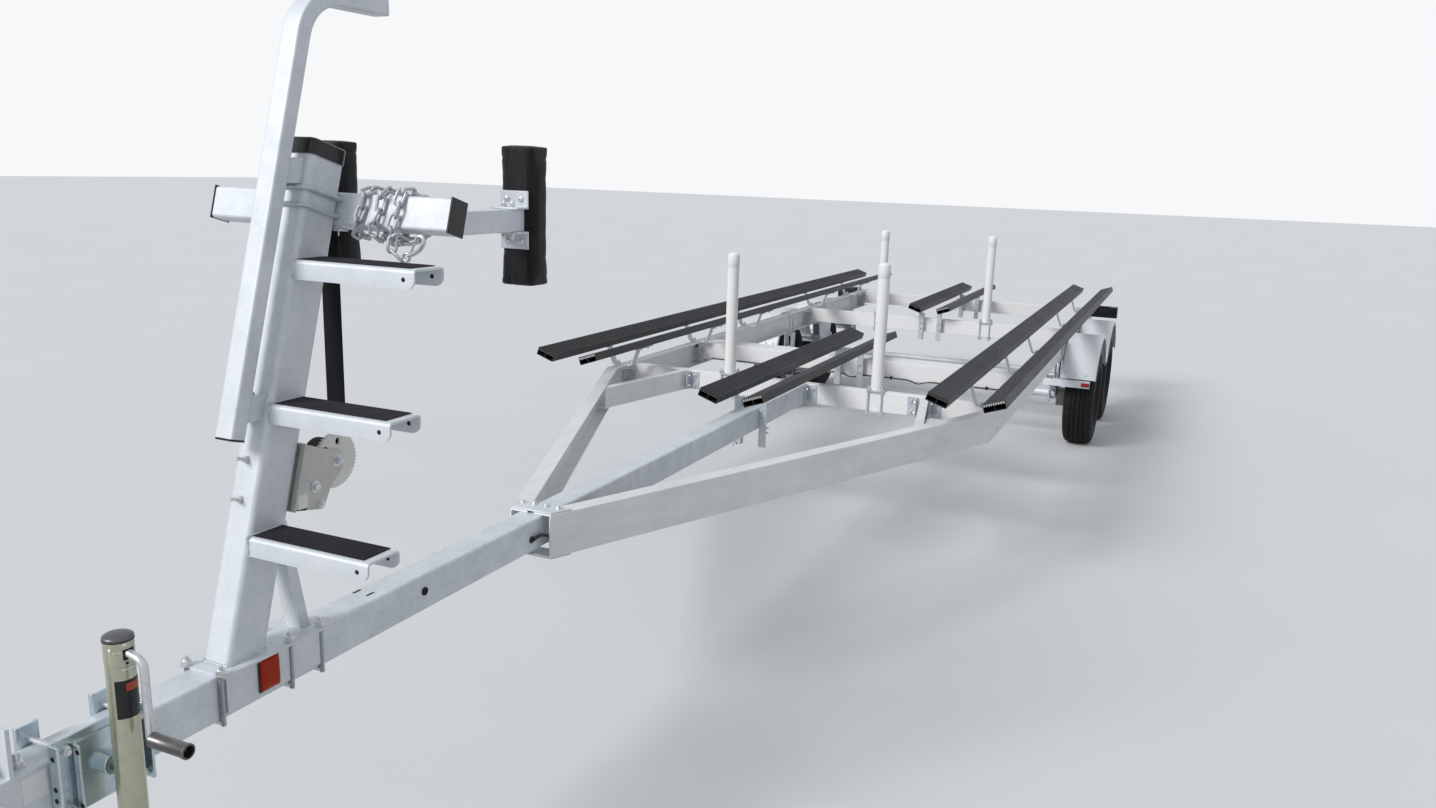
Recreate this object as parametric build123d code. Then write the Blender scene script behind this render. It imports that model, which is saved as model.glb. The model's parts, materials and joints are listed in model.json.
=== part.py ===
"""A tandem axle bunk trailer for a three tube pontoon boat, built from its real pieces.

Sizes are millimetres. +X points forward to the coupler, +Y to the port side, +Z up. The origin is on
the ground, on the centre line, halfway along the trailer. Places along the trailer are stations: the
distance behind the centre of the hitch ball.
"""
import math
import os

from build123d import *

# Stations behind the hitch ball
NOSE = -62
TONGUE_FRONT = 70
COUPLER_REAR = 284
JACK_STATION = 450
POST_STATION = 800
APEX = 1936
BEND = 4184
RAIL_END = 8925
CROSS_STATIONS = {"crossmember_1": 4395, "crossmember_2": 5284, "crossmember_3": 7322,
                  "crossmember_4": RAIL_END - 130}
AXLE_STATIONS = {"front": 7175, "rear": 8054}
CRADLE_STATIONS = (4275, 5235, 6048, 7445, 8395)
BUNK_FRONT = 3716
BUNK_JOINT = 6080
BUNK_REAR = 9130
KEEL_FRONT = 3492
KEEL_FRONT_END = 5720
KEEL_REAR_START = 7215
KEEL_LEG_STATION = 3732
LAMP_STATION = RAIL_END - 65

# Heights above the ground
FRAME_TOP = 777
RAIL_H = 140
WALL = 6
BEAM_H = 102
TONGUE_H = 100

# Frame widths
RAIL_OUT = 1020
APEX_HALF = 75
FLANGE = 60
BEND_RADIUS = 120
BEAM_FLANGE = 50
DOUBLE_BEAM = 161
BEAM_END_GAP = 20
TONGUE_W = 88
TONGUE_WALL = 5
SEAT_GAP = 0.3

# Diagonal braces, from the rails' inner edges back to the first crossmember
BRACE_FRONT = 3730
BRACE_REAR_Y = 634
BRACE_FLANGE = 40
CLEAT_LEG = 52
CLEAT_H = 92
CLEAT_T = 5
CLEAT_BESIDE = 53

# Plates at the apex of the frame
APEX_PLATE_L = 75
APEX_PLATE_T = 6

# Bunks
BUNK_W = 97
BUNK_T = 40
BUNK_TILT = 19
CRADLE_Y = RAIL_OUT - 40
CRADLE_HALF_GAP = 68
BUNK_LOW_EDGE = 910
KEEL_HALF_GAP = 54
KEEL_LOW_EDGE = 857
BUNK_JOINT_GAP = 4
BUNK_WALL = 6

# Bent flat bar cradles and angle legs under the bunks
STRAP_W = 50
STRAP_T = 6
CRADLE_BASE = 104
CRADLE_TOE = 4
CRADLE_SHORT = 12
LEG_SIZE = 36
LEG_T = 5
LEG_BOTTOM = 612
LEG_FRONT_BOTTOM = 585
LEG_PAD = 66

# Guide posts
GUIDE_Y = 403
GUIDE_H = 635
GUIDE_D = 60.3
GUIDE_WALL = 4
GUIDE_CAP_H = 76
GUIDE_CAP_D = 66
GUIDE_CAP_DOME = 14
GUIDE_CAP_TOP_D = 30
CLAMP_L = 92
CLAMP_T = 6
CLAMP_ROD = 10
CLAMP_LEG_SPACE = 70

# Wheels
TYRE_D = 664
TYRE_W = 203
RIM_D = 356
RIM_LIP_D = 382
HUB_D = 84
STUD_CIRCLE = 114.3
STUD_D = 19
ROTOR_D = 248
ROTOR_T = 20
SPINDLE_D = 44

# Axles and leaf springs, placed from the rails' outer faces
AXLE_D = 60
AXLE_HALF = RAIL_OUT + 14
AXLE_FLANGE_D = 104
AXLE_FLANGE_IN = 12
TYRE_IN = AXLE_HALF + 21
ROTOR_Y = AXLE_HALF + 28
ROTOR_GAP = 8
SPRING_Y = RAIL_OUT - 58
SPRING_W = 45
SPRING_HALF = 320
SPRING_EYE_Z = 520
LEAF_T = 8
LEAVES = 4
HANGER_T = 6
HANGER_HALF = 42
HANGER_DROP = 26
SPRING_PLATE_HALF = 62
SPRING_PLATE_T = 10
SPRING_BOLT_D = 12
SPRING_BOLT_X = 44
SPRING_BOLT_Y = 32
SPRING_BOLT_END = 22

# Brake calipers, ahead of the discs
CALIPER_IN = 42
CALIPER_OUT = 14
CALIPER_REACH = 22
CALIPER_T = 16
CALIPER_BODY = (-56, 60)
CALIPER_BRIDGE = (-34, 40)
CALIPER_START = 0.56
CALIPER_GAP = 5
PISTON_D = 50
PISTON_L = 16
PISTON_Z = 22
EYE_D = 36
PIN_D = 14

# Fenders
FENDER_R = 442
FENDER_T = 3
FENDER_IN = AXLE_HALF + 1
FENDER_W = 227
FENDER_OUT = FENDER_IN + FENDER_W
FENDER_START = 25
FENDER_LIP = 22
FENDER_BRACKET_IN = RAIL_OUT - 95
FENDER_BRACKET_SHORT = 34
FENDER_FOOT = 6
BRACKET_SIZE = 48
BRACKET_T = 5

# Winch post, with its steps and handrail
POST_X = 102
POST_Y = 76
POST_WALL = 5
POST_LEAN = 16
POST_TOP = 1832
POST_CORNER = 14
POST_CAP_T = 36
STRUT_H = 268
STRUT_HEAD = 30
STRUT_IN = 112
STRUT_OUT = 141
STRUT_TOP = 12
STRUT_HALF = 22
SADDLE_AHEAD = 85
SADDLE_BEHIND = 239
SADDLE_W = 128
SADDLE_T = 6
SADDLE_DROP = 87
SADDLE_SIDE = (-70, 196)
SADDLE_BOLTS = (-83, 107, 199)
SADDLE_STUD = 20
SADDLE_BAR = 8
STEP_HEIGHTS = (1046, 1320, 1622)
STEP_L = 325
STEP_DEPTH = 96
STEP_H = 42
STEP_T = 4
STEP_CORNER = 16
STEP_HOLE_IN = 28
STEP_HOLE_DOWN = 22
STEP_HOLE_D = 10
TREAD_T = 1.6
TREAD_FRONT = 12
TREAD_BACK = 3
TREAD_INNER = 4
TREAD_OUTER = 20
RAIL_TUBE_X = 38
RAIL_TUBE_Y = 50
RAIL_TUBE_WALL = 3
HANDRAIL_GAP = 38
HANDRAIL_START = 1256
HANDRAIL_BEND = 2095
HANDRAIL_RADIUS = 100
HANDRAIL_TAIL = 150
TAB_HEIGHTS = (1313, 1809)
TAB_W = 6
TAB_H = 54

# Bow stop
BOW_TUBE = 76
BOW_TUBE_X = 51
BOW_HALF = 343
BOW_WALL = 5
BOW_Z = 1720
BOW_CAP_T = 6
ARM_TUBE = 52
ARM_Y = 295
ARM_DROP = 15
ARM_WALL = 4
PAD_X = 80
PAD_Y = 97
PAD_BOTTOM = 1544
PAD_TOP = 1880
PAD_FRONT_STATION = 1440
PAD_BRACKET_T = 5
PAD_BRACKET_H = 43
PAD_BRACKET_HALF = 39
PAD_BRACKET_L = 48
UBOLT_D = 10
UBOLT_HALF_SPACE = 19
NUT_D = 18
NUT_T = 8

# Winch and its strap
WINCH_Z = 1152
WINCH_SIDE_T = 5
WINCH_INNER = 70
WINCH_REACH = 123
WINCH_PLATE = ((27, 32), (-15, 20), (-13, -22), (26, -57), (51, -104))
WINCH_BASE = (-83, 64)
DRUM_D = 34
GEAR_D = 134
GEAR_T = 7
SPOOL_D = 92
PINION_X = 74
PINION_DROP = 45
PINION_L = 34
PINION_D = 16
WINCH_ARM_W = 26
WINCH_ARM = 160
WINCH_GRIP_D = 26
WINCH_GRIP_L = 120
WEB_W = 52
WEB_T = 3

# Chain and hook round the bow stop
CHAIN_WRAPS = 3
CHAIN_Y = 116
CHAIN_PITCH = 68
CHAIN_D = 15

# Jack on the port side of the tongue
JACK_TUBE_D = 51
JACK_WALL = 3
JACK_Y = 116
JACK_TOP = 996
JACK_CAP_H = 24
JACK_CAP_D = 60
JACK_TUBE_BOTTOM = 300
JACK_LEG_GAP = 0.3
JACK_LEG_D = JACK_TUBE_D - 2 * (JACK_WALL + JACK_LEG_GAP)
JACK_FOOT_D = 120
JACK_FOOT_T = 8
JACK_LEG_WALL = 4
JACK_SOCKET_H = 36
JACK_SOCKET_D = 64
JACK_LEG_TOP = 812
JACK_PIVOT_Z = 722
SWIVEL_D = 96
SWIVEL_T = 14
SWIVEL_GAP = 1.5
SWIVEL_PIN_D = 24
CLAMP_HALF = 106
CLAMP_PLATE_T = 8
CLAMP_OVER = 22
CLAMP_BOLT_X = 76
CLAMP_BOLT_OFF = 10
CLAMP_BOLT_D = 12
JACK_COLLAR_H = 90
JACK_COLLAR_D = 63
JACK_CLEAR = 0.4
CRANK_D = 12
CRANK_DROP = 158
CRANK_BELOW = 42
CRANK_OUT = 20
CRANK_SPREAD = 8
GRIP_D = 32
GRIP_L = 98

# Coupler
BALL_D = 58.7
BALL_Z = 730
COUPLER_WALL = 5
COUPLER_CLEAR = 0.5
COUPLER_FLANGE_TOP = 869
COUPLER_FLANGE_T = 8
COUPLER_FOOT_L = 43
COUPLER_HOLE_D = 18
COUPLER_HOLE_DOWN = 30

# Lamps
MARKER_L = 58
MARKER_H = 26
MARKER_T = 14
AMBER_L = 56
AMBER_H = 76
AMBER_DOWN = 79
AMBER_STATION = 840
TAIL_W = 204
TAIL_H = 102
TAIL_D = 74

HALF_LENGTH = (BUNK_REAR - NOSE) / 2
SHEET_TOP = FRAME_TOP - WALL
HUB_Z = TYRE_D / 2
BASE_TOP = SHEET_TOP + SEAT_GAP + SADDLE_T
PARTS = {}


def at(station):
    """Returns the X of a station, with the origin halfway along the trailer."""
    return HALF_LENGTH + NOSE - station


def box(x0, x1, y0, y1, z0, z1):
    """Returns a block between two corners."""
    return Pos((x0 + x1) / 2, (y0 + y1) / 2, (z0 + z1) / 2) * Box(abs(x1 - x0), abs(y1 - y0), abs(z1 - z0))


def rod(start, end, diameter):
    """Returns a round bar from one point to another."""
    line = Line(start, end)
    return extrude(Plane(start, z_dir=line % 0) * Circle(diameter / 2), line.length)


def both_sides(solids):
    """Returns the port solids and their mirror images on the starboard side."""
    return solids + [mirror(solid, Plane.XZ) for solid in solids]


def plan_prism(points, low, high):
    """Returns the prism of a plan outline between two heights."""
    return Pos(0, 0, low) * extrude(make_face(Polyline(*points, close=True)), high - low)


def side_prism(points, y0, y1):
    """Returns the prism of an outline of X and Z points between two widths."""
    face = Plane.XZ * make_face(Polyline(*points, close=True))
    return Pos(0, y0, 0) * extrude(face, -(y1 - y0))


def cross_prism(points, x0, x1):
    """Returns the prism of an outline of Y and Z points between two places along X."""
    face = Plane.YZ * make_face(Polyline(*points, close=True))
    return Pos(min(x0, x1), 0, 0) * extrude(face, abs(x1 - x0))


def add(name, solids):
    """Keeps the solids of one sub-part under its name."""
    PARTS[name] = solids if isinstance(solids, list) else [solids]


def rail_strip(inset, width):
    """Returns the plan points of a strip along the port rail, inset from its outer face."""
    slope = math.atan2(RAIL_OUT - APEX_HALF, BEND - APEX)
    across = 1 / math.cos(slope)
    turn = math.tan(slope / 2)

    def edge(offset):
        return [(at(APEX), APEX_HALF - offset * across), (at(BEND + offset * turn), RAIL_OUT - offset),
                (at(RAIL_END), RAIL_OUT - offset)]

    return edge(inset) + edge(inset + width)[::-1]


def bent_strip(inset, width, low, high):
    """Returns a strip of the rail with its bend rounded."""
    strip = plan_prism(rail_strip(inset, width), low, high)
    corners = strip.edges().filter_by(Axis.Z)
    bend = [edge for edge in corners if abs(edge.center().X - at(BEND)) < RAIL_OUT / 10]
    outer = max(bend, key=lambda edge: edge.center().Y)
    inner = min(bend, key=lambda edge: edge.center().Y)
    strip = fillet(outer, BEND_RADIUS + inset + width)
    corners = strip.edges().filter_by(Axis.Z)
    inner = min(corners, key=lambda edge: (edge.center() - inner.center()).length)
    return fillet(inner, BEND_RADIUS)


def side_rail():
    """Returns the port rail: a channel, web outside, that runs in to the tongue ahead of its bend."""
    low = FRAME_TOP - RAIL_H
    web = bent_strip(0, WALL, low, FRAME_TOP)
    top = bent_strip(0, FLANGE, SHEET_TOP, FRAME_TOP)
    bottom = bent_strip(0, FLANGE, low, low + WALL)
    centre = box(at(APEX) + 1, at(BEND), -FLANGE * 2, SEAT_GAP, low - 1, FRAME_TOP + 1)
    tongue_room = box(at(APEX) + 1, at(BEND), -FLANGE, TONGUE_W / 2 + SEAT_GAP, low + WALL, SHEET_TOP)
    return web + top + bottom - centre - tongue_room


def crossmember(station, double):
    """Returns a crossmember channel, web forward, under the rails' top flanges."""
    half = RAIL_OUT - WALL - BEAM_END_GAP
    low = SHEET_TOP - BEAM_H
    depth = DOUBLE_BEAM if double else BEAM_FLANGE
    front, back = at(station), at(station + depth)
    beam = box(front - WALL, front, -half, half, low, SHEET_TOP)
    beam += box(back, front, -half, half, SHEET_TOP - WALL, SHEET_TOP)
    beam += box(back, front, -half, half, low, low + WALL)
    if double:
        beam += box(back, back + WALL, -half, half, low, SHEET_TOP)
    return beam


def tongue():
    """Returns the rectangular tongue tube from the coupler to the first crossmember."""
    front, back = at(TONGUE_FRONT), at(CROSS_STATIONS["crossmember_1"])
    low = SHEET_TOP - TONGUE_H
    half = TONGUE_W / 2
    outer = box(back, front, -half, half, low, SHEET_TOP)
    outer = fillet(outer.edges().filter_by(Axis.X), TONGUE_WALL * 1.6)
    hollow = half - TONGUE_WALL
    inner = box(back - 1, front + 1, -hollow, hollow, low + TONGUE_WALL, SHEET_TOP - TONGUE_WALL)
    return outer - inner


def brace():
    """Returns the port diagonal brace, a channel with its web inboard, cut to the crossmember and rail."""
    slope = math.atan2(RAIL_OUT - APEX_HALF, BEND - APEX)
    rail_y = APEX_HALF + (BRACE_FRONT - APEX) * math.tan(slope) - (FLANGE - SEAT_GAP) / math.cos(slope)
    rear = CROSS_STATIONS["crossmember_1"] - SEAT_GAP
    angle = math.atan2(rail_y - BRACE_REAR_Y, rear - BRACE_FRONT)
    low = SHEET_TOP - BEAM_H

    def strip(width, z0, z1):
        far = width / math.cos(angle)
        points = [(at(rear), BRACE_REAR_Y), (at(BRACE_FRONT), rail_y), (at(BRACE_FRONT), rail_y + far),
                  (at(rear), BRACE_REAR_Y + far)]
        return plan_prism(points, z0, z1)

    web = strip(WALL, low, SHEET_TOP)
    flanges = strip(BRACE_FLANGE, SHEET_TOP - WALL, SHEET_TOP) + strip(BRACE_FLANGE, low, low + WALL)
    return web + flanges


def corner_plate(x, y, toward):
    """Returns an angle plate in the corner of two beams, with one leg on each."""
    low = SHEET_TOP - BEAM_H + (BEAM_H - CLEAT_H) / 2
    leg = box(x, x + CLEAT_T, y, y + toward * CLEAT_LEG, low, low + CLEAT_H)
    return leg + box(x, x + CLEAT_LEG, y, y + toward * CLEAT_T, low, low + CLEAT_H)


def frame_cleats():
    """Returns the angle plates that bolt the tongue and the braces to the first crossmember."""
    face = at(CROSS_STATIONS["crossmember_1"]) + SEAT_GAP
    at_tongue = corner_plate(face, TONGUE_W / 2 + SEAT_GAP, 1)
    at_brace = corner_plate(face, BRACE_REAR_Y - CLEAT_T * 2.2, -1)
    beside = corner_plate(face, BRACE_REAR_Y + CLEAT_BESIDE, 1)
    return both_sides([at_tongue, at_brace, beside])


def rail_cleats():
    """Returns the angle plates that carry the crossmembers' ends on the rails' webs."""
    cleats = []
    low = FRAME_TOP - RAIL_H + WALL
    inside = RAIL_OUT - WALL
    for station in CROSS_STATIONS.values():
        x = at(station) + SEAT_GAP
        cleat = box(x, x + CLEAT_T, inside - BEAM_END_GAP * 3, inside, low, low + CLEAT_H)
        cleats.append(cleat + box(x, x + CLEAT_LEG, inside - CLEAT_T, inside, low, low + CLEAT_H))
    return both_sides(cleats)


def apex_plates():
    """Returns the plates above and below the rails where they meet on the tongue."""
    half_front = APEX_HALF - 2
    spread = math.tan(math.atan2(RAIL_OUT - APEX_HALF, BEND - APEX)) * APEX_PLATE_L
    front, back = at(APEX + CLEAT_T), at(APEX + APEX_PLATE_L)
    half_back = half_front + spread
    points = [(front, -half_front), (front, half_front), (back, half_back), (back, -half_back)]
    top = plan_prism(points, FRAME_TOP, FRAME_TOP + APEX_PLATE_T)
    low = FRAME_TOP - RAIL_H
    return [top, plan_prism(points, low - APEX_PLATE_T, low)]


def bunk_outline(half_gap, low_edge):
    """Returns the tilted port bunk's outline: Y and Z of its corners, low top edge first."""
    tilt = math.radians(BUNK_TILT)
    wide = (BUNK_W * math.cos(tilt), BUNK_W * math.sin(tilt))
    deep = (BUNK_T * math.sin(tilt), -BUNK_T * math.cos(tilt))
    low = (half_gap, low_edge)
    high = (low[0] + wide[0], low[1] + wide[1])
    return [low, high, (high[0] + deep[0], high[1] + deep[1]), (low[0] + deep[0], low[1] + deep[1])]


def bunk_pair(centre, half_gap, low_edge, start, end):
    """Returns the two tilted bunks of a pair, hollow, from one station to another."""
    outer = bunk_outline(half_gap, low_edge)
    tilt = math.radians(BUNK_TILT)
    middle = [sum(corner[axis] for corner in outer) / 4 for axis in (0, 1)]

    def hollow(offset):
        half = (BUNK_W - 3 * BUNK_WALL) / 4
        reach = BUNK_T / 2 - BUNK_WALL
        points = []
        for across, up in ((-half, -reach), (half, -reach), (half, reach), (-half, reach)):
            points.append((middle[0] + (offset + across) * math.cos(tilt) - up * math.sin(tilt),
                           middle[1] + (offset + across) * math.sin(tilt) + up * math.cos(tilt)))
        return cross_prism(points, at(end) - 1, at(start) + 1)

    half_cell = (BUNK_W - BUNK_WALL) / 4
    bunk = cross_prism(outer, at(end), at(start)) - hollow(-half_cell) - hollow(half_cell)
    return [Pos(0, centre, 0) * bunk, Pos(0, centre, 0) * mirror(bunk, Plane.XZ)]


def strap_band(path):
    """Returns the outline of a bent flat bar from the points of its upper face."""
    upper = list(path)
    lower = []
    for index, point in enumerate(upper):
        before = upper[max(index - 1, 0)]
        after = upper[min(index + 1, len(upper) - 1)]
        first = math.atan2(point[1] - before[1], point[0] - before[0]) if index else None
        second = math.atan2(after[1] - point[1], after[0] - point[0]) if index < len(upper) - 1 else None
        first = second if first is None else first
        second = first if second is None else second
        mean, half = (first + second) / 2, (second - first) / 2
        reach = STRAP_T / math.cos(half)
        lower.append((point[0] + reach * math.sin(mean), point[1] - reach * math.cos(mean)))
    return upper + lower[::-1]


def cradle_half():
    """Returns the upper face points of a cradle's outboard half, from its base to the bunk's far edge."""
    low_under = bunk_outline(CRADLE_HALF_GAP, BUNK_LOW_EDGE)[3]
    tilt = math.radians(BUNK_TILT)
    clear = (SEAT_GAP * math.sin(tilt), -SEAT_GAP * math.cos(tilt))
    start = (low_under[0] + clear[0] + CRADLE_TOE, low_under[1] + clear[1] + CRADLE_TOE * math.tan(tilt))
    reach = (BUNK_W - CRADLE_SHORT) * math.cos(tilt)
    end = (start[0] + reach, start[1] + reach * math.tan(tilt))
    base = (CRADLE_BASE / 2, FRAME_TOP + SEAT_GAP + STRAP_T)
    return [base, start, end]


def cradles():
    """Returns the bent flat bars on the port rail that carry the outer bunks."""
    right = cradle_half()
    left = [(-y, z) for y, z in right[::-1]]
    band = strap_band(left + right)
    bars = []
    for station in CRADLE_STATIONS:
        bars.append(Pos(0, CRADLE_Y, 0) * cross_prism(band, at(station + STRAP_W), at(station)))
    return bars


def keel_leg(station, low, carrier):
    """Returns the port angle leg under a centre bunk, with its seat, beside what carries it."""
    low_under = bunk_outline(KEEL_HALF_GAP, KEEL_LOW_EDGE)[3]
    tilt = math.tan(math.radians(BUNK_TILT))
    y0 = carrier
    clear = SEAT_GAP / math.cos(math.radians(BUNK_TILT))
    front = at(station)

    def under(y):
        return low_under[1] + (y - low_under[0]) * tilt - clear

    seat_in, seat_out = low_under[0] + 4, low_under[0] + 4 + LEG_PAD
    seat = [(seat_in, under(seat_in)), (seat_out, under(seat_out)),
            (seat_out, under(seat_out) - LEG_T), (seat_in, under(seat_in) - LEG_T)]
    leg = cross_prism([(y0, low), (y0 + LEG_T, low), (y0 + LEG_T, under(y0 + LEG_T) - LEG_T / 2),
                       (y0, under(y0) - LEG_T / 2)], front - LEG_SIZE, front)
    face = cross_prism([(y0, low), (y0 + LEG_SIZE, low), (y0 + LEG_SIZE, under(y0 + LEG_SIZE) - LEG_T / 2),
                        (y0, under(y0) - LEG_T / 2)], front - LEG_T, front)
    return leg + face + cross_prism(seat, front - LEG_SIZE, front)


def keel_legs():
    """Returns the angle legs that carry the centre bunks, on the tongue and on three crossmembers."""
    legs = [keel_leg(KEEL_LEG_STATION, LEG_FRONT_BOTTOM, TONGUE_W / 2 + SEAT_GAP)]
    names = ("crossmember_2", "crossmember_3", "crossmember_4")
    for name in names:
        station = CROSS_STATIONS[name] - LEG_SIZE - SEAT_GAP
        legs.append(keel_leg(station, LEG_BOTTOM, KEEL_HALF_GAP - 4))
    return both_sides(legs)


def guide_post():
    """Returns a guide tube standing at the origin, with a plain cap."""
    top = GUIDE_H - 4
    post = rod((0, 0, 0), (0, 0, top), GUIDE_D) - rod((0, 0, -1), (0, 0, top - 4), GUIDE_D - 2 * GUIDE_WALL)
    low, shoulder = GUIDE_H - GUIDE_CAP_H, GUIDE_H - GUIDE_CAP_DOME
    profile = Polyline((0, low), (GUIDE_CAP_D / 2, low), (GUIDE_CAP_D / 2, shoulder),
                       (GUIDE_CAP_TOP_D / 2, GUIDE_H), (0, GUIDE_H), close=True)
    return post + revolve(Plane.XZ * make_face(profile), Axis.Z)


def guide_places():
    """Returns X and Y of the four guide posts, over the flanges of two crossmembers."""
    places = []
    for name in ("crossmember_1", "crossmember_3"):
        x = at(CROSS_STATIONS[name]) - BEAM_FLANGE / 2
        places += [(x, GUIDE_Y), (x, -GUIDE_Y)]
    return places


def guide_clamps():
    """Returns the clamps that hold the guide posts: a plate above, one below and four rods."""
    clamps = []
    low = SHEET_TOP - BEAM_H
    reach = BEAM_FLANGE / 2 + CLAMP_ROD / 2 + SEAT_GAP
    for x, y in guide_places():
        half = CLAMP_L / 2
        wide = reach + CLAMP_ROD
        top = SHEET_TOP + SEAT_GAP
        clamp = box(x - wide, x + wide, y - half, y + half, top, top + CLAMP_T)
        clamp += box(x - wide, x + wide, y - half, y + half, low - SEAT_GAP - CLAMP_T, low - SEAT_GAP)
        for side in (-reach, reach):
            for off in (-CLAMP_LEG_SPACE / 2, CLAMP_LEG_SPACE / 2):
                foot = (x + side, y + off, low - CLAMP_T * 2.5)
                clamp += rod(foot, (x + side, y + off, SHEET_TOP + CLAMP_T * 2.5), CLAMP_ROD)
        clamps.append(clamp)
    return clamps


def tyre(station):
    """Returns the port tyre of an axle, round shouldered, with its bead seat bored out."""
    outer, bead = TYRE_D / 2, RIM_D / 2
    half = TYRE_W / 2
    shoulder = half * 0.78
    profile = Polyline((bead, -half * 0.62), (bead + 26, -half * 0.9), ((outer + bead) / 2, -half),
                       (outer - 34, -half * 0.93), (outer - 8, -shoulder), (outer, -shoulder * 0.8),
                       (outer, shoulder * 0.8), (outer - 8, shoulder), (outer - 34, half * 0.93),
                       ((outer + bead) / 2, half), (bead + 26, half * 0.9), (bead, half * 0.62), close=True)
    ring = revolve(Plane.XY * make_face(profile), Axis.Y)
    return Pos(at(station), TYRE_IN + half, HUB_Z) * ring


def rim(station):
    """Returns the wheel of an axle: barrel, dished centre, hub and brake disc as one turning piece."""
    centre = TYRE_IN + TYRE_W / 2
    bead, lip = RIM_D / 2 - SEAT_GAP, RIM_LIP_D / 2
    half = TYRE_W / 2 * 0.62
    barrel = Polyline((bead, -half), (bead, half), (bead - 14, half), (bead - 20, half - 16), (bead - 34, 20),
                      (bead - 34, -20), (bead - 20, -half + 16), (bead - 14, -half), close=True)
    wheel = revolve(Plane.XY * make_face(barrel), Axis.Y)
    dish = Polyline((0, 14), (HUB_D / 2 + 34, 14), (bead - 40, 34), (bead - 30, 34), (bead - 30, 24),
                    (bead - 40, 24), (HUB_D / 2 + 34, 4), (0, 4), close=True)
    wheel += revolve(Plane.XY * make_face(dish), Axis.Y)
    bore, disc_in, disc_out = SPINDLE_D / 2 + 1, ROTOR_Y - centre, ROTOR_Y - centre + ROTOR_T
    hub = Polyline((bore, disc_in), (ROTOR_D / 2, disc_in), (ROTOR_D / 2, disc_out), (HUB_D / 2, disc_out),
                   (HUB_D / 2, 6), (bore, 6), close=True)
    wheel += revolve(Plane.XY * make_face(hub), Axis.Y)
    cap_r = HUB_D / 2 - 8
    cap = Polyline((0, 10), (cap_r, 10), (cap_r, 48), (cap_r - 6, 54), (0, 54), close=True)
    wheel += revolve(Plane.XY * make_face(cap), Axis.Y)
    for index in range(5):
        angle = math.radians(90 + 72 * index)
        reach = STUD_CIRCLE / 2
        stud = rod((reach * math.cos(angle), 10, reach * math.sin(angle)),
                   (reach * math.cos(angle), 32, reach * math.sin(angle)), STUD_D)
        wheel += stud
    return Pos(at(station), centre, HUB_Z) * wheel


def axle(station):
    """Returns one axle: a round tube with its spindles and disc flanges."""
    x = at(station)
    tube = rod((x, -AXLE_HALF, HUB_Z), (x, AXLE_HALF, HUB_Z), AXLE_D)
    flange_start = AXLE_HALF - AXLE_FLANGE_IN
    flange_end = ROTOR_Y - ROTOR_GAP
    spindle_end = TYRE_IN + TYRE_W / 2
    for side in (-1, 1):
        tube += rod((x, side * flange_start, HUB_Z), (x, side * flange_end, HUB_Z), AXLE_FLANGE_D)
        tube += rod((x, side * AXLE_HALF, HUB_Z), (x, side * spindle_end, HUB_Z), SPINDLE_D)
    return tube


def caliper(station):
    """Returns the brake caliper ahead of the port disc, clear of it and bolted to the axle flange."""
    x = at(station)
    reach = ROTOR_D / 2
    inside = AXLE_HALF - CALIPER_IN
    front = x + reach + CALIPER_REACH
    low, high = (HUB_Z + z for z in CALIPER_BODY)
    under, over = (HUB_Z + z for z in CALIPER_BRIDGE)
    body = box(x + reach * CALIPER_START, front, inside, ROTOR_Y - CALIPER_GAP, low, high)
    body += box(front - CALIPER_T, front, inside, ROTOR_Y + ROTOR_T + CALIPER_OUT, under, over)
    arm = box(x, x + reach * 0.7, AXLE_HALF, ROTOR_Y - ROTOR_GAP, HUB_Z - over + HUB_Z, over)
    arm -= rod((x, inside, HUB_Z), (x, ROTOR_Y + CALIPER_IN, HUB_Z), AXLE_FLANGE_D + 2 * SEAT_GAP)
    body += arm
    body -= rod((x, inside - CALIPER_IN, HUB_Z), (x, AXLE_HALF, HUB_Z), 2 * AXLE_D)
    bore = (x + reach * 0.78, inside + PISTON_L - CALIPER_GAP, HUB_Z + PISTON_Z)
    return body + rod((bore[0], bore[1] - PISTON_L, bore[2]), bore, PISTON_D)


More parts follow.
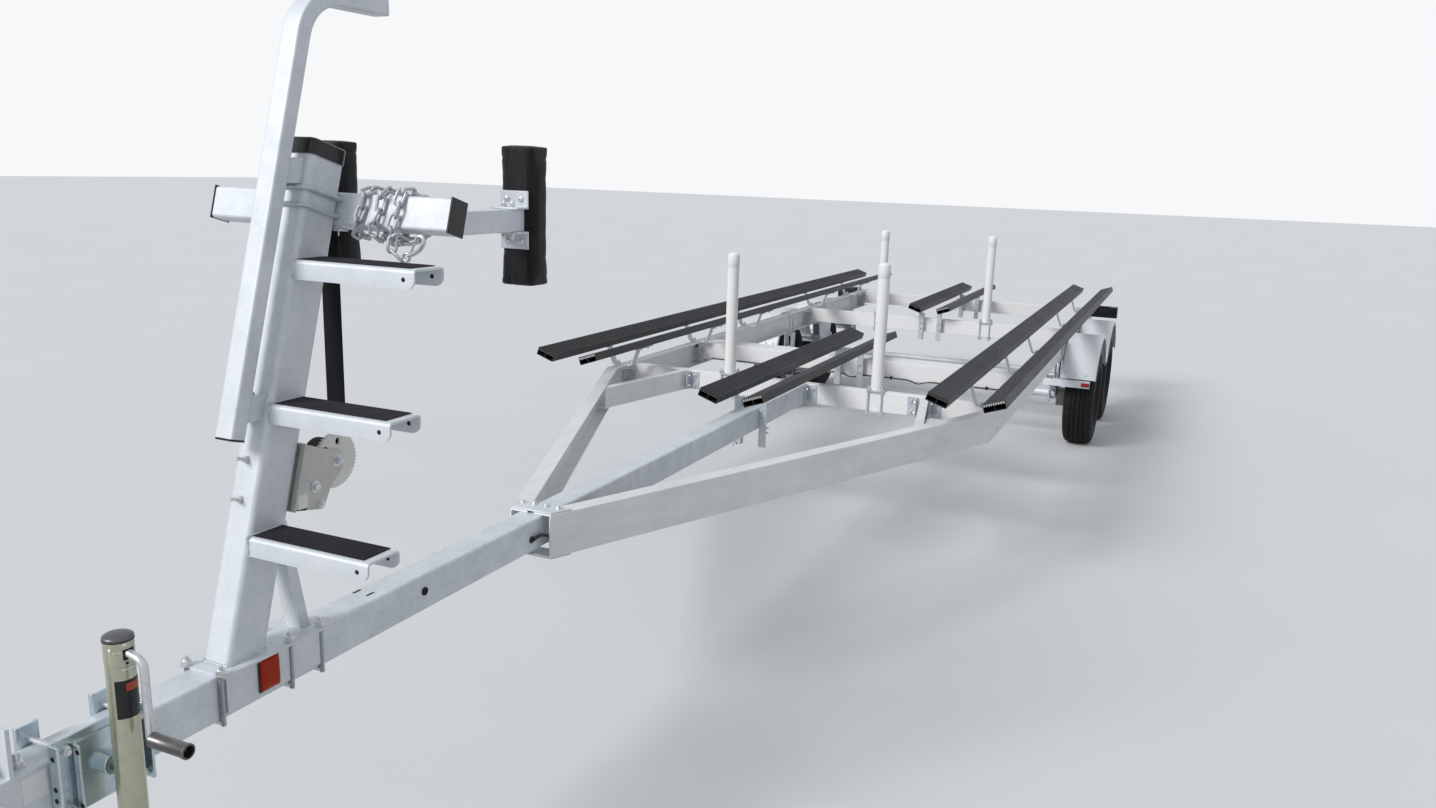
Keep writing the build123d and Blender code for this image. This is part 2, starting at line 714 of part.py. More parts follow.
def leaf_spring(station):
    """Returns the port leaf spring of an axle: nested leaves from eye to eye, clamped on the axle tube."""
    seat = HUB_Z + AXLE_D / 2 + SEAT_GAP
    main_low = seat + (LEAVES - 1) * LEAF_T
    rise = SPRING_EYE_Z - EYE_D / 2 - main_low
    radius = (SPRING_HALF ** 2 + rise ** 2) / (2 * rise)
    centre = main_low + radius
    spring = None
    for index in range(LEAVES):
        reach = radius + index * LEAF_T
        half_angle = math.asin(SPRING_HALF * (1 - 0.22 * index) / radius)
        corners = []
        for r, angle in ((reach, -half_angle), (reach, 0), (reach, half_angle), (reach - LEAF_T, half_angle),
                         (reach - LEAF_T, 0), (reach - LEAF_T, -half_angle)):
            corners.append((r * math.sin(angle), centre - r * math.cos(angle)))
        under, over = ThreePointArc(*corners[:3]), ThreePointArc(*corners[3:])
        ends = [Line(corners[2], corners[3]), Line(corners[5], corners[0])]
        leaf = extrude(Plane.XZ * make_face([under, over] + ends), SPRING_W / 2, both=True)
        spring = leaf if spring is None else spring + leaf
    for side in (-SPRING_HALF, SPRING_HALF):
        half = SPRING_W / 2
        spring += rod((side, -half, SPRING_EYE_Z), (side, half, SPRING_EYE_Z), EYE_D)
        spring -= rod((side, -SPRING_W, SPRING_EYE_Z), (side, SPRING_W, SPRING_EYE_Z), PIN_D + 2 * SEAT_GAP)
    top = seat + LEAVES * LEAF_T
    low = HUB_Z - AXLE_D / 2 - SEAT_GAP
    half, thick = SPRING_PLATE_HALF, SPRING_PLATE_T
    spring += box(-half, half, -SPRING_W, SPRING_W, top, top + thick)
    spring += box(-half, half, -SPRING_W, SPRING_W, low - thick, low)
    for dx in (-SPRING_BOLT_X, SPRING_BOLT_X):
        for dy in (-SPRING_BOLT_Y, SPRING_BOLT_Y):
            spring += rod((dx, dy, low - SPRING_BOLT_END), (dx, dy, top + SPRING_BOLT_END), SPRING_BOLT_D)
    return Pos(at(station), SPRING_Y, 0) * spring


def spring_hangers():
    """Returns the port hangers under the rail: front, middle with its equaliser, and rear."""
    low = FRAME_TOP - RAIL_H - SEAT_GAP
    front = AXLE_STATIONS["front"] - SPRING_HALF
    rear = AXLE_STATIONS["rear"] + SPRING_HALF
    middle = (AXLE_STATIONS["front"] + AXLE_STATIONS["rear"]) / 2
    half = (AXLE_STATIONS["rear"] - AXLE_STATIONS["front"] - 2 * SPRING_HALF) / 2
    pieces = []
    inner = SPRING_W / 2 + SEAT_GAP
    long = half + HANGER_HALF - 8
    for station, reach, pins in ((front, HANGER_HALF, (0,)), (middle, long, (-half, half)),
                                 (rear, HANGER_HALF, (0,))):
        x = at(station)
        hanger = None
        for side in (-1, 1):
            y0 = SPRING_Y + side * inner
            points = [(x - reach, low - HANGER_T), (x + reach, low - HANGER_T),
                      (x + reach * 0.8, SPRING_EYE_Z - HANGER_DROP),
                      (x - reach * 0.8, SPRING_EYE_Z - HANGER_DROP)]
            plate = side_prism(points, min(y0, y0 + side * HANGER_T), max(y0, y0 + side * HANGER_T))
            hanger = plate if hanger is None else hanger + plate
        wide = inner + HANGER_T
        hanger += box(x - reach, x + reach, SPRING_Y - wide, SPRING_Y + wide, low - HANGER_T, low)
        for pin in pins:
            start = (x + pin, SPRING_Y - inner - HANGER_T, SPRING_EYE_Z)
            hanger += rod(start, (x + pin, SPRING_Y + inner + HANGER_T, SPRING_EYE_Z), PIN_D)
        pieces.append(hanger)
    return pieces


def fender(station):
    """Returns the port fender of a wheel: a flat topped arch with a turned lip on each edge."""
    start = math.radians(FENDER_START)
    centre = (at(station), HUB_Z)

    def arch(radius, thick, y0, y1):
        def place(r, angle):
            return (centre[0] + r * math.cos(angle), centre[1] + r * math.sin(angle))
        under, end = radius - thick, math.pi - start
        outer = ThreePointArc(place(radius, start), place(radius, math.pi / 2), place(radius, end))
        inner = ThreePointArc(place(under, end), place(under, math.pi / 2), place(under, start))
        ends = [Line(outer @ 1, inner @ 0), Line(inner @ 1, outer @ 0)]
        return Pos(0, y0, 0) * extrude(Plane.XZ * make_face([outer, inner] + ends), -(y1 - y0))

    top = arch(FENDER_R, FENDER_T, FENDER_IN, FENDER_OUT)
    lip_in = arch(FENDER_R, FENDER_LIP, FENDER_IN, FENDER_IN + FENDER_T)
    lip_out = arch(FENDER_R, FENDER_LIP, FENDER_OUT - FENDER_T, FENDER_OUT)
    return top + lip_in + lip_out


def fender_brackets():
    """Returns the port angle irons under the fenders' ends, each with a tab on a hanger's outer face."""
    irons = []
    start = math.radians(FENDER_START)
    foot = FENDER_R * math.cos(start) + FENDER_FOOT
    z = HUB_Z + (FENDER_R - FENDER_LIP) * math.sin(start) - SEAT_GAP
    hanger_face = SPRING_Y + SPRING_W / 2 + HANGER_T + 2 * SEAT_GAP
    ends = (("front", 1, FENDER_BRACKET_IN), ("front", -1, hanger_face), ("rear", 1, hanger_face),
            ("rear", -1, FENDER_BRACKET_IN))
    for name, side, y0 in ends:
        hub = at(AXLE_STATIONS[name])
        x = hub + side * foot
        y1 = FENDER_OUT - FENDER_BRACKET_SHORT
        iron = box(x, x + side * BRACKET_T, y0, y1, z - BRACKET_SIZE, z)
        iron += box(x, x - side * BRACKET_SIZE * 0.6, hanger_face, y1, z - BRACKET_T, z)
        tab_end = hub + side * (SPRING_HALF - 14)
        iron += box(x, tab_end, hanger_face, hanger_face + BRACKET_T, z - BRACKET_SIZE, z)
        irons.append(iron)
    return irons


def saddle():
    """Returns the base plate and side plates on the tongue, with the three bolts that wrap round it."""
    x0, x1 = at(POST_STATION + SADDLE_BEHIND), at(POST_STATION - SADDLE_AHEAD)
    half = SADDLE_W / 2
    inside = TONGUE_W / 2 + SEAT_GAP
    body = box(x0, x1, -half, half, SHEET_TOP + SEAT_GAP, BASE_TOP)
    front, back = (at(POST_STATION + offset) for offset in SADDLE_SIDE)
    low = SHEET_TOP - SADDLE_DROP
    for side in (-1, 1):
        body += box(back, front, side * inside, side * (inside + SADDLE_T), low, SHEET_TOP + SADDLE_T)
    y = inside + UBOLT_D / 2 + SEAT_GAP
    top = SHEET_TOP - TONGUE_H - SEAT_GAP
    bar = SADDLE_BAR / 2
    for offset in SADDLE_BOLTS:
        x = at(POST_STATION + offset)
        bolt = box(x - bar, x + bar, -y, y, top - SADDLE_BAR, top)
        for side in (-1, 1):
            bolt += rod((x, side * y, top - UBOLT_D), (x, side * y, BASE_TOP + SADDLE_STUD), UBOLT_D)
            bolt += rod((x, side * y, BASE_TOP - 1), (x, side * y, BASE_TOP + NUT_T), NUT_D)
        body += bolt
    return body


def lean_plane(origin, lean):
    """Returns a plane at a point, its Z leaning aft by an angle."""
    across, along = (math.cos(lean), 0, math.sin(lean)), (-math.sin(lean), 0, math.cos(lean))
    return Plane(origin, x_dir=across, z_dir=along)


def lean_frame():
    """Returns the plane of the leaning post: its origin on the saddle, its Z up along the post."""
    lean = math.radians(POST_LEAN)
    origin = (at(POST_STATION), 0, BASE_TOP)
    return lean_plane(origin, lean)


def post_x(z, offset=0.0):
    """Returns the X of the post's axis at a height, moved square to the axis by an offset."""
    lean = math.radians(POST_LEAN)
    return at(POST_STATION) - (z - BASE_TOP) * math.tan(lean) + offset / math.cos(lean)


def winch_post():
    """Returns the leaning rectangular tube of the winch stand."""
    length = (POST_TOP - BASE_TOP) / math.cos(math.radians(POST_LEAN))
    below = POST_X
    inside = RectangleRounded(POST_X - 2 * POST_WALL, POST_Y - 2 * POST_WALL, POST_CORNER - POST_WALL)
    outer = Pos(0, 0, -below) * extrude(RectangleRounded(POST_X, POST_Y, POST_CORNER), length + below)
    inner = Pos(0, 0, -2 * below) * extrude(inside, length + 4 * below)
    post = lean_frame().location * (outer - inner)
    x = at(POST_STATION)
    return post - box(x - 2 * POST_X, x + 2 * POST_X, -POST_X, POST_X, BASE_TOP - 2 * POST_X, BASE_TOP)


def post_cap():
    """Returns the black cap on top of the post."""
    length = (POST_TOP - BASE_TOP) / math.cos(math.radians(POST_LEAN))
    cap = Pos(0, 0, length) * extrude(RectangleRounded(POST_X + 6, POST_Y + 6, POST_CORNER + 3), POST_CAP_T)
    cap = fillet(cap.edges().group_by(Axis.Z)[-1], 5)
    return lean_frame().location * cap


def post_strut():
    """Returns the strut from the base plate up to the post's back."""
    top = BASE_TOP + STRUT_H
    behind = -POST_X / 2
    back = post_x(top, behind) - SEAT_GAP
    foot = post_x(BASE_TOP, behind)
    points = [(back, top), (post_x(top - STRUT_HEAD, behind) - SEAT_GAP, top - STRUT_HEAD),
              (foot - STRUT_IN, BASE_TOP), (foot - STRUT_OUT, BASE_TOP), (back - STRUT_TOP, top)]
    return side_prism(points, -STRUT_HALF, STRUT_HALF)


def post_outline(low, high, front, back):
    """Returns the X and Z points of a slab beside the post between two heights and two offsets."""
    return [(post_x(low, front), low), (post_x(high, front), high), (post_x(high, back), high),
            (post_x(low, back), low)]


def step(z):
    """Returns one step: an inverted channel on the post's port side with a cut corner at its outer end."""
    x1 = post_x(z - STEP_H / 2, POST_X / 2)
    x0 = x1 - STEP_DEPTH
    y0 = POST_Y / 2 + SEAT_GAP
    y1 = y0 + STEP_L
    body = box(x0, x1, y0, y1, z - STEP_T, z)
    for a, b in ((x1 - STEP_T, x1), (x0, x0 + STEP_T)):
        flange = box(a, b, y0, y1, z - STEP_H, z)
        corner = flange.edges().filter_by(Axis.X).sort_by(lambda edge: edge.center().Y - edge.center().Z)[-1]
        flange = fillet(corner, STEP_CORNER)
        hole = (y1 - STEP_HOLE_IN, z - STEP_HOLE_DOWN)
        body += flange - rod((a - 1, *hole), (b + 1, *hole), STEP_HOLE_D)
    return body


def tread(z):
    """Returns the grip strip on a step."""
    front = post_x(z - STEP_H / 2, POST_X / 2)
    back = front - STEP_DEPTH + TREAD_BACK
    y0 = POST_Y / 2 + SEAT_GAP
    low = z + SEAT_GAP
    return box(back, front - TREAD_FRONT, y0 + TREAD_INNER, y0 + STEP_L - TREAD_OUTER, low, low + TREAD_T)


def handrail():
    """Returns the rectangular tube ahead of the post, bent aft at its top, with its two tabs."""
    offset = POST_X / 2 + HANDRAIL_GAP + RAIL_TUBE_X / 2
    lean = math.radians(POST_LEAN)
    low = (post_x(HANDRAIL_START, offset), 0, HANDRAIL_START)
    bend = (post_x(HANDRAIL_BEND, offset), 0, HANDRAIL_BEND)
    run = (HANDRAIL_RADIUS + RAIL_TUBE_X / 2) * math.tan((math.pi / 2 - lean) / 2)
    corner = (bend[0] - run * math.sin(lean), 0, bend[2] + run * math.cos(lean))
    end = (corner[0] - run - HANDRAIL_TAIL, 0, corner[2])
    path = FilletPolyline(low, corner, end, radius=HANDRAIL_RADIUS + RAIL_TUBE_X / 2)
    start = lean_plane(low, lean)
    outer = start * RectangleRounded(RAIL_TUBE_X, RAIL_TUBE_Y, 2 * RAIL_TUBE_WALL)
    wall = 2 * RAIL_TUBE_WALL
    inner = start * RectangleRounded(RAIL_TUBE_X - wall, RAIL_TUBE_Y - wall, RAIL_TUBE_WALL)
    tube = sweep(outer, path=path) - sweep(inner, path=path)
    for z in TAB_HEIGHTS:
        front, back = POST_X / 2 + HANDRAIL_GAP + 1, POST_X / 2 + SEAT_GAP
        points = post_outline(z - TAB_H / 2, z + TAB_H / 2, front, back)
        for y in (-RAIL_TUBE_Y / 2 + 4, RAIL_TUBE_Y / 2 - 4 - TAB_W):
            tube += side_prism(points, y, y + TAB_W)
    return tube


def bow_frame():
    """Returns the place of the bow stop tube, clamped flat on the back of the leaning post."""
    lean = math.radians(POST_LEAN)
    origin = (post_x(BOW_Z, -(POST_X / 2 + SEAT_GAP + BOW_TUBE_X / 2)), 0, BOW_Z)
    return lean_plane(origin, lean).location


def bow_block(reach, y0, y1):
    """Returns the bow stop tube's outline grown by a reach, between two widths."""
    half_x, half_z = BOW_TUBE_X / 2 + reach, BOW_TUBE / 2 + reach
    return box(-half_x, half_x, y0, y1, -half_z, half_z)


def bow_crossbar():
    """Returns the rectangular tube across the post's back, drilled for the two clamp bolts."""
    tube = bow_block(0, -BOW_HALF, BOW_HALF)
    tube = fillet(tube.edges().filter_by(Axis.Y), 8)
    tube -= bow_block(-BOW_WALL, -BOW_HALF - 1, BOW_HALF + 1)
    for z in (-UBOLT_HALF_SPACE, UBOLT_HALF_SPACE):
        for y in (-bolt_y(), bolt_y()):
            tube -= rod((-BOW_TUBE_X, y, z), (BOW_TUBE_X, y, z), UBOLT_D + 2 * SEAT_GAP)
    return bow_frame() * tube


def bow_caps():
    """Returns the black caps on the ends of the bow stop tube."""
    cap = bow_block(1.5, BOW_HALF + SEAT_GAP, BOW_HALF + BOW_CAP_T)
    cap = fillet(cap.edges().group_by(Axis.Y)[-1], 3)
    return both_sides([bow_frame() * cap])


def bolt_y():
    """Returns the sideways place of the clamp bolts' legs, just clear of the post."""
    return POST_Y / 2 + UBOLT_D / 2 + SEAT_GAP


def bow_ubolts():
    """Returns the two bolts round the post that clamp the bow stop tube, with their nuts behind it."""
    bolts = []
    front = BOW_TUBE_X / 2 + SEAT_GAP + POST_X + SEAT_GAP + UBOLT_D / 2
    back = -BOW_TUBE_X / 2 - SEAT_GAP
    half = bolt_y()
    for z in (-UBOLT_HALF_SPACE, UBOLT_HALF_SPACE):
        bolt = rod((front, -half, z), (front, half, z), UBOLT_D)
        for y in (-half, half):
            bolt += rod((front, y, z), (back - NUT_T - 6, y, z), UBOLT_D)
            bolt += Pos(front, y, z) * Sphere(UBOLT_D / 2)
            bolt += rod((back, y, z), (back - NUT_T, y, z), NUT_D)
        bolts.append(bow_frame() * bolt)
    return bolts


def pad_front():
    """Returns the X of the pads' front faces."""
    return at(PAD_FRONT_STATION)


def pad_arms():
    """Returns the arms that run aft from the bow stop tube to the pads, cut to its tilted back."""
    back = pad_front() + SEAT_GAP
    front = at(POST_STATION)
    half = ARM_TUBE / 2
    inner = half - ARM_WALL
    centre = BOW_Z - ARM_DROP
    arm = box(back, front, ARM_Y - half, ARM_Y + half, centre - half, centre + half)
    arm -= box(back - 1, front + 1, ARM_Y - inner, ARM_Y + inner, centre - inner, centre + inner)
    far = POST_STATION
    ahead = box(-BOW_TUBE_X / 2 - SEAT_GAP, far, ARM_Y - ARM_TUBE, ARM_Y + ARM_TUBE, -far, far)
    arm -= bow_frame() * ahead
    return both_sides([arm])


def pad_brackets():
    """Returns the angle brackets above and below each arm, on the front of each pad."""
    x = pad_front() + SEAT_GAP
    half = ARM_TUBE / 2 + SEAT_GAP
    y0, y1 = ARM_Y - PAD_BRACKET_HALF, ARM_Y + PAD_BRACKET_HALF
    angles = []
    for side in (-1, 1):
        z = BOW_Z - ARM_DROP + side * half
        angle = box(x, x + PAD_BRACKET_T, y0, y1, z, z + side * PAD_BRACKET_H)
        angles.append(angle + box(x, x + PAD_BRACKET_L, y0, y1, z, z + side * PAD_BRACKET_T))
    return both_sides(angles)


def bow_pad():
    """Returns the port pad, a carpet covered upright board."""
    x = pad_front()
    pad = box(x - PAD_X, x, ARM_Y - PAD_Y / 2, ARM_Y + PAD_Y / 2, PAD_BOTTOM, PAD_TOP)
    return fillet(pad.edges().filter_by(Axis.Z), 10)


def winch_axis():
    """Returns the X of the winch drum's axis behind the post."""
    return post_x(WINCH_Z, -POST_X / 2 - WINCH_REACH)


def winch_frame():
    """Returns the winch's folded base and side plates."""
    inner = WINCH_INNER / 2
    back = POST_X / 2 + SEAT_GAP
    low, high = (WINCH_Z + reach for reach in WINCH_BASE)
    outside = inner + WINCH_SIDE_T
    base = side_prism(post_outline(low, high, -back, -back - WINCH_SIDE_T), -outside, outside)
    points = [(post_x(low, -back), low), (post_x(high, -back), high)]
    points += [(winch_axis() + dx, WINCH_Z + dz) for dx, dz in WINCH_PLATE]
    for side in (-1, 1):
        y0, y1 = side * inner, side * outside
        base += side_prism(points, min(y0, y1), max(y0, y1))
    x = winch_axis()
    return base - rod((x, -2 * inner, WINCH_Z), (x, 2 * inner, WINCH_Z), DRUM_D * 0.6 + 2 * SEAT_GAP)


def winch_drum():
    """Returns the drum with its shaft and its big gear, between the winch's side plates."""
    x, inner = winch_axis(), WINCH_INNER / 2
    end = inner + WINCH_SIDE_T + 4
    drum = rod((x, -end, WINCH_Z), (x, end, WINCH_Z), DRUM_D * 0.6)
    drum += rod((x, -inner + 1, WINCH_Z), (x, inner - 1, WINCH_Z), DRUM_D)
    return drum + rod((x, inner - 1 - GEAR_T, WINCH_Z), (x, inner - 1, WINCH_Z), GEAR_D)


def winch_crank():
    """Returns the winch's pinion shaft, arm and grip on the starboard side."""
    inner = WINCH_INNER / 2 + WINCH_SIDE_T
    x, z = winch_axis() + PINION_X, WINCH_Z - PINION_DROP
    y = -inner - SEAT_GAP
    arm_y = y - PINION_L
    half = WINCH_ARM_W / 2
    crank = rod((x, y, z), (x, arm_y, z), PINION_D)
    crank += box(x - half, x + half, arm_y - HANGER_T, arm_y, z - half, z + WINCH_ARM + half)
    grip = (x, arm_y - WINCH_GRIP_L, z + WINCH_ARM)
    return crank + rod((x, arm_y - 1, z + WINCH_ARM), grip, WINCH_GRIP_D)


def strap_top(x):
    """Returns the height of the bow stop tube's tilted underside at an X."""
    lean = math.radians(POST_LEAN)
    half = BOW_TUBE / 2 + SEAT_GAP
    middle = bow_frame().position.X
    return BOW_Z + (x - middle - half * math.sin(lean)) * math.tan(lean) - half * math.cos(lean)


def winch_strap():
    """Returns the webbing: a spool on the drum and the taut run up to the bow stop tube's underside."""
    x = winch_axis()
    half = WEB_W / 2
    spool = rod((x, -half, WINCH_Z), (x, half, WINCH_Z), SPOOL_D)
    spool -= rod((x, -half - 1, WINCH_Z), (x, half + 1, WINCH_Z), DRUM_D + 2 * SEAT_GAP)
    back = x - SPOOL_D / 2
    run = box(back, back + WEB_T, -half, half, WINCH_Z, strap_top(back))
    return spool + run


def bow_chain():
    """Returns the chain's turns round the bow stop tube and the hook that hangs from it."""
    half = CHAIN_D * 0.8
    chain = None
    for index in range(CHAIN_WRAPS):
        y = CHAIN_Y + index * CHAIN_PITCH
        ring = fillet(bow_block(CHAIN_D, y - half, y + half).edges().filter_by(Axis.Y), CHAIN_D)
        ring -= bow_block(SEAT_GAP, y - CHAIN_D, y + CHAIN_D)
        chain = ring if chain is None else chain + ring
    last = CHAIN_Y + (CHAIN_WRAPS - 1) * CHAIN_PITCH
    under = -BOW_TUBE / 2
    chain += box(-half, half, CHAIN_Y, last, under - CHAIN_D, under - SEAT_GAP)
    chain = bow_frame() * chain
    low = strap_top(bow_frame().position.X) - CHAIN_D / 2
    x = bow_frame().position.X
    return chain + rod((x, last, low), (x, last, low - 64), CHAIN_D)


def jack_bracket():
    """Returns the clamp on the tongue with the fixed half of the jack's swivel."""
    x, half = at(JACK_STATION), TONGUE_W / 2
    y0 = half + SEAT_GAP
    low, high = SHEET_TOP - TONGUE_H - CLAMP_OVER, SHEET_TOP + CLAMP_OVER
    plate = box(x - CLAMP_HALF, x + CLAMP_HALF, y0, y0 + CLAMP_PLATE_T, low, high)
    y1 = JACK_Y - JACK_TUBE_D / 2 - SWIVEL_T - SWIVEL_GAP
    disc = rod((x, y0 + CLAMP_PLATE_T, JACK_PIVOT_Z), (x, y1, JACK_PIVOT_Z), SWIVEL_D)
    disc -= rod((x, y0, JACK_PIVOT_Z), (x, y1 + 1, JACK_PIVOT_Z), SWIVEL_PIN_D + 2 * JACK_CLEAR)
    far = box(x - CLAMP_HALF, x + CLAMP_HALF, -y0 - CLAMP_PLATE_T, -y0, low, high)
    bracket = plate + disc + far
    end = y0 + 2 * CLAMP_PLATE_T
    for dx in (-CLAMP_BOLT_X, CLAMP_BOLT_X):
        for z in (SHEET_TOP + CLAMP_BOLT_OFF, SHEET_TOP - TONGUE_H - CLAMP_BOLT_OFF):
            bracket += rod((x + dx, -end, z), (x + dx, end, z), CLAMP_BOLT_D)
    return bracket


def jack_tube():
    """Returns the jack's outer tube with its collar, swivel plate and cap."""
    x = at(JACK_STATION)
    top = JACK_TOP - JACK_CAP_H
    tube = rod((x, JACK_Y, JACK_TUBE_BOTTOM), (x, JACK_Y, top), JACK_TUBE_D)
    half = JACK_COLLAR_H / 2
    collar = rod((x, JACK_Y, JACK_PIVOT_Z - half), (x, JACK_Y, JACK_PIVOT_Z + half), JACK_COLLAR_D)
    y1 = JACK_Y - JACK_TUBE_D / 2
    plate = rod((x, y1 - SWIVEL_T, JACK_PIVOT_Z), (x, JACK_Y, JACK_PIVOT_Z), SWIVEL_D)
    pin = rod((x, TONGUE_W / 2 + SEAT_GAP + 10, JACK_PIVOT_Z), (x, y1, JACK_PIVOT_Z), SWIVEL_PIN_D)
    bore = rod((x, JACK_Y, JACK_TUBE_BOTTOM - 1), (x, JACK_Y, top - 4), JACK_TUBE_D - 2 * JACK_WALL)
    return tube + collar + plate + pin - bore


def jack_cap():
    """Returns the dark domed cap of the jack."""
    x = at(JACK_STATION)
    low = JACK_TOP - JACK_CAP_H
    cap = rod((x, JACK_Y, low), (x, JACK_Y, JACK_TOP), JACK_CAP_D)
    return fillet(cap.edges().group_by(Axis.Z)[-1], 16)


def jack_crank():
    """Returns the jack's folded side crank with its grip, on the outboard side of the tube."""
    x = at(JACK_STATION)
    y0 = JACK_Y + JACK_TUBE_D / 2 + SEAT_GAP
    y1, y2 = y0 + CRANK_OUT, y0 + CRANK_OUT + CRANK_SPREAD
    high = JACK_TOP - CRANK_BELOW
    low = high - CRANK_DROP
    grip = y2 + CRANK_D
    crank = rod((x, y0, high), (x, y1, high), CRANK_D)
    crank += Pos(x, y1, high) * Sphere(CRANK_D / 2)
    crank += rod((x, y1, high), (x, y2, low), CRANK_D)
    crank += Pos(x, y2, low) * Sphere(CRANK_D / 2)
    crank += rod((x, y2, low), (x, grip + 1, low), CRANK_D)
    return crank + rod((x, grip, low), (x, grip + GRIP_L, low), GRIP_D)


def jack_leg():
    """Returns the jack's sliding inner leg with its flat foot on the ground."""
    x = at(JACK_STATION)
    leg = rod((x, JACK_Y, JACK_FOOT_T), (x, JACK_Y, JACK_LEG_TOP), JACK_LEG_D)
    bore_d = JACK_LEG_D - 2 * JACK_LEG_WALL
    leg -= rod((x, JACK_Y, JACK_FOOT_T + JACK_SOCKET_H), (x, JACK_Y, JACK_LEG_TOP + 1), bore_d)
    foot = rod((x, JACK_Y, 0), (x, JACK_Y, JACK_FOOT_T), JACK_FOOT_D)
    socket = rod((x, JACK_Y, JACK_FOOT_T), (x, JACK_Y, JACK_FOOT_T + JACK_SOCKET_H), JACK_SOCKET_D)
    return leg + foot + socket


def coupler():
    """Returns the coupler: a folded case over the tongue's end, a domed nose and its ball socket."""
    half = TONGUE_W / 2 + COUPLER_CLEAR
    out = half + COUPLER_WALL
    top = SHEET_TOP + COUPLER_CLEAR + COUPLER_WALL
    low = SHEET_TOP - TONGUE_H + 12
    case = box(at(COUPLER_REAR), at(30), -out, out, low, top)
    case -= box(at(COUPLER_REAR) - 1, at(TONGUE_FRONT - 2), -half, half, low - 1, SHEET_TOP + COUPLER_CLEAR)
    nose = side_prism([(at(60), low), (at(60), top), (at(8), BALL_Z + 44), (at(NOSE) - 8, BALL_Z + 40),
                       (at(NOSE), BALL_Z + 26), (at(NOSE), low + 14), (at(NOSE) - 8, low)], -out + 6, out - 6)
    body = case + nose
    body = body - Pos(at(0), 0, BALL_Z) * Sphere(BALL_D / 2 + 0.6)
    mouth = rod((at(0), 0, BALL_Z), (at(0), 0, low - 1), BALL_D + 1.2)
    body = body - mouth
    end = COUPLER_REAR - COUPLER_FLANGE_T
    flange = box(at(COUPLER_REAR), at(end), -out, out, top - 1, COUPLER_FLANGE_TOP)
    foot = SHEET_TOP + SEAT_GAP
    flange += box(at(COUPLER_REAR + COUPLER_FOOT_L), at(end), -out, out, foot, foot + COUPLER_WALL)
    z = COUPLER_FLANGE_TOP - COUPLER_HOLE_DOWN
    return body + flange - rod((at(COUPLER_REAR) - 1, 0, z), (at(end) + 1, 0, z), COUPLER_HOLE_D)


def marker_lamps():
    """Returns the lamps: ambers on the saddle's sides and reds on the front fender brackets."""
    x = at(AMBER_STATION)
    y = TONGUE_W / 2 + SADDLE_T + 2 * SEAT_GAP
    low = SHEET_TOP - AMBER_DOWN
    amber = box(x - AMBER_L / 2, x + AMBER_L / 2, y, y + MARKER_T, low, low + AMBER_H)
    start = math.radians(FENDER_START)
    bx = at(AXLE_STATIONS["front"]) + FENDER_R * math.cos(start) + FENDER_FOOT + BRACKET_T + SEAT_GAP
    bz = HUB_Z + (FENDER_R - FENDER_LIP) * math.sin(start) - BRACKET_SIZE / 2
    by = FENDER_OUT - FENDER_BRACKET_SHORT - MARKER_L
    red = box(bx, bx + MARKER_T, by, by + MARKER_L - 4, bz - MARKER_H / 2, bz + MARKER_H / 2)
    return both_sides([amber, red])


def tail_lamps():
    """Returns the tail lamp housings outboard of the rails behind the rear fenders."""
    x = at(LAMP_STATION)
    top = FRAME_TOP + 24
    y = RAIL_OUT + SEAT_GAP
    lamp = box(x - TAIL_D / 2, x + TAIL_D / 2, y, y + TAIL_W, top - TAIL_H, top)
    return both_sides([lamp])


add("tongue", tongue())
add("side_rail_port", side_rail())
add("side_rail_starboard", mirror(side_rail(), Plane.XZ))
beams = [crossmember(station, name == "crossmember_2") for name, station in CROSS_STATIONS.items()]
add("crossmembers", beams)
add("diagonal_braces", both_sides([brace()]))
add("frame_cleats", frame_cleats() + rail_cleats())
add("apex_plates", apex_plates())
add("coupler", coupler())

CRADLE_SIZES = (CRADLE_HALF_GAP, BUNK_LOW_EDGE)
for side_name, side in (("port", 1), ("starboard", -1)):
    front_pair = bunk_pair(side * CRADLE_Y, *CRADLE_SIZES, BUNK_FRONT, BUNK_JOINT)
    rear_pair = bunk_pair(side * CRADLE_Y, *CRADLE_SIZES, BUNK_JOINT + BUNK_JOINT_GAP, BUNK_REAR)
    add("bunks_" + side_name, front_pair + rear_pair)
keel_front = bunk_pair(0, KEEL_HALF_GAP, KEEL_LOW_EDGE, KEEL_FRONT, KEEL_FRONT_END)
keel_rear = bunk_pair(0, KEEL_HALF_GAP, KEEL_LOW_EDGE, KEEL_REAR_START, BUNK_REAR)
add("bunks_centre", keel_front + keel_rear)
add("bunk_cradles", both_sides(cradles()))
add("bunk_legs", keel_legs())

post = guide_post()
add("guide_posts", [Pos(x, y, SHEET_TOP + SEAT_GAP + CLAMP_T) * post for x, y in guide_places()])
add("guide_clamps", guide_clamps())

axles, fenders, calipers, springs = [], [], [], []
for end_name, end_station in AXLE_STATIONS.items():
    add("tyre_" + end_name + "_port", tyre(end_station))
    add("tyre_" + end_name + "_starboard", mirror(tyre(end_station), Plane.XZ))
    add("rim_" + end_name + "_port", rim(end_station))
    add("rim_" + end_name + "_starboard", mirror(rim(end_station), Plane.XZ))
    axles.append(axle(end_station))
    fenders.append(fender(end_station))
    calipers.append(caliper(end_station))
    springs.append(leaf_spring(end_station))
add("axles", axles)
add("brake_calipers", both_sides(calipers))
add("leaf_springs", both_sides(springs))
add("spring_hangers", both_sides(spring_hangers()))
add("fenders", both_sides(fenders))
add("fender_brackets", both_sides(fender_brackets()))

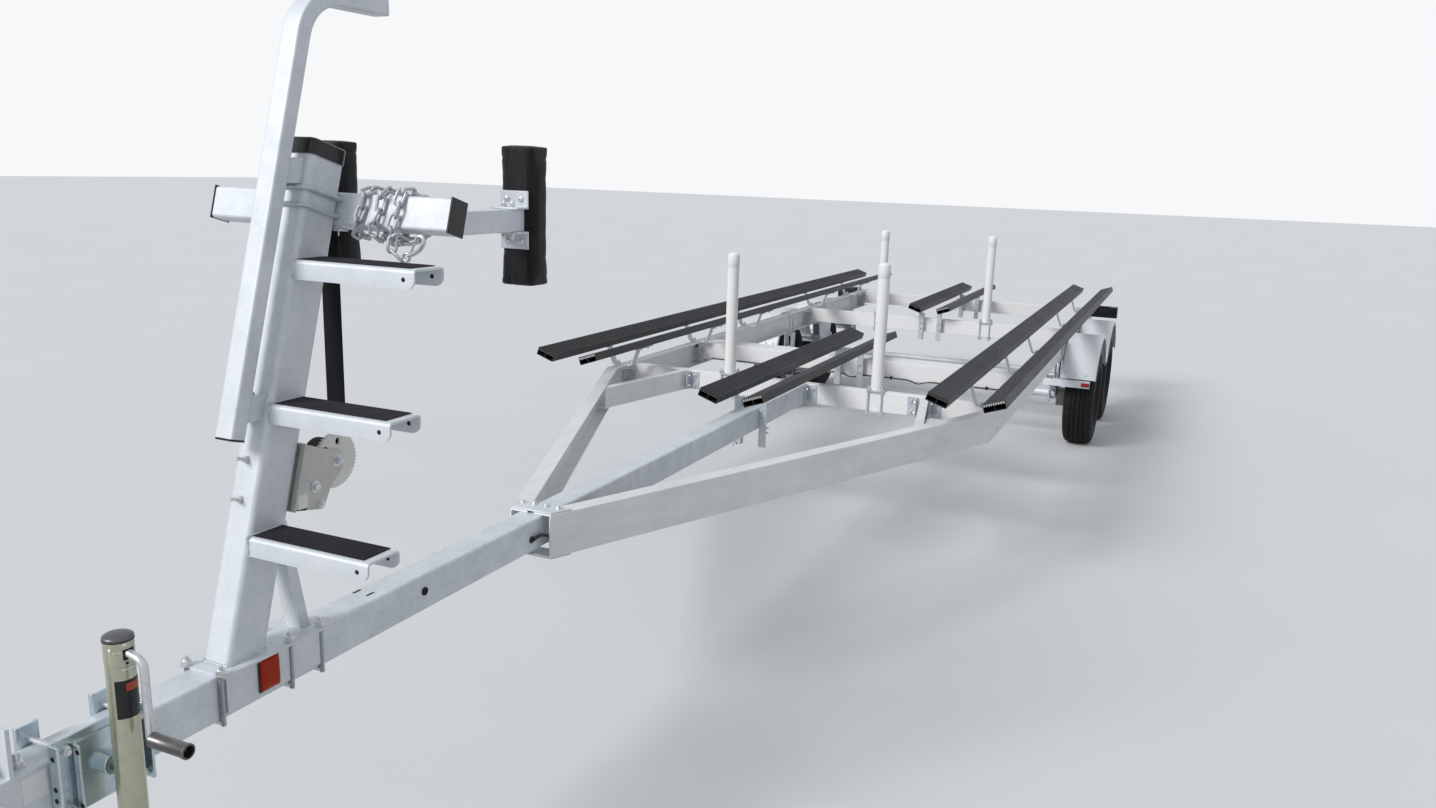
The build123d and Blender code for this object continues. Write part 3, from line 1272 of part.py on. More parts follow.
add("post_saddle", [saddle(), post_strut()])
add("winch_post", winch_post())
add("end_caps", [post_cap()] + bow_caps())
add("steps", [step(z) for z in STEP_HEIGHTS])
add("step_treads", [tread(z) for z in STEP_HEIGHTS])
add("handrail", handrail())
add("bow_crossbar", bow_crossbar())
add("bow_ubolts", bow_ubolts())
add("pad_arms", pad_arms() + pad_brackets())
add("bow_pads", both_sides([bow_pad()]))
add("winch_frame", winch_frame())
add("winch_drum", winch_drum())
add("winch_crank", winch_crank())
add("winch_strap", winch_strap())
add("bow_chain", bow_chain())

add("jack_bracket", jack_bracket())
add("jack_tube", jack_tube())
add("jack_cap", jack_cap())
add("jack_crank", jack_crank())
add("jack_leg", jack_leg())
add("marker_lamps", marker_lamps())
add("tail_lamps", tail_lamps())

os.makedirs("parts", exist_ok=True)
for part_name, part_solids in PARTS.items():
    found = []
    for piece in part_solids:
        found += piece.solids()
    export_step(Compound(found), os.path.join("parts", part_name + ".step"))
print("sub-parts:", len(PARTS))
print("hubs:", [(round(at(place), 2), HUB_Z) for place in AXLE_STATIONS.values()])
print("jack:", round(at(JACK_STATION), 2), JACK_Y, JACK_PIVOT_Z)
print("ball:", round(at(0), 2), 0, BALL_Z)
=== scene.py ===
"""Looks of a tandem axle bunk trailer for a pontoon boat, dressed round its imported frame.

Lengths are metres in the frame of the CAD: +X points forward to the coupler, +Y to the port side and
+Z up. Places along the trailer are stations, the distance behind the centre of the hitch ball.
"""
import json
import logging
import math
from collections.abc import Callable, Iterable, Sequence
from dataclasses import dataclass
from enum import Enum
from typing import Union

import bmesh
import bpy
import numpy as np
from mathutils import Matrix, Vector
from mathutils.geometry import tessellate_polygon

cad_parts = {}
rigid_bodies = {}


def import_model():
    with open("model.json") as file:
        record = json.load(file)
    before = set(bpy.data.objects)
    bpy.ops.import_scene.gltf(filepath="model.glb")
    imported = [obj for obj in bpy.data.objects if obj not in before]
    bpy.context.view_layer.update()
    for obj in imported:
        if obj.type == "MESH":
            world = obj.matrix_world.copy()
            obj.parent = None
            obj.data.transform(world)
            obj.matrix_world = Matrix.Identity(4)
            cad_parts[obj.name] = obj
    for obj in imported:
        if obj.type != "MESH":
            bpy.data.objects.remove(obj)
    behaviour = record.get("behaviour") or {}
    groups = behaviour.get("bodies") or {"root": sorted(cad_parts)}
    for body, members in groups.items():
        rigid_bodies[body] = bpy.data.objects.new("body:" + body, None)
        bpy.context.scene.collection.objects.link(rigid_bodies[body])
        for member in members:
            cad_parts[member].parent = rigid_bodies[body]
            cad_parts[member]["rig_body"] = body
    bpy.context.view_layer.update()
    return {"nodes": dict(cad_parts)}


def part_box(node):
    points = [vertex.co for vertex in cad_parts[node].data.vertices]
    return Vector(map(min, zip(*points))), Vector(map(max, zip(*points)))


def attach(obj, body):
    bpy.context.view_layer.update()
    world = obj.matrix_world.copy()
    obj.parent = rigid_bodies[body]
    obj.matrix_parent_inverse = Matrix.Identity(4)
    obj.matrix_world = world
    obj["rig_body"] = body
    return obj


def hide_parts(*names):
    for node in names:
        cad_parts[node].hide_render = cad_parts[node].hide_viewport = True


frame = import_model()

LOG = logging.getLogger("trailer")

Part = tuple[np.ndarray, list[np.ndarray]]
Triple = tuple[float, float, float]
Points = Sequence[Sequence[float]]
Object, Node, Socket, Tree = bpy.types.Object, bpy.types.Node, bpy.types.NodeSocket, bpy.types.NodeTree
Value = Union[Socket, float, Sequence[float]]
SIDES = (1, -1)
TURN = 2 * math.pi


# Sizes that several sub-assemblies share


@dataclass(frozen=True)
class Layout:
    """Places and heights that the sub-assemblies share, in metres."""

    ball_x: float = 4.534
    frame_top: float = 0.777
    sheet_top: float = 0.771
    seat: float = 0.0003
    rail_out: float = 1.02
    rail_h: float = 0.14
    beam_h: float = 0.102
    tongue_half: float = 0.044
    tongue_h: float = 0.1
    hub_z: float = 0.332
    axle_stations: tuple[float, float] = (7.175, 8.054)
    cross_stations: tuple[float, ...] = (4.395, 5.284, 7.322, 8.795)
    post_station: float = 0.8
    lean: float = math.radians(16)
    post_x: float = 0.102
    post_y: float = 0.076
    bow_z: float = 1.72
    bow_depth: float = 0.051
    bow_height: float = 0.076

    def at(self, station: float) -> float:
        """Returns the X of a station behind the ball."""
        return self.ball_x - station

    @property
    def base_top(self) -> float:
        """The height of the saddle's top, which the post stands on."""
        return self.sheet_top + self.seat + 0.006

    @property
    def beam_low(self) -> float:
        """The height of the crossmembers' underside."""
        return self.sheet_top - self.beam_h

    @property
    def lean_c(self) -> float:
        """The cosine of the post's lean."""
        return math.cos(self.lean)

    @property
    def lean_s(self) -> float:
        """The sine of the post's lean."""
        return math.sin(self.lean)

    def post_axis(self, z: float, offset: float = 0.0) -> float:
        """Returns the X of the leaning post's axis at a height, moved square to it by an offset."""
        return self.at(self.post_station) - (z - self.base_top) * math.tan(self.lean) + offset / self.lean_c


LAY = Layout()


# Shapes, worked out as whole arrays


def unit(vectors: np.ndarray) -> np.ndarray:
    """Returns each vector divided by its own length."""
    return vectors / np.maximum(np.linalg.norm(vectors, axis=-1, keepdims=True), 1e-12)


@dataclass(frozen=True)
class Place:
    """A spot with its own three axes, in which a shape is drawn before it is put there."""

    origin: Sequence[float] = (0.0, 0.0, 0.0)
    x: Sequence[float] = (1.0, 0.0, 0.0)
    y: Sequence[float] = (0.0, 1.0, 0.0)
    z: Sequence[float] = (0.0, 0.0, 1.0)

    def put(self, points: np.ndarray) -> np.ndarray:
        """Moves points from the place's own axes into the frame: origin + px x + py y + pz z.

        Args:
            points: An array whose last axis holds the three coordinates.

        Returns:
            The points in the frame, in the same layout.
        """
        return np.asarray(self.origin, float) + np.asarray(points, float) @ np.array([self.x, self.y, self.z], float)

    def moved(self, dx: float = 0.0, dy: float = 0.0, dz: float = 0.0) -> "Place":
        """Returns the same axes at a spot moved along them."""
        return Place(self.put(np.array([dx, dy, dz])), self.x, self.y, self.z)


def facing(origin: Sequence[float], direction: Sequence[float]) -> Place:
    """Makes a place whose Z looks in a direction.

    Args:
        origin: The spot itself.
        direction: Where the Z axis points.

    Returns:
        The place.
    """
    z = unit(np.asarray(direction, float))
    helper = np.array([0.0, 0.0, 1.0]) if abs(z[2]) < 0.9 else np.array([1.0, 0.0, 0.0])
    x = unit(np.cross(helper, z))
    return Place(origin, x, np.cross(z, x), z)


def lean_place(origin: Sequence[float]) -> Place:
    """Returns a place whose Z runs up along the leaning post."""
    c, s = LAY.lean_c, LAY.lean_s
    return Place(origin, (c, 0, s), (0, 1, 0), (-s, 0, c))


BOW = lean_place((LAY.post_axis(LAY.bow_z, -(LAY.post_x / 2 + LAY.seat + LAY.bow_depth / 2)), 0.0, LAY.bow_z))
LYING = Place(x=(1, 0, 0), y=(0, 0, 1), z=(0, -1, 0))


def woven(net: np.ndarray, wrap: bool = True, closed: bool = False, capped: bool = True) -> Part:
    """Joins a net of rows of points with four-sided faces.

    Args:
        net: An array of rows by columns by three.
        wrap: Whether each row is a ring.
        closed: Whether the last row joins the first.
        capped: Whether the first and last rings are filled.

    Returns:
        The points and the faces.
    """
    rows, columns = net.shape[:2]
    index = np.arange(rows * columns).reshape(rows, columns)
    if closed:
        index = np.vstack([index, index[:1]])
    here, there = (index, np.roll(index, -1, 1)) if wrap else (index[:, :-1], index[:, 1:])
    quads = np.stack([here[:-1], there[:-1], there[1:], here[1:]], -1).reshape(-1, 4)
    faces = [quads]
    if capped and wrap and not closed:
        faces += [index[0][None, ::-1], index[-1][None]]
    return net.reshape(-1, 3), faces


def swept(radius: np.ndarray, height: np.ndarray, angle: np.ndarray) -> np.ndarray:
    """Returns the net of points (radius cos angle, radius sin angle, height), with a row for each radius."""
    return np.stack(np.broadcast_arrays(radius * np.cos(angle), radius * np.sin(angle), height), -1)


def turned(profile: Sequence[tuple[float, float]], place: Place, sides: int = 32, closed: bool = False) -> Part:
    """Turns a profile about the place's Z: each point goes to radius cos, radius sin, height.

    Args:
        profile: Pairs of radius and height.
        place: Where the axis is.
        sides: How many steps the turn has.
        closed: Whether the profile is a ring of its own, as a tyre's is.

    Returns:
        The points and the faces.
    """
    radius, height = np.asarray(profile, float).T[:, :, None]
    net = swept(radius, height, np.linspace(0, TURN, sides, endpoint=False))
    return woven(place.put(net), closed=closed, capped=not closed)


def shade_spot(radius: float, place: Place, sides: int) -> Part:
    """Returns a thin round patch of painted shade that stands for the inside of a drilled hole."""
    return turned([(radius, 0), (radius, 0.0003), (0.0004, 0.0003)], place, sides)


def slab(outline: Points, place: Place, depth: float, holes: Iterable[np.ndarray] = ()) -> Part:
    """Gives an outline a thickness, with holes through it.

    Args:
        outline: Corners in the place's X and Y.
        place: The place of the outline; the thickness runs along its Z.
        depth: The thickness.
        holes: Outlines of the holes.

    Returns:
        The points and the faces: two flat sides, and a wall of quads along each loop.
    """
    loops = [np.asarray(outline, float)] + [np.asarray(hole, float) for hole in holes]
    flat = np.concatenate(loops)
    count = len(flat)
    both = np.concatenate([np.c_[flat, np.zeros(count)], np.c_[flat, np.full(count, depth)]])
    starts = np.cumsum([0] + [len(loop) for loop in loops])
    faces = []
    for start, loop in zip(starts, loops):
        here = np.arange(len(loop)) + start
        there = np.roll(here, -1)
        faces.append(np.stack([here, there, there + count, here + count], -1))
    if len(loops) > 1:
        lines = [[Vector((x, y, 0)) for x, y in loop] for loop in loops]
        triangles = np.array(tessellate_polygon(lines))
        faces += [triangles, triangles[:, ::-1] + count]
    else:
        ring = np.arange(count)[None]
        faces += [ring[:, ::-1], ring + count]
    return place.put(both), faces


def block(low: Sequence[float], high: Sequence[float], place: Place = Place()) -> Part:
    """Makes a block between two corners, given in a place's own axes.

    Args:
        low: The lowest corner.
        high: The highest corner.
        place: The place of the axes.

    Returns:
        The points and the faces.
    """
    x0, y0, z0 = low
    x1, y1, z1 = high
    return slab([(x0, y0), (x1, y0), (x1, y1), (x0, y1)], place.moved(dz=z0), z1 - z0)


def rectangle(x: float, y: float, half_x: float, half_y: float) -> list[tuple[float, float]]:
    """Returns the outline of a rectangle about a point."""
    return [(x - half_x, y - half_y), (x + half_x, y - half_y), (x + half_x, y + half_y), (x - half_x, y + half_y)]


def circle(x: float, y: float, radius: float, sides: int = 20) -> np.ndarray:
    """Returns the outline of a circle about a point."""
    angle = np.linspace(0, TURN, sides, endpoint=False)
    return np.stack([x + radius * np.cos(angle), y + radius * np.sin(angle)], -1)


def softened(corners: Points, reach: Union[float, Sequence[float]], steps: int = 5) -> np.ndarray:
    """Rounds the corners of a closed outline.

    Each corner P between its neighbours A and B becomes the curve (1-s)^2 a + 2s(1-s) P + s^2 b, where a
    and b lie the reach away from P towards A and B.

    Args:
        corners: The outline's corners.
        reach: How far from each corner its curve starts, one for all or one each.
        steps: Points on each curve.

    Returns:
        The outline's points.
    """
    corner = np.asarray(corners, float)
    before, after = np.roll(corner, 1, 0) - corner, np.roll(corner, -1, 0) - corner
    room = 0.49 * np.minimum(np.linalg.norm(before, axis=1), np.linalg.norm(after, axis=1))
    away = np.minimum(np.broadcast_to(reach, len(corner)), room)[:, None]
    start, end = corner + unit(before) * away, corner + unit(after) * away
    s = np.linspace(0, 1, steps)[None, :, None]
    curve = (1 - s) ** 2 * start[:, None] + 2 * s * (1 - s) * corner[:, None] + s ** 2 * end[:, None]
    return curve.reshape(-1, corner.shape[1])


def bent(points: Points, reach: float, steps: int = 7) -> np.ndarray:
    """Rounds the inner corners of an open line of a rigid bar, by the same curve as softened.

    Args:
        points: The line's corners.
        reach: How far from each corner its bend starts.
        steps: Points on each bend.

    Returns:
        The line's points.
    """
    line = np.asarray(points, float)
    if len(line) == 2:
        return line
    curves = softened(line, reach, steps).reshape(len(line), steps, -1)
    return np.concatenate([line[:1], curves[1:-1].reshape(-1, line.shape[1]), line[-1:]])


def carried(profile: np.ndarray, path: np.ndarray, up: Sequence[float], closed: bool = False) -> Part:
    """Carries a closed profile along a path: path + px side + py top at each of the path's points.

    Args:
        profile: The section, as pairs of side and top.
        path: The path's points.
        up: A direction that the path never runs along.
        closed: Whether the path's end joins its start.

    Returns:
        The points and the faces.
    """
    path = np.asarray(path, float)
    ahead = np.roll(path, -1, 0) - np.roll(path, 1, 0) if closed else np.gradient(path, axis=0)
    ahead = unit(ahead)
    side = unit(np.cross(ahead, np.broadcast_to(np.asarray(up, float), path.shape)))
    top = np.cross(side, ahead)
    profile = np.asarray(profile, float)
    net = path[:, None] + profile[None, :, :1] * side[:, None] + profile[None, :, 1:] * top[:, None]
    return woven(net, closed=closed, capped=not closed)


def softened_line(points: Points, steps: int = 120) -> np.ndarray:
    """Returns a smooth curve through points: the uniform Catmull-Rom cubic of each run, for rigid wires and chains.

    Args:
        points: The points that the curve passes through.
        steps: How many points the curve has.

    Returns:
        The curve's points.
    """
    line = np.asarray(points, float)
    held = np.concatenate([2 * line[:1] - line[1:2], line, 2 * line[-1:] - line[-2:-1]])
    place = np.linspace(0, len(line) - 1, steps)
    index = np.minimum(place.astype(int), len(line) - 2)
    t = (place - index)[:, None]
    a, b, c, d = (held[index + shift] for shift in range(4))
    return 0.5 * (2 * b + (c - a) * t + (2 * a - 5 * b + 4 * c - d) * t ** 2 + (3 * b - a - 3 * c + d) * t ** 3)


def rod(path: Points, radius: float, up: Sequence[float], sides: int = 12, closed: bool = False) -> Part:
    """Returns a round bar along a path."""
    return carried(circle(0, 0, radius, sides), np.asarray(path, float), up, closed)


def distances(line: np.ndarray) -> np.ndarray:
    """Returns how far along a line each of its points lies."""
    return np.r_[0, np.cumsum(np.linalg.norm(np.diff(line, axis=0), axis=1))]


def spots_at(line: np.ndarray, where: np.ndarray) -> np.ndarray:
    """Returns the points at given distances along a line."""
    run = distances(line)
    return np.stack([np.interp(where, run, line[:, axis]) for axis in range(3)], -1)


def weld(path: Points, radius: float, up: Sequence[float]) -> Part:
    """Returns a rippled weld bead along a line: a round bar whose radius swells at each ripple.

    Args:
        path: The line's corners.
        radius: The bead's mean radius.
        up: A direction that the line never runs along.

    Returns:
        The points and the faces.
    """
    line = np.asarray(path, float)
    length = distances(line)[-1]
    steps = max(int(length / 0.0022), 4)
    points = spots_at(line, np.linspace(0, length, steps))
    swell = radius * (1 + 0.2 * np.sin(np.arange(steps) * TURN / 3) + 0.1 * np.sin(np.arange(steps) * 0.73))
    ahead = unit(np.gradient(points, axis=0))
    side = unit(np.cross(ahead, np.asarray(up, float)))
    top = np.cross(side, ahead)
    ring = circle(0, 0, 1.0, 8)
    spread = ring[None, :, :1] * side[:, None] + ring[None, :, 1:] * top[:, None]
    return woven(points[:, None] + swell[:, None, None] * spread)


def mirrored(part: Part) -> Part:
    """Returns the part's mirror image across the trailer's middle."""
    points, faces = part
    return np.asarray(points) * (1, -1, 1), faces


class Head(Enum):
    """The kinds of fastener that show on the trailer."""

    HEX = "hex"
    STUD = "stud"
    ROUND = "round"


def fastener(place: Place, across: float = 0.013, kind: Head = Head.HEX, stud: float = 0.0) -> list[Part]:
    """Makes a fastener's head or nut on its washer, and the bolt's end beyond it.

    Args:
        place: The spot on the surface, with Z looking out.
        across: The width over the flats.
        kind: A plain hexagon head, a nut with its bolt's end, or a rounded head.
        stud: How far the bolt's end stands out beyond the nut.

    Returns:
        The parts.
    """
    rim = across * (0.66 if kind is Head.STUD else 0.9)
    washer = turned([(across * 0.3, 0.0), (rim, 0.0), (rim, across * 0.12), (across * 0.3, across * 0.12)], place, 14)
    if kind is Head.ROUND:
        dome = [(across * 0.62, 0.0), (across * 0.6, across * 0.2), (across * 0.4, across * 0.38),
                (across * 0.12, across * 0.44)]
        return [turned(dome, place, 14)]
    flat, high = across * 0.577, across * 0.66
    nut = turned([(flat, across * 0.1), (flat, high * 0.9), (flat * 0.88, high)], place, 6)
    parts = [washer, nut]
    if kind is Head.STUD:
        end = high + (stud or across * 0.8)
        parts.append(turned([(across * 0.3, high * 0.5), (across * 0.3, end - 0.001), (across * 0.24, end)], place, 10))
    return parts


class Shell:
    """A growing surface, kept as whole arrays of points and lists of faces."""

    def __init__(self, *parts: Part) -> None:
        """Starts with the given parts."""
        self.points: list[np.ndarray] = []
        self.faces: list[list[int]] = []
        self.count = 0
        self.take(*parts)

    def take(self, *parts: Part) -> "Shell":
        """Adds parts.

        Args:
            *parts: Points with their groups of faces.

        Returns:
            The shell itself.
        """
        for points, groups in parts:
            flat = np.asarray(points, float).reshape(-1, 3)
            self.points.append(flat)
            for group in groups:
                self.faces += (np.asarray(group) + self.count).tolist()
            self.count += len(flat)
        return self

    def both(self, *parts: Part) -> "Shell":
        """Adds parts and their mirror images across the trailer's middle."""
        return self.take(*parts, *(mirrored(part) for part in parts))

    def bolt(self, spot: Sequence[float], way: Sequence[float], across: float = 0.013, kind: Head = Head.HEX,
             stud: float = 0.0) -> None:
        """Adds a fastener at a spot, facing a direction; its measures are those of fastener."""
        self.take(*fastener(facing(spot, way), across, kind, stud))

    def pair(self, spot: Sequence[float], way: Sequence[float], across: float = 0.013, kind: Head = Head.HEX,
             stud: float = 0.0) -> None:
        """Adds a fastener as bolt does, and its mirror image."""
        self.both(*fastener(facing(spot, way), across, kind, stud))

    def part(self) -> Part:
        """Returns the whole surface as one part."""
        return np.concatenate(self.points), [np.array([face]) for face in self.faces]

    def mesh(self, name: str) -> bpy.types.Mesh:
        """Makes the Blender mesh, with doubled points merged and faces turned outwards.

        Args:
            name: The mesh's name.

        Returns:
            The mesh.
        """
        mesh = bpy.data.meshes.new(name)
        mesh.from_pydata(np.concatenate(self.points).tolist(), [], self.faces)
        tidy_mesh(mesh)
        return mesh


def tidy_mesh(mesh: bpy.types.Mesh, flat: float = 0.0) -> None:
    """Merges a mesh's doubled points, then either joins nearly flat neighbouring faces or turns its faces outwards.

    Args:
        mesh: The mesh to tidy.
        flat: An angle under which neighbouring faces are joined, or 0.
    """
    work = bmesh.new()
    work.from_mesh(mesh)
    bmesh.ops.remove_doubles(work, verts=work.verts, dist=2e-6)
    if flat:
        bmesh.ops.dissolve_limit(work, angle_limit=flat, verts=work.verts, edges=work.edges,
                                 use_dissolve_boundaries=False)
    else:
        bmesh.ops.recalc_face_normals(work, faces=work.faces)
    work.to_mesh(mesh)
    work.free()


def placed(name: str, data: bpy.types.ID) -> Object:
    """Makes an object of some data and links it to the scene.

    Args:
        name: The object's name.
        data: Its mesh, camera or light.

    Returns:
        The object.
    """
    obj = bpy.data.objects.new(name, data)
    bpy.context.scene.collection.objects.link(obj)
    return obj


def finish_edges(obj: Object, bevel: float, segments: int = 2, angle: float = 38.0) -> None:
    """Shades a piece smooth up to an angle, and rounds its sharper edges.

    Args:
        obj: The piece.
        bevel: The width of the rounding, or 0.
        segments: Steps over the rounding.
        angle: The angle from which an edge counts as sharp, in degrees.
    """
    obj.data.shade_smooth()
    obj.data.set_sharp_from_angle(angle=math.radians(angle))
    if bevel > 0:
        modifier = obj.modifiers.new("rounded_edges", "BEVEL")
        modifier.width = bevel
        modifier.segments = segments
        modifier.limit_method = "ANGLE"
        modifier.angle_limit = math.radians(angle)
        modifier.harden_normals = True
        modifier.use_clamp_overlap = True
        modifier.miter_outer = "MITER_ARC"


def show(obj: Object, finish: "Finish", body: str, replaces: Iterable[str] = ()) -> Object:
    """Gives a piece its finish, its body and the CAD nodes that it stands for.

    Args:
        obj: The piece.
        finish: Its finish.
        body: The CAD body that it rides on.
        replaces: The CAD nodes that it stands for.

    Returns:
        The piece.
    """
    obj.data.materials.clear()
    obj.data.materials.append(finish.material())
    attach(obj, body)
    if replaces:
        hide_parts(*replaces)
    LOG.info("%-28s %-22s %7d faces on %s", obj.name, finish.name, len(obj.data.polygons), body)
    return obj


def fit(name: str, shell: Shell, finish: "Finish", body: str = "trailer", bevel: float = 0.0, angle: float = 38.0,
        replaces: Iterable[str] = ()) -> Object:
    """Makes a shell into a finished piece.

    Args:
        name: The piece's name.
        shell: Its surface.
        finish: Its finish.
        body: The CAD body that it rides on.
        bevel: The width of its rounded edges, or 0.
        angle: The angle from which an edge is sharp, in degrees.
        replaces: The CAD nodes that it stands for.

    Returns:
        The piece.
    """
    obj = placed(name, shell.mesh(name))
    finish_edges(obj, bevel, angle=angle)
    return show(obj, finish, body, replaces)


def rounded(node: str, finish: "Finish", bevel: float = 0.0012, segments: int = 2, angle: float = 35.0) -> Object:
    """Stands a merged copy of a CAD node in for it, with its edges rounded.

    Args:
        node: The CAD node's name.
        finish: The copy's finish.
        bevel: The width of the rounded edges.
        segments: Steps over each rounded edge.
        angle: The angle from which an edge is rounded, in degrees.

    Returns:
        The piece.
    """
    source = frame["nodes"][node]
    mesh = source.data.copy()
    mesh.name = node + "_finished"
    tidy_mesh(mesh, math.radians(0.5))
    obj = placed(node + "_finished", mesh)
    if mesh.has_custom_normals:
        bpy.context.view_layer.objects.active = obj
        bpy.ops.mesh.customdata_custom_splitnormals_clear()
    finish_edges(obj, bevel, segments, angle)
    if bevel == 0:
        obj.modifiers.new("even_normals", "WEIGHTED_NORMAL").keep_sharp = True
    return show(obj, finish, source["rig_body"], [node])


# Finishes


class Graph:
    """A node tree with short ways to add and join nodes."""

    def __init__(self, tree: Tree) -> None:
        """Keeps the tree, emptied."""
        self.tree = tree
        tree.nodes.clear()

    def add(self, kind: str, inputs: dict[Union[str, int], Value] | None = None, **settings: object) -> Node:
        """Adds a node.

        Args:
            kind: The node's Blender type; shader nodes go without their prefix.
            inputs: Values or sockets for its inputs, by name or number.
            **settings: The node's own settings.

        Returns:
            The node.
        """
        node = self.tree.nodes.new(kind if kind.startswith("Node") else "ShaderNode" + kind)
        for key, value in settings.items():
            setattr(node, key, value)
        for key, value in (inputs or {}).items():
            self.put(node.inputs[key], value)
        return node

    def put(self, socket: Socket, value: Value) -> None:
        """Links a socket, or sets its value.

        Args:
            socket: The input to set.
            value: A socket to link, or a plain value.
        """
        if isinstance(value, Socket):
            self.tree.links.new(value, socket)
        elif socket.type == "RGBA" and len(value) == 3:
            socket.default_value = (*value, 1.0)
        else:
            socket.default_value = value

    def maths(self, operation: str, *values: Value) -> Socket:
        """Adds a Math node and returns its result."""
        return self.add("Math", dict(enumerate(values)), operation=operation).outputs[0]

    def total(self, *terms: tuple[Value, float]) -> Socket:
        """Returns the sum of values, each times its own weight."""
        whole = self.maths("MULTIPLY", *terms[0])
        for value, weight in terms[1:]:
            whole = self.maths("MULTIPLY_ADD", value, weight, whole)
        return whole

    def zigzag(self, value: Value, scale: float) -> Socket:
        """Returns a wave of straight lines between 0 and 0.5: |fract(value scale) - 0.5|."""
        part = self.maths("FRACT", self.maths("MULTIPLY", value, scale))
        return self.maths("ABSOLUTE", self.maths("SUBTRACT", part, 0.5))

    def noise(self, vector: Value, scale: Value, detail: float = 4.0, rough: float = 0.55) -> Socket:
        """Adds a Noise Texture and returns its value."""
        return self.add("TexNoise", {"Vector": vector, "Scale": scale, "Detail": detail,
                                     "Roughness": rough}).outputs["Fac"]

    def scaled(self, vector: Value, *scale: float) -> Socket:
        """Returns coordinates stretched along each axis."""
        return self.add("Mapping", {"Vector": vector, "Scale": scale}).outputs[0]

    def span(self, value: Value, low: float, high: float, to_low: Value = 0.0, to_high: Value = 1.0) -> Socket:
        """Adds a Map Range node, clamped, and returns its result."""
        ends = {"Value": value, "From Min": low, "From Max": high, "To Min": to_low, "To Max": to_high}
        return self.add("MapRange", ends).outputs["Result"]

    def mix(self, factor: Value, first: Value, second: Value) -> Socket:
        """Mixes two colours and returns the result."""
        return self.add("Mix", {0: factor, 6: first, 7: second}, data_type="RGBA").outputs[2]

    def upness(self) -> Socket:
        """Returns how far a face looks up, from -1 to 1."""
        normal = self.add("NewGeometry").outputs["Normal"]
        return self.add("SeparateXYZ", {"Vector": normal}).outputs[2]

    def effect(self, name: str, draw: "Draw", values: dict[str, Value]) -> Node:
        """Adds a shared node group, built the first time that it is asked for.

        Args:
            name: The group's name.
            draw: Adds the group's nodes and returns a socket for each result.
            values: A value or socket for each of its inputs.

        Returns:
            The group's node.
        """
        tree = bpy.data.node_groups.get(name)
        if tree is None:
            tree = bpy.data.node_groups.new(name, "ShaderNodeTree")
            for way, labels in (("INPUT", values), ("OUTPUT", RESULTS)):
                for label in labels:
                    tree.interface.new_socket(name=label, in_out=way, socket_type=KINDS.get(label, "NodeSocketFloat"))
            inner = Graph(tree)
            inner.add("NodeGroupOutput", dict(zip(RESULTS, draw(inner, inner.add("NodeGroupInput").outputs))))
        return self.add("Group", values, node_tree=tree)


Draw = Callable[[Graph, dict[str, Socket]], tuple[Socket, Socket, Socket]]
RESULTS = ("Color", "Roughness", "Height")
KINDS = {"Vector": "NodeSocketVector", **dict.fromkeys(("Color", "Pale", "Dark", "Dust"), "NodeSocketColor")}


def draw_spangle(graph: Graph, given: dict[str, Socket]) -> tuple[Socket, Socket, Socket]:
    """Draws hot dip zinc: crystals of slightly different greys, cloudy patches and a few runs.

    Args:
        graph: The group's node tree.
        given: The sockets of the group's inputs, by name.

    Returns:
        The colour, the roughness and the height.
    """
    vector = given["Vector"]
    crystals = graph.add("TexVoronoi", {"Vector": vector, "Scale": given["Crystals"], "Randomness": 1.0}, feature="F1")
    tone = graph.add("SeparateColor", {"Color": crystals.outputs["Color"]}).outputs[0]
    cloud = graph.noise(vector, given["Clouds"], 5.0, 0.6)
    runs = graph.noise(graph.scaled(vector, 9.0, 9.0, 1.2), 3.0, 3.0)
    fine = graph.noise(vector, 420.0, 2.0)
    mixed = graph.total((tone, 0.26), (graph.span(cloud, 0.32, 0.68), 0.5), (graph.span(runs, 0.35, 0.65), 0.16))
    rough = graph.total((given["Roughness"], 1.0), (0.08, 1.0), (mixed, -0.16))
    height = graph.total((tone, 0.12), (fine, 0.3), (cloud, 0.58))
    return graph.mix(mixed, given["Dark"], given["Pale"]), rough, height


def draw_streaks(graph: Graph, given: dict[str, Socket]) -> tuple[Socket, Socket, Socket]:
    """Draws mill finish: long fine die lines, wider bands and smudges of oxide.

    Args:
        graph: The group's node tree.
        given: The sockets of the group's inputs, by name.

    Returns:
        The colour, the roughness and the height.
    """
    vector, rough = given["Vector"], given["Roughness"]
    fine = graph.noise(graph.scaled(vector, 0.6, 60.0, 60.0), 6.0, 3.0, 0.7)
    wide = graph.noise(graph.scaled(vector, 0.35, 14.0, 14.0), 2.2, 3.0)
    smudge = graph.noise(graph.scaled(vector, 1.0, 3.0, 3.0), 2.6, 5.0, 0.6)
    mixed = graph.total((graph.span(fine, 0.3, 0.7), 0.28), (graph.span(wide, 0.3, 0.7), 0.3),
                        (graph.span(smudge, 0.36, 0.62), 0.42))
    rough = graph.span(mixed, 0.2, 0.8, graph.maths("ADD", rough, 0.07), graph.maths("SUBTRACT", rough, 0.06))
    return graph.mix(mixed, given["Dark"], given["Pale"]), rough, fine


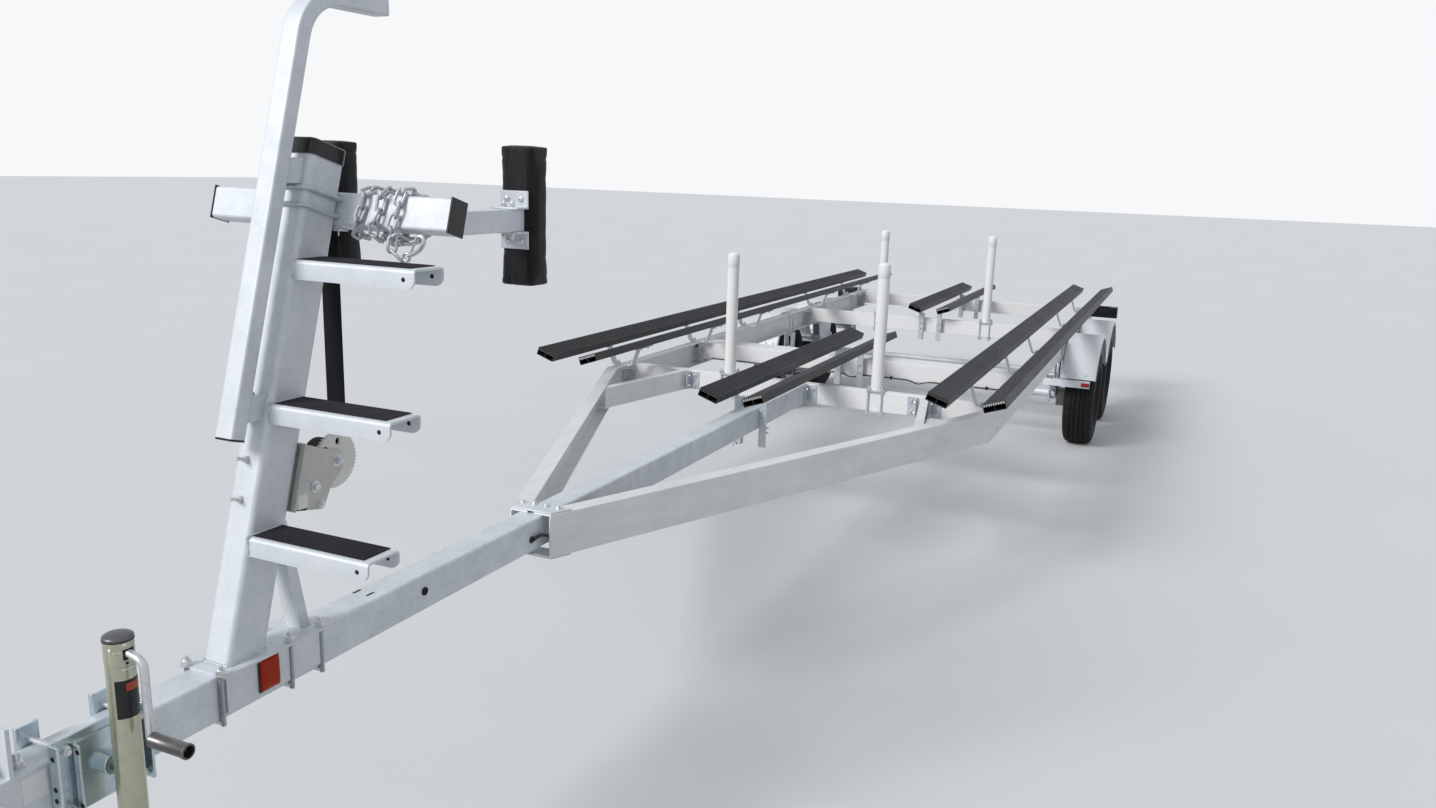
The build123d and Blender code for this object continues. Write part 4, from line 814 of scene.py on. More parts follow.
def draw_dust(graph: Graph, given: dict[str, Socket]) -> tuple[Socket, Socket, Socket]:
    """Draws dry dust: patchy, and thickest on the faces that look up.

    Args:
        graph: The group's node tree.
        given: The sockets of the group's inputs, by name.

    Returns:
        The colour, the roughness and the height.
    """
    patch = graph.span(graph.noise(given["Vector"], 7.0, 6.0, 0.65), 0.38, 0.72)
    speck = graph.span(graph.noise(given["Vector"], 190.0, 2.0), 0.5, 0.72)
    lying = graph.span(graph.upness(), -0.3, 1.0, 0.35, 1.0)
    mask = graph.maths("MULTIPLY", graph.total((patch, 0.7), (speck, 0.3)), lying)
    mask = graph.maths("MULTIPLY", mask, given["Amount"])
    return graph.mix(mask, given["Color"], given["Dust"]), graph.total((given["Roughness"], 1.0), (mask, 0.35)), mask


def draw_grain(graph: Graph, given: dict[str, Socket]) -> tuple[Socket, Socket, Socket]:
    """Draws moulded plastic: a leathery grain, faint flow clouds and shallow scuffs.

    Args:
        graph: The group's node tree.
        given: The sockets of the group's inputs, by name.

    Returns:
        The colour, the roughness and the height.
    """
    vector = given["Vector"]
    cloud = graph.span(graph.noise(vector, 5.0, 4.0), 0.35, 0.65)
    scuff = graph.span(graph.noise(graph.scaled(vector, 3.0, 40.0, 40.0), 5.0, 5.0, 0.7), 0.6, 0.74)
    mixed = graph.total((cloud, 0.6), (scuff, 0.4))
    rough = graph.total((given["Roughness"], 1.0), (mixed, 0.12))
    return graph.mix(mixed, given["Dark"], given["Pale"]), rough, graph.noise(vector, given["Scale"], 3.0, 0.6)


def draw_pile(graph: Graph, given: dict[str, Socket]) -> tuple[Socket, Socket, Socket]:
    """Draws needle-punched carpet: short tangled fibres in two sizes, with lint.

    Args:
        graph: The group's node tree.
        given: The sockets of the group's inputs, by name.

    Returns:
        The colour, the roughness and the height.
    """
    vector = given["Vector"]
    warp = graph.add("TexNoise", {"Vector": vector, "Scale": 60.0, "Detail": 3.0}).outputs["Color"]
    tangled = graph.add("Mix", {0: 0.06, 4: vector, 5: warp}, data_type="VECTOR").outputs[1]
    tuft = graph.add("TexVoronoi", {"Vector": tangled, "Scale": given["Scale"]}, feature="F1").outputs["Distance"]
    fibre = graph.noise(tangled, 900.0, 3.0, 0.7)
    lint = graph.span(graph.noise(vector, 130.0, 2.0), 0.66, 0.76)
    mixed = graph.total((graph.span(fibre, 0.3, 0.7), 0.6), (lint, 0.4))
    height = graph.total((tuft, -0.6), (fibre, 0.5))
    return graph.mix(mixed, given["Dark"], given["Pale"]), graph.span(fibre, 0.0, 1.0, 0.86, 1.0), height


def draw_web(graph: Graph, given: dict[str, Socket]) -> tuple[Socket, Socket, Socket]:
    """Draws flat webbing from a UV map: herringbone ribs, where v runs across the band in metres.

    Args:
        graph: The group's node tree.
        given: The sockets of the group's inputs, by name.

    Returns:
        The colour, the roughness and the height.
    """
    axes = graph.add("SeparateXYZ", {"Vector": given["Vector"]})
    rib = graph.zigzag(axes.outputs[1], 180.0)
    pick = graph.zigzag(graph.total((axes.outputs[0], 420.0), (rib, 1.4)), 1.0)
    height = graph.total((rib, 1.1), (pick, 0.9))
    colour = graph.mix(graph.span(height, 0.1, 0.9), given["Dark"], given["Pale"])
    return colour, graph.span(pick, 0.0, 0.5, 0.8, 0.62), height


def draw_shaded_notches(graph: Graph, given: dict[str, Socket]) -> tuple[Socket, Socket, Socket]:
    """Draws the fine notches across a ribbed top: one every 12 mm of X, on the faces that look up, each pressed in as a
    bump and darkened with painted shade.

    Args:
        graph: The group's node tree.
        given: The sockets of the group's inputs, by name.

    Returns:
        The colour, the roughness and the height.
    """
    x = graph.add("SeparateXYZ", {"Vector": given["Vector"]}).outputs[0]
    mask = graph.maths("MULTIPLY", graph.span(graph.zigzag(x, 85.0), 0.3, 0.42), graph.span(graph.upness(), 0.5, 0.8))
    # Painted shade: the colour goes to near black inside each notch.
    colour = graph.mix(graph.maths("MULTIPLY", mask, 0.75), given["Color"], (0.004, 0.004, 0.005))
    return colour, given["Roughness"], graph.total((given["Height"], 0.12), (mask, -1.0))


class Grain(Enum):
    """Which way a finish's lines run, as the turn of its coordinates."""

    ALONG = (0.0, 0.0, 0.0)
    ACROSS = (0.0, 0.0, math.pi / 2)


@dataclass(frozen=True)
class Finish:
    """A finish: its colours, its gloss and how deep its relief is, in metres."""

    name: str
    slot: str
    pale: Triple
    dark: Triple
    roughness: float = 0.5
    metallic: float = 0.0
    relief: float = 0.0002
    dust: float = 0.25
    coat: float = 0.0
    specular: float = 0.5
    run: Grain = Grain.ALONG

    pattern = ("moulded_grain", draw_grain)

    def measures(self) -> dict[str, float]:
        """Returns the inputs that only this kind of pattern has."""
        return {}

    def gloss(self) -> dict[str, float]:
        """Returns the shader's inputs that only this kind of finish sets."""
        return {}

    def surface(self, graph: Graph, vector: Socket) -> Node:
        """Adds the group that draws this kind of surface.

        Args:
            graph: The material's node tree.
            vector: The pattern's coordinates.

        Returns:
            The group's node.
        """
        values = {"Vector": vector, "Pale": self.pale, "Dark": self.dark, "Roughness": self.roughness,
                  **self.measures()}
        return graph.effect(*self.pattern, values)

    def coordinates(self, graph: Graph) -> Socket:
        """Returns the object coordinates, turned so that X runs along the piece's lines."""
        source = graph.add("TexCoord").outputs["Object"]
        return graph.add("Mapping", {"Vector": source, "Rotation": self.run.value}).outputs[0]

    def material(self) -> bpy.types.Material:
        """Returns the finish as a material, built the first time that it is asked for."""
        if self.name in bpy.data.materials:
            return bpy.data.materials[self.name]
        material = bpy.data.materials.new(self.name)
        material.use_nodes = True
        graph = Graph(material.node_tree)
        surface = self.surface(graph, self.coordinates(graph)).outputs
        dust = graph.effect("dry_dust", draw_dust, {
            "Vector": graph.add("TexCoord").outputs["Object"], "Color": surface["Color"], "Dust": DUST_COLOUR,
            "Roughness": surface["Roughness"], "Amount": self.dust}).outputs
        bump = graph.add("Bump", {"Height": surface["Height"], "Distance": self.relief, "Strength": 1.0})
        shader = graph.add("BsdfPrincipled", {
            "Base Color": dust["Color"], "Roughness": dust["Roughness"], "Metallic": self.metallic,
            "Coat Weight": self.coat,
            "Specular IOR Level": self.specular, "Normal": bump.outputs["Normal"], **self.gloss()})
        graph.add("OutputMaterial", {"Surface": shader.outputs[0]})
        return material


@dataclass(frozen=True)
class Zinc(Finish):
    """Galvanised or plated steel, with crystals and clouds of a size of its own."""

    crystals: float = 120.0
    clouds: float = 14.0

    pattern = ("zinc_spangle", draw_spangle)

    def measures(self) -> dict[str, float]:
        """Returns how fine the crystals and clouds are."""
        return {"Crystals": self.crystals, "Clouds": self.clouds}


@dataclass(frozen=True)
class Drawn(Finish):
    """Mill finish aluminium, with its die lines along the piece."""

    pattern = ("drawn_metal", draw_streaks)


@dataclass(frozen=True)
class Moulded(Finish):
    """Moulded or painted material, with a grain of a size of its own."""

    grain: float = 500.0

    def measures(self) -> dict[str, float]:
        """Returns how fine the grain is."""
        return {"Scale": self.grain}


@dataclass(frozen=True)
class Ribbed(Moulded):
    """Moulded plastic with notches across its ribbed top, darkened with painted shade."""

    def surface(self, graph: Graph, vector: Socket) -> Node:
        """Adds the grain group, and the notches with their painted shade over it.

        Args:
            graph: The material's node tree.
            vector: The pattern's coordinates.

        Returns:
            The node of the notches.
        """
        grain = super().surface(graph, vector).outputs
        return graph.effect("cross_notches_painted_shade", draw_shaded_notches, {"Vector": vector, **{key: grain[key] for key in RESULTS}})


@dataclass(frozen=True)
class Carpet(Moulded):
    """Needle-punched carpet, whose fibres catch a soft light at a grazing angle."""

    grain: float = 420.0

    pattern = ("carpet_pile", draw_pile)

    def gloss(self) -> dict[str, float]:
        """Returns the fibres' sheen."""
        return {"Sheen Weight": 0.25, "Sheen Roughness": 0.6}


@dataclass(frozen=True)
class Webbing(Finish):
    """Woven polyester band, drawn from its own UV map in metres."""

    pattern = ("woven_band", draw_web)

    def coordinates(self, graph: Graph) -> Socket:
        """Returns the band's UV map."""
        return graph.add("UVMap", uv_map="band").outputs[0]


@dataclass(frozen=True)
class Lens(Moulded):
    """Coloured lamp plastic with fine moulded flutes behind a smooth clear skin."""

    grain: float = 260.0

    def gloss(self) -> dict[str, float]:
        """Returns the gloss of the clear skin."""
        return {"Coat Roughness": 0.08}


DUST_COLOUR = (0.42, 0.38, 0.31)
GALVANISED = Zinc("hot_dip_zinc", "galvanised_steel", (0.77, 0.795, 0.83), (0.61, 0.645, 0.69), 0.5, 0.22, 0.00025,
                  0.06)
GALVANISED_TONGUE = Zinc("mottled_zinc", "galvanised_steel", (0.78, 0.815, 0.855), (0.56, 0.605, 0.655), 0.46, 0.28,
                         0.0003, 0.08,
                         crystals=90.0, clouds=9.0)
SMALL_ZINC = Zinc("dipped_fittings", "galvanised_steel", (0.72, 0.75, 0.79), (0.4, 0.44, 0.49), 0.44, 0.4, 0.00012, 0.1,
                  crystals=160.0, clouds=26.0)
# Painted shade: a darkened zinc for the saddle's bolt rods, which stand in shade beside the tongue.
SHADED_ROD_ZINC = Zinc("painted_shade_rods", "zinc_plate", (0.34, 0.36, 0.39), (0.2, 0.215, 0.24), 0.45, 0.4, 0.00008, 0.08,
                 crystals=300.0, clouds=40.0)
BOLT_ZINC = Zinc("bright_fasteners", "zinc_plate", (0.8, 0.81, 0.82), (0.56, 0.57, 0.58), 0.32, 0.75, 0.00005, 0.06,
                 crystals=600.0, clouds=90.0)
BLUE_ZINC = Zinc("blue_plate", "zinc_plate", (0.64, 0.72, 0.76), (0.44, 0.53, 0.57), 0.24, 0.8, 0.00004, 0.06,
                 crystals=60.0, clouds=8.0)
CHAIN_ZINC = Zinc("chain_zinc", "chain_steel", (0.66, 0.68, 0.71), (0.38, 0.4, 0.43), 0.46, 0.5, 0.00015, 0.08,
                  crystals=700.0, clouds=120.0)
OLIVE_ZINC = Zinc("dark_castings", "zinc_plate", (0.16, 0.16, 0.145), (0.07, 0.07, 0.062), 0.48, 0.5, 0.0001, 0.2,
                  crystals=500.0, clouds=40.0)
JACK_ZINC = Zinc("jack_tube_zinc", "zinc_plate", (0.54, 0.54, 0.42), (0.38, 0.385, 0.28), 0.26, 0.78, 0.00004, 0.06,
                 crystals=60.0, clouds=7.0)
ALUMINIUM = Drawn("mill_aluminium_along", "mill_aluminium", (0.87, 0.87, 0.86), (0.71, 0.71, 0.71), 0.42, 0.2, 0.00006,
                  0.08)
ALUMINIUM_ACROSS = Drawn("mill_aluminium_across", "mill_aluminium", (0.89, 0.89, 0.89), (0.77, 0.77, 0.775), 0.46, 0.12,
                         0.00006,
                         0.06, run=Grain.ACROSS)
BUNK_BLACK = Ribbed("ribbed_bunk_plastic", "bunk_plastic", (0.034, 0.0345, 0.038), (0.016, 0.0165, 0.018), 0.42, 0.0,
                    0.0009, 0.02,
                    grain=700.0, specular=0.35)
# Painted highlight and painted shade: one plastic's cut cell walls, pale on one bunk of each pair and dark on the
# other.
LIT_CELL_ENDS = Moulded("painted_highlight_cell_ends", "bunk_plastic", (0.56, 0.56, 0.56), (0.42, 0.42, 0.42), 0.5, 0.0, 0.0002,
                      0.05, grain=900.0)
SHADED_CELL_ENDS = Moulded("painted_shade_cell_ends", "bunk_plastic", (0.06, 0.06, 0.062), (0.035, 0.035, 0.037), 0.4, 0.0,
                       0.0002, 0.05,
                       grain=900.0)
BLACK_PLASTIC = Moulded("black_moulding", "black_plastic", (0.009, 0.009, 0.01), (0.004, 0.004, 0.005), 0.24, 0.0,
                        0.00005, 0.01,
                        grain=900.0, coat=0.35, specular=0.3)
WHITE_PIPE = Moulded("white_pipe", "white_plastic", (0.875, 0.875, 0.87), (0.83, 0.83, 0.82), 0.34, 0.0, 0.00002, 0.06,
                     grain=90.0, coat=0.15)
FENDER_SHEET = Moulded("fender_sheet", "fender_metal", (0.8, 0.825, 0.865), (0.73, 0.757, 0.8), 0.5, 0.06, 0.00006,
                       0.08,
                       grain=120.0)
GRIT = Moulded("grit_tape", "grip_tape", (0.034, 0.031, 0.039), (0.014, 0.013, 0.018), 0.92, 0.0, 0.0006, 0.05,
               grain=1100.0,
               specular=0.2)
CARPET = Carpet("black_carpet_wrap", "black_carpet", (0.008, 0.008, 0.009), (0.002, 0.002, 0.0025), 0.97, 0.0, 0.0012,
                0.008,
                specular=0.08)
STRAP = Webbing("winch_webbing", "black_webbing", (0.011, 0.011, 0.013), (0.004, 0.004, 0.005), 0.75, 0.0, 0.0005, 0.01,
                specular=0.15)
RUBBER = Moulded("tyre_rubber", "tyre", (0.016, 0.016, 0.017), (0.008, 0.008, 0.0085), 0.7, 0.0, 0.0002, 0.035,
                 grain=260.0,
                 specular=0.22)
WHEEL_SILVER = Moulded("wheel_silver_paint", "wheel_silver", (0.66, 0.67, 0.69), (0.54, 0.55, 0.57), 0.34, 0.5, 0.00003,
                       0.15,
                       grain=300.0, coat=0.3)
JACK_CAP = Moulded("jack_dome", "jack_cap", (0.19, 0.19, 0.2), (0.12, 0.12, 0.128), 0.3, 0.7, 0.00004, 0.06,
                   grain=400.0)
GUNMETAL = Moulded("crank_grip_metal", "jack_cap", (0.2, 0.188, 0.188), (0.11, 0.104, 0.106), 0.28, 0.85, 0.00005, 0.06,
                   grain=500.0)
WHITE_GEAR = Moulded("winch_gear_paint", "wheel_silver", (0.82, 0.81, 0.78), (0.72, 0.71, 0.68), 0.5, 0.1, 0.00005,
                     0.08, grain=500.0)
WINCH_ZINC = Zinc("winch_plate_zinc", "zinc_plate", (0.6, 0.595, 0.56), (0.45, 0.445, 0.42), 0.38, 0.45, 0.00005, 0.06,
                  crystals=120.0, clouds=14.0)
AMBER = Lens("amber_lamp_skin", "amber_lens", (0.6, 0.045, 0.003), (0.4, 0.024, 0.002), 0.26, 0.0, 0.0004, 0.0,
             coat=0.2,
             specular=0.1)
RED = Lens("red_lens", "amber_lens", (0.52, 0.02, 0.013), (0.28, 0.01, 0.008), 0.24, 0.0, 0.0004, 0.02, coat=0.2,
           specular=0.3)
STICKER = Moulded("blank_sticker", "white_plastic", (0.89, 0.89, 0.88), (0.84, 0.84, 0.83), 0.48, 0.0, 0.00002, 0.06,
                  grain=200.0)
LABEL = Moulded("blank_dark_label", "black_plastic", (0.012, 0.011, 0.012), (0.007, 0.006, 0.007), 0.34, 0.0, 0.00002,
                0.01,
                grain=300.0, coat=0.2, specular=0.3)
LABEL_BAND = Moulded("label_band", "amber_lens", (0.55, 0.075, 0.03), (0.4, 0.05, 0.02), 0.4, 0.0, 0.00002, 0.03,
                     grain=300.0)
# Painted shade: near black patches that stand for the shade inside holes, slots and openings.
SHADOW_BLACK = Moulded("painted_hole_shade", "black_plastic", (0.006, 0.006, 0.007), (0.003, 0.003, 0.004), 0.8, 0.0, 0.0001,
                       0.0,
                       grain=300.0)




# Sub-assemblies


@dataclass
class MainFrame:
    """The rails, crossmembers, braces and tongue, with their plates, bolts, wiring and brake line."""

    cleat_plate: float = 0.005
    bolt: float = 0.013
    brace_rear_y: float = 0.634
    beside: float = 0.053
    apex: float = 1.936
    bend: float = 4.184
    apex_half: float = 0.075
    line_radius: float = 0.0035
    loom_radius: float = 0.007

    def build(self) -> None:
        """Builds the frame's pieces and dresses its CAD nodes."""
        for node in ("side_rail_port", "side_rail_starboard"):
            rounded(node, ALUMINIUM, 0.0022, 3)
        rounded("crossmembers", ALUMINIUM_ACROSS, 0.0018)
        rounded("diagonal_braces", ALUMINIUM_ACROSS, 0.0018)
        rounded("tongue", GALVANISED_TONGUE, 0)
        rounded("apex_plates", GALVANISED_TONGUE, 0.0015)
        rounded("frame_cleats", SMALL_ZINC, 0.0012)
        fit("frame_bolts", self.bolts(), BOLT_ZINC)
        fit("apex_gussets", self.gussets(), GALVANISED_TONGUE, bevel=0.001)
        # Painted shade for the tongue's slots and holes, with the black grommet.
        fit("tongue_slot_shade", self.openings(), SHADOW_BLACK)
        fit("tongue_sticker", Shell(block((4.192, 0.0441, 0.713), (4.237, 0.0446, 0.763))), STICKER)
        fit("brake_line", self.brake_line(), BLACK_PLASTIC)
        fit("wiring_loom", self.loom(), BLACK_PLASTIC)

    def cleat_bolts(self, x: float, y: float, toward: int) -> list[Part]:
        """Makes the four bolts of one angle plate, two on each leg.

        Args:
            x: The plate's corner along X, on the crossmember's face.
            y: The plate's corner along Y.
            toward: The side that the leg on the crossmember runs to.

        Returns:
            The fasteners' parts.
        """
        middle = LAY.sheet_top - LAY.beam_h / 2
        parts = []
        for z in (middle - 0.027, middle + 0.027):
            parts += fastener(facing((x + self.cleat_plate, y + toward * 0.032, z), (1, 0, 0)), self.bolt, Head.STUD,
                              0.006)
            parts += fastener(facing((x + 0.032, y + toward * self.cleat_plate, z), (0, toward, 0)), self.bolt,
                              Head.HEX)
        return parts

    def bolts(self) -> Shell:
        """Returns every bolt of the frame's plates and cleats."""
        face = LAY.at(LAY.cross_stations[0]) + LAY.seat
        shell = Shell()
        shell.both(*self.cleat_bolts(face, LAY.tongue_half + LAY.seat, 1))
        shell.both(*self.cleat_bolts(face, self.brace_rear_y - self.cleat_plate * 2.2, -1))
        shell.both(*self.cleat_bolts(face, self.brace_rear_y + self.beside, 1))
        web = LAY.rail_out
        for station in LAY.cross_stations:
            x = LAY.at(station) + LAY.seat
            for z in (LAY.frame_top - 0.11, LAY.frame_top - 0.062):
                for dx in (0.018, 0.04):
                    shell.pair((x + dx, web, z), (0, 1, 0), self.bolt, Head.ROUND)
                shell.pair((x + 0.04, web - 0.011, z), (0, -1, 0), self.bolt, Head.HEX)
        for y in (0.022, 0.066):
            for height, direction in ((LAY.frame_top + 0.006, 1), (LAY.frame_top - LAY.rail_h - 0.006, -1)):
                shell.pair((2.541, y, height), (0, 0, direction), 0.013)
        return shell

    def gussets(self) -> Shell:
        """Returns the small upright plates that tie the rails' front ends to the tongue."""
        x = LAY.at(self.apex)
        low, high = LAY.frame_top - LAY.rail_h, LAY.frame_top
        plate = slab([(x - 0.004, low + 0.006), (x + 0.002, low + 0.012), (x + 0.002, high - 0.01),
                      (x - 0.004, high - 0.002)],
                     LYING.moved(dz=-0.0735), 0.004)
        return Shell().both(plate)

    def openings(self) -> Shell:
        """Returns the tongue's two slots and two small holes as patches of painted shade, and the grommet, a black ring
        whose hole is painted shade.
        """
        shell = Shell()
        top = LAY.sheet_top
        for x, y in ((3.329, -0.029), (3.326, 0.011)):
            shell.take(slab(softened(rectangle(x, y, 0.014, 0.0035),
                                     0.0034), Place((0, 0, top + 0.0001)), 0.0002))
        side = facing((3.159, LAY.tongue_half, 0.725), (0, 1, 0))
        shell.take(turned([(0.0115, 0), (0.0115, 0.0025), (0.0085, 0.0038), (0.006, 0.0012), (0.0006, 0.0008)], side,
                          20))
        for x in (1.06, 1.095):
            shell.take(shade_spot(0.005, facing((x, LAY.tongue_half, 0.66), (0, 1, 0)), 14))
        return shell

    def brake_line(self) -> Shell:
        """Returns the hydraulic line along the second crossmember, with its tee, clips and two slack drops."""
        beam, low = LAY.at(LAY.cross_stations[1]) + 0.0055, LAY.beam_low + 0.008
        y = np.linspace(-0.9, 0.9, 90)
        z = low - 0.019 * np.exp(-((y - 0.013) / 0.05) ** 2) - 0.018 * np.exp(-((y - 0.409) / 0.04) ** 2)
        shell = Shell(rod(np.stack([np.full(90, beam), y, z], -1), self.line_radius, (0, 0, 1), 10))
        shell.take(block((beam - 0.005, 0.604, low - 0.007), (beam + 0.01, 0.636, low + 0.007)))
        for side in (-0.75, -0.35, 0.25, 0.8):
            shell.take(block((beam - 0.005, side - 0.006, low - 0.008), (beam + 0.006, side + 0.006, low + 0.011)))
        return shell

    def loom(self) -> Shell:
        """Returns the wiring that leaves the tongue and runs back along the port rail's inner face."""
        slope = (LAY.rail_out - self.apex_half) / (self.bend - self.apex)
        z = LAY.frame_top - 0.045
        start = LAY.at(self.apex) + 0.06
        first = [(start, LAY.tongue_half + 0.006, z - 0.02), (start - 0.03, LAY.tongue_half + 0.014, z - 0.01)]
        shell = Shell(rod(bent([*first, (start - 0.08, LAY.tongue_half + 0.012, z - 0.03)], 0.02), 0.0056, (0, 0, 1),
                          12))
        shell.take(turned([(0.0115, 0), (0.0115, 0.003), (0.008, 0.0045)],
                          facing((start, LAY.tongue_half, z - 0.02), (0, 1, 0)), 18))
        run = np.linspace(0.16, 2.15, 40)
        inside = 0.014
        path = np.stack([LAY.at(self.apex + run), self.apex_half + run * slope - inside * math.hypot(1, slope),
                         z - 0.05 + 0.006 * np.sin(run * 7)], -1)
        return shell.take(rod(path, self.loom_radius, (0, 0, 1), 10))


@dataclass
class Bunks:
    """The tilted hollow plastic bunks: outer pairs on the rails and a pair down the middle."""

    width: float = 0.097
    depth: float = 0.04
    tilt: float = math.radians(19)
    ribs: int = 9
    groove: float = 0.0034
    wall: float = 0.0022
    outer_gap: float = 0.068
    outer_low: float = 0.91
    centre_gap: float = 0.054
    centre_low: float = 0.857
    rail_y: float = 0.98

    def section(self) -> tuple[np.ndarray, list[np.ndarray]]:
        """Returns the outline of the extrusion and its cells, with X across and Y down from the ribbed top.

        The top runs in ribs: each is flat at the surface, drops down its side to the groove's floor and
        rises again. Nine small cells lie in a row under the ribs and two large cells under them.
        """
        pitch = self.width / self.ribs
        top = []
        for index in range(self.ribs):
            start = index * pitch
            top += [(start + 0.0026, 0), (start + pitch - 0.0026, 0)]
            if index < self.ribs - 1:
                top += [(start + pitch - 0.002, -self.groove), (start + pitch + 0.002, -self.groove)]
        body = [(self.width, -0.002), (self.width, -self.depth + 0.002), (self.width - 0.002, -self.depth),
                (0.002, -self.depth), (0, -self.depth + 0.002), (0, -0.002)]
        outline = np.array(top + body)[::-1]
        small = np.linspace(self.wall, self.width - self.wall, 10)
        cells = []
        for left, right in zip(small[:-1], small[1:]):
            cells.append(np.array([(left + 0.001, -0.0052), (right - 0.001, -0.0052), (right - 0.001, -0.0118),
                                   (left + 0.001, -0.0118)]))
        middle = self.width / 2
        for left, right in ((self.wall + 0.0008, middle - 0.0014), (middle + 0.0014, self.width - self.wall - 0.0008)):
            square = [(left, -0.015), (right, -0.015), (right, -self.depth + 0.003), (left, -self.depth + 0.003)]
            cells.append(softened(square, 0.002, 3))
        return outline, cells

    def lying(self, x: float, side: int, middle: float, gap: float, low: float) -> Place:
        """Gives a bunk's own axes: across its top, up from it and along the trailer.

        Args:
            x: The place's X.
            side: The side of its pair's middle that the bunk lies on.
            middle: The Y of that middle.
            gap: The distance from it to the bunk's low top edge.
            low: The height of that edge.

        Returns:
            The place of that edge.
        """
        c, s = math.cos(self.tilt), math.sin(self.tilt)
        return Place((x, middle + side * gap, low), (0, side * c, s), (0, -side * s, c), (1, 0, 0))

    def teeth(self, place: Place) -> list[Part]:
        """Makes the cut faces of the small cells, thin plates that stand out on a bunk's end.

        Args:
            place: The bunk's own axes at its end.

        Returns:
            Thin plates on the end.
        """
        edges = np.linspace(self.wall, self.width - self.wall, 10)
        plates = []
        for across in (edges[1:] + edges[:-1]) / 2:
            plates.append(block((across - 0.0031, -0.0145, 0), (across + 0.0031, -0.0042, 0.0005), place))
        return plates

    def build(self) -> None:
        """Builds the bunks and their sawn ends, whose teeth carry a painted highlight on one bunk of each pair and
        painted shade on the other.
        """
        joint = LAY.at(6.08)
        runs = {
            "bunks_port": (self.rail_y, self.outer_gap, self.outer_low, [(3.716, 6.08), (6.084, 9.13)]),
            "bunks_starboard": (-self.rail_y, self.outer_gap, self.outer_low, [(3.716, 6.08), (6.084, 9.13)]),
            "bunks_centre": (0, self.centre_gap, self.centre_low, [(3.492, 5.72), (7.215, 9.13)]),
        }
        sawn = {1: Shell(), -1: Shell()}
        outline, cells = self.section()
        for node, (middle, gap, low, spans) in runs.items():
            shell = Shell()
            for front, rear in spans:
                for side in SIDES:
                    place = self.lying(LAY.at(rear), side, middle, gap, low)
                    shell.take(slab(outline, place, LAY.at(front) - LAY.at(rear), cells))
                    if LAY.at(front) > joint or middle == 0.0:
                        sawn[side].take(*self.teeth(self.lying(LAY.at(front), side, middle, gap, low)))
            fit(node + "_ribbed", shell, BUNK_BLACK, replaces=[node])
        # Teeth on the bunk at the +Y side of each pair get the painted highlight, the others painted shade.
        fit("bunk_end_edges", sawn[1], LIT_CELL_ENDS)
        fit("bunk_end_edges_shaded", sawn[-1], SHADED_CELL_ENDS)


@dataclass
class Cradles:
    """The bent flat bars on the rails that carry the outer bunks, with their bolts."""

    stations: tuple[float, ...] = (4.275, 5.235, 6.048, 7.445, 8.395)
    strap: float = 0.05
    thick: float = 0.006
    rail_y: float = 0.98
    bend_y: float = 0.0851
    bend_z: float = 0.8733
    tilt: float = math.radians(19)

    def band(self) -> np.ndarray:
        """Returns the outline of half a bar, base to bunk, from its upper face: a line thickened downwards."""
        base = (0, LAY.frame_top + LAY.seat + self.thick)
        line = np.array([base, (0.052, base[1]), (self.bend_y, self.bend_z), (0.1655, 0.901)])
        upper = bent(line, 0.01, 6)
        ahead = unit(np.gradient(upper, axis=0))
        down = np.stack([ahead[:, 1], -ahead[:, 0]], -1)
        return np.concatenate([upper, (upper + down * self.thick)[::-1]])

    def build(self) -> None:
        """Builds the bars, their bunk bolts and their base bolts."""
        bars, bolts = Shell(), Shell()
        half = self.band()
        for station in self.stations:
            rear = LAY.at(station + self.strap)
            place = Place((rear, self.rail_y, 0), (0, 1, 0), (0, 0, 1), (1, 0, 0))
            other = Place((rear, self.rail_y, 0), (0, -1, 0), (0, 0, 1), (1, 0, 0))
            bars.both(slab(half, place, self.strap), slab(half, other, self.strap))
            middle = rear + self.strap / 2
            for y in (-0.03, 0.03):
                bolts.pair((middle, self.rail_y + y, LAY.frame_top + LAY.seat + self.thick), (0, 0, 1), 0.016,
                           Head.STUD, 0.008)
            c, s = math.cos(self.tilt), math.sin(self.tilt)
            for side in SIDES:
                for across in (0.105, 0.146):
                    y = self.rail_y + side * across
                    z = self.bend_z + (across - self.bend_y) * math.tan(self.tilt) - self.thick / c
                    bolts.pair((middle, y, z), (0, side * s, -c), 0.011)
        fit("bunk_cradles_bent", bars, GALVANISED, bevel=0.001, replaces=["bunk_cradles"])
        fit("bunk_cradle_bolts", bolts, BOLT_ZINC)


@dataclass
class KeelLegs:
    """The angle legs under the middle bunks."""

    front_station: float = 3.732
    size: float = 0.036
    carrier: float = 0.0443

    def build(self) -> None:
        """Dresses the legs and builds their bolts and plates."""
        rounded("bunk_legs", SMALL_ZINC, 0.0012)
        bolts = Shell()
        x = LAY.at(self.front_station)
        for z in (0.756, 0.735):
            for dx in (-0.008, -0.027):
                bolts.pair((x + dx, self.carrier + 0.005, z), (0, 1, 0), 0.011)
        for z in (0.676, 0.652):
            place = facing((x - 0.018, self.carrier + 0.005, z), (0, 1, 0))
            bolts.both(*fastener(place, 0.012, Head.STUD, 0.03))
        for station in LAY.cross_stations[1:]:
            face = LAY.at(station) + 0.0003
            for z in (LAY.sheet_top - 0.03, LAY.sheet_top - 0.072):
                bolts.pair((face + self.size, 0.068, z), (1, 0, 0), 0.012, Head.STUD, 0.008)
        fit("bunk_leg_bolts", bolts, BOLT_ZINC)


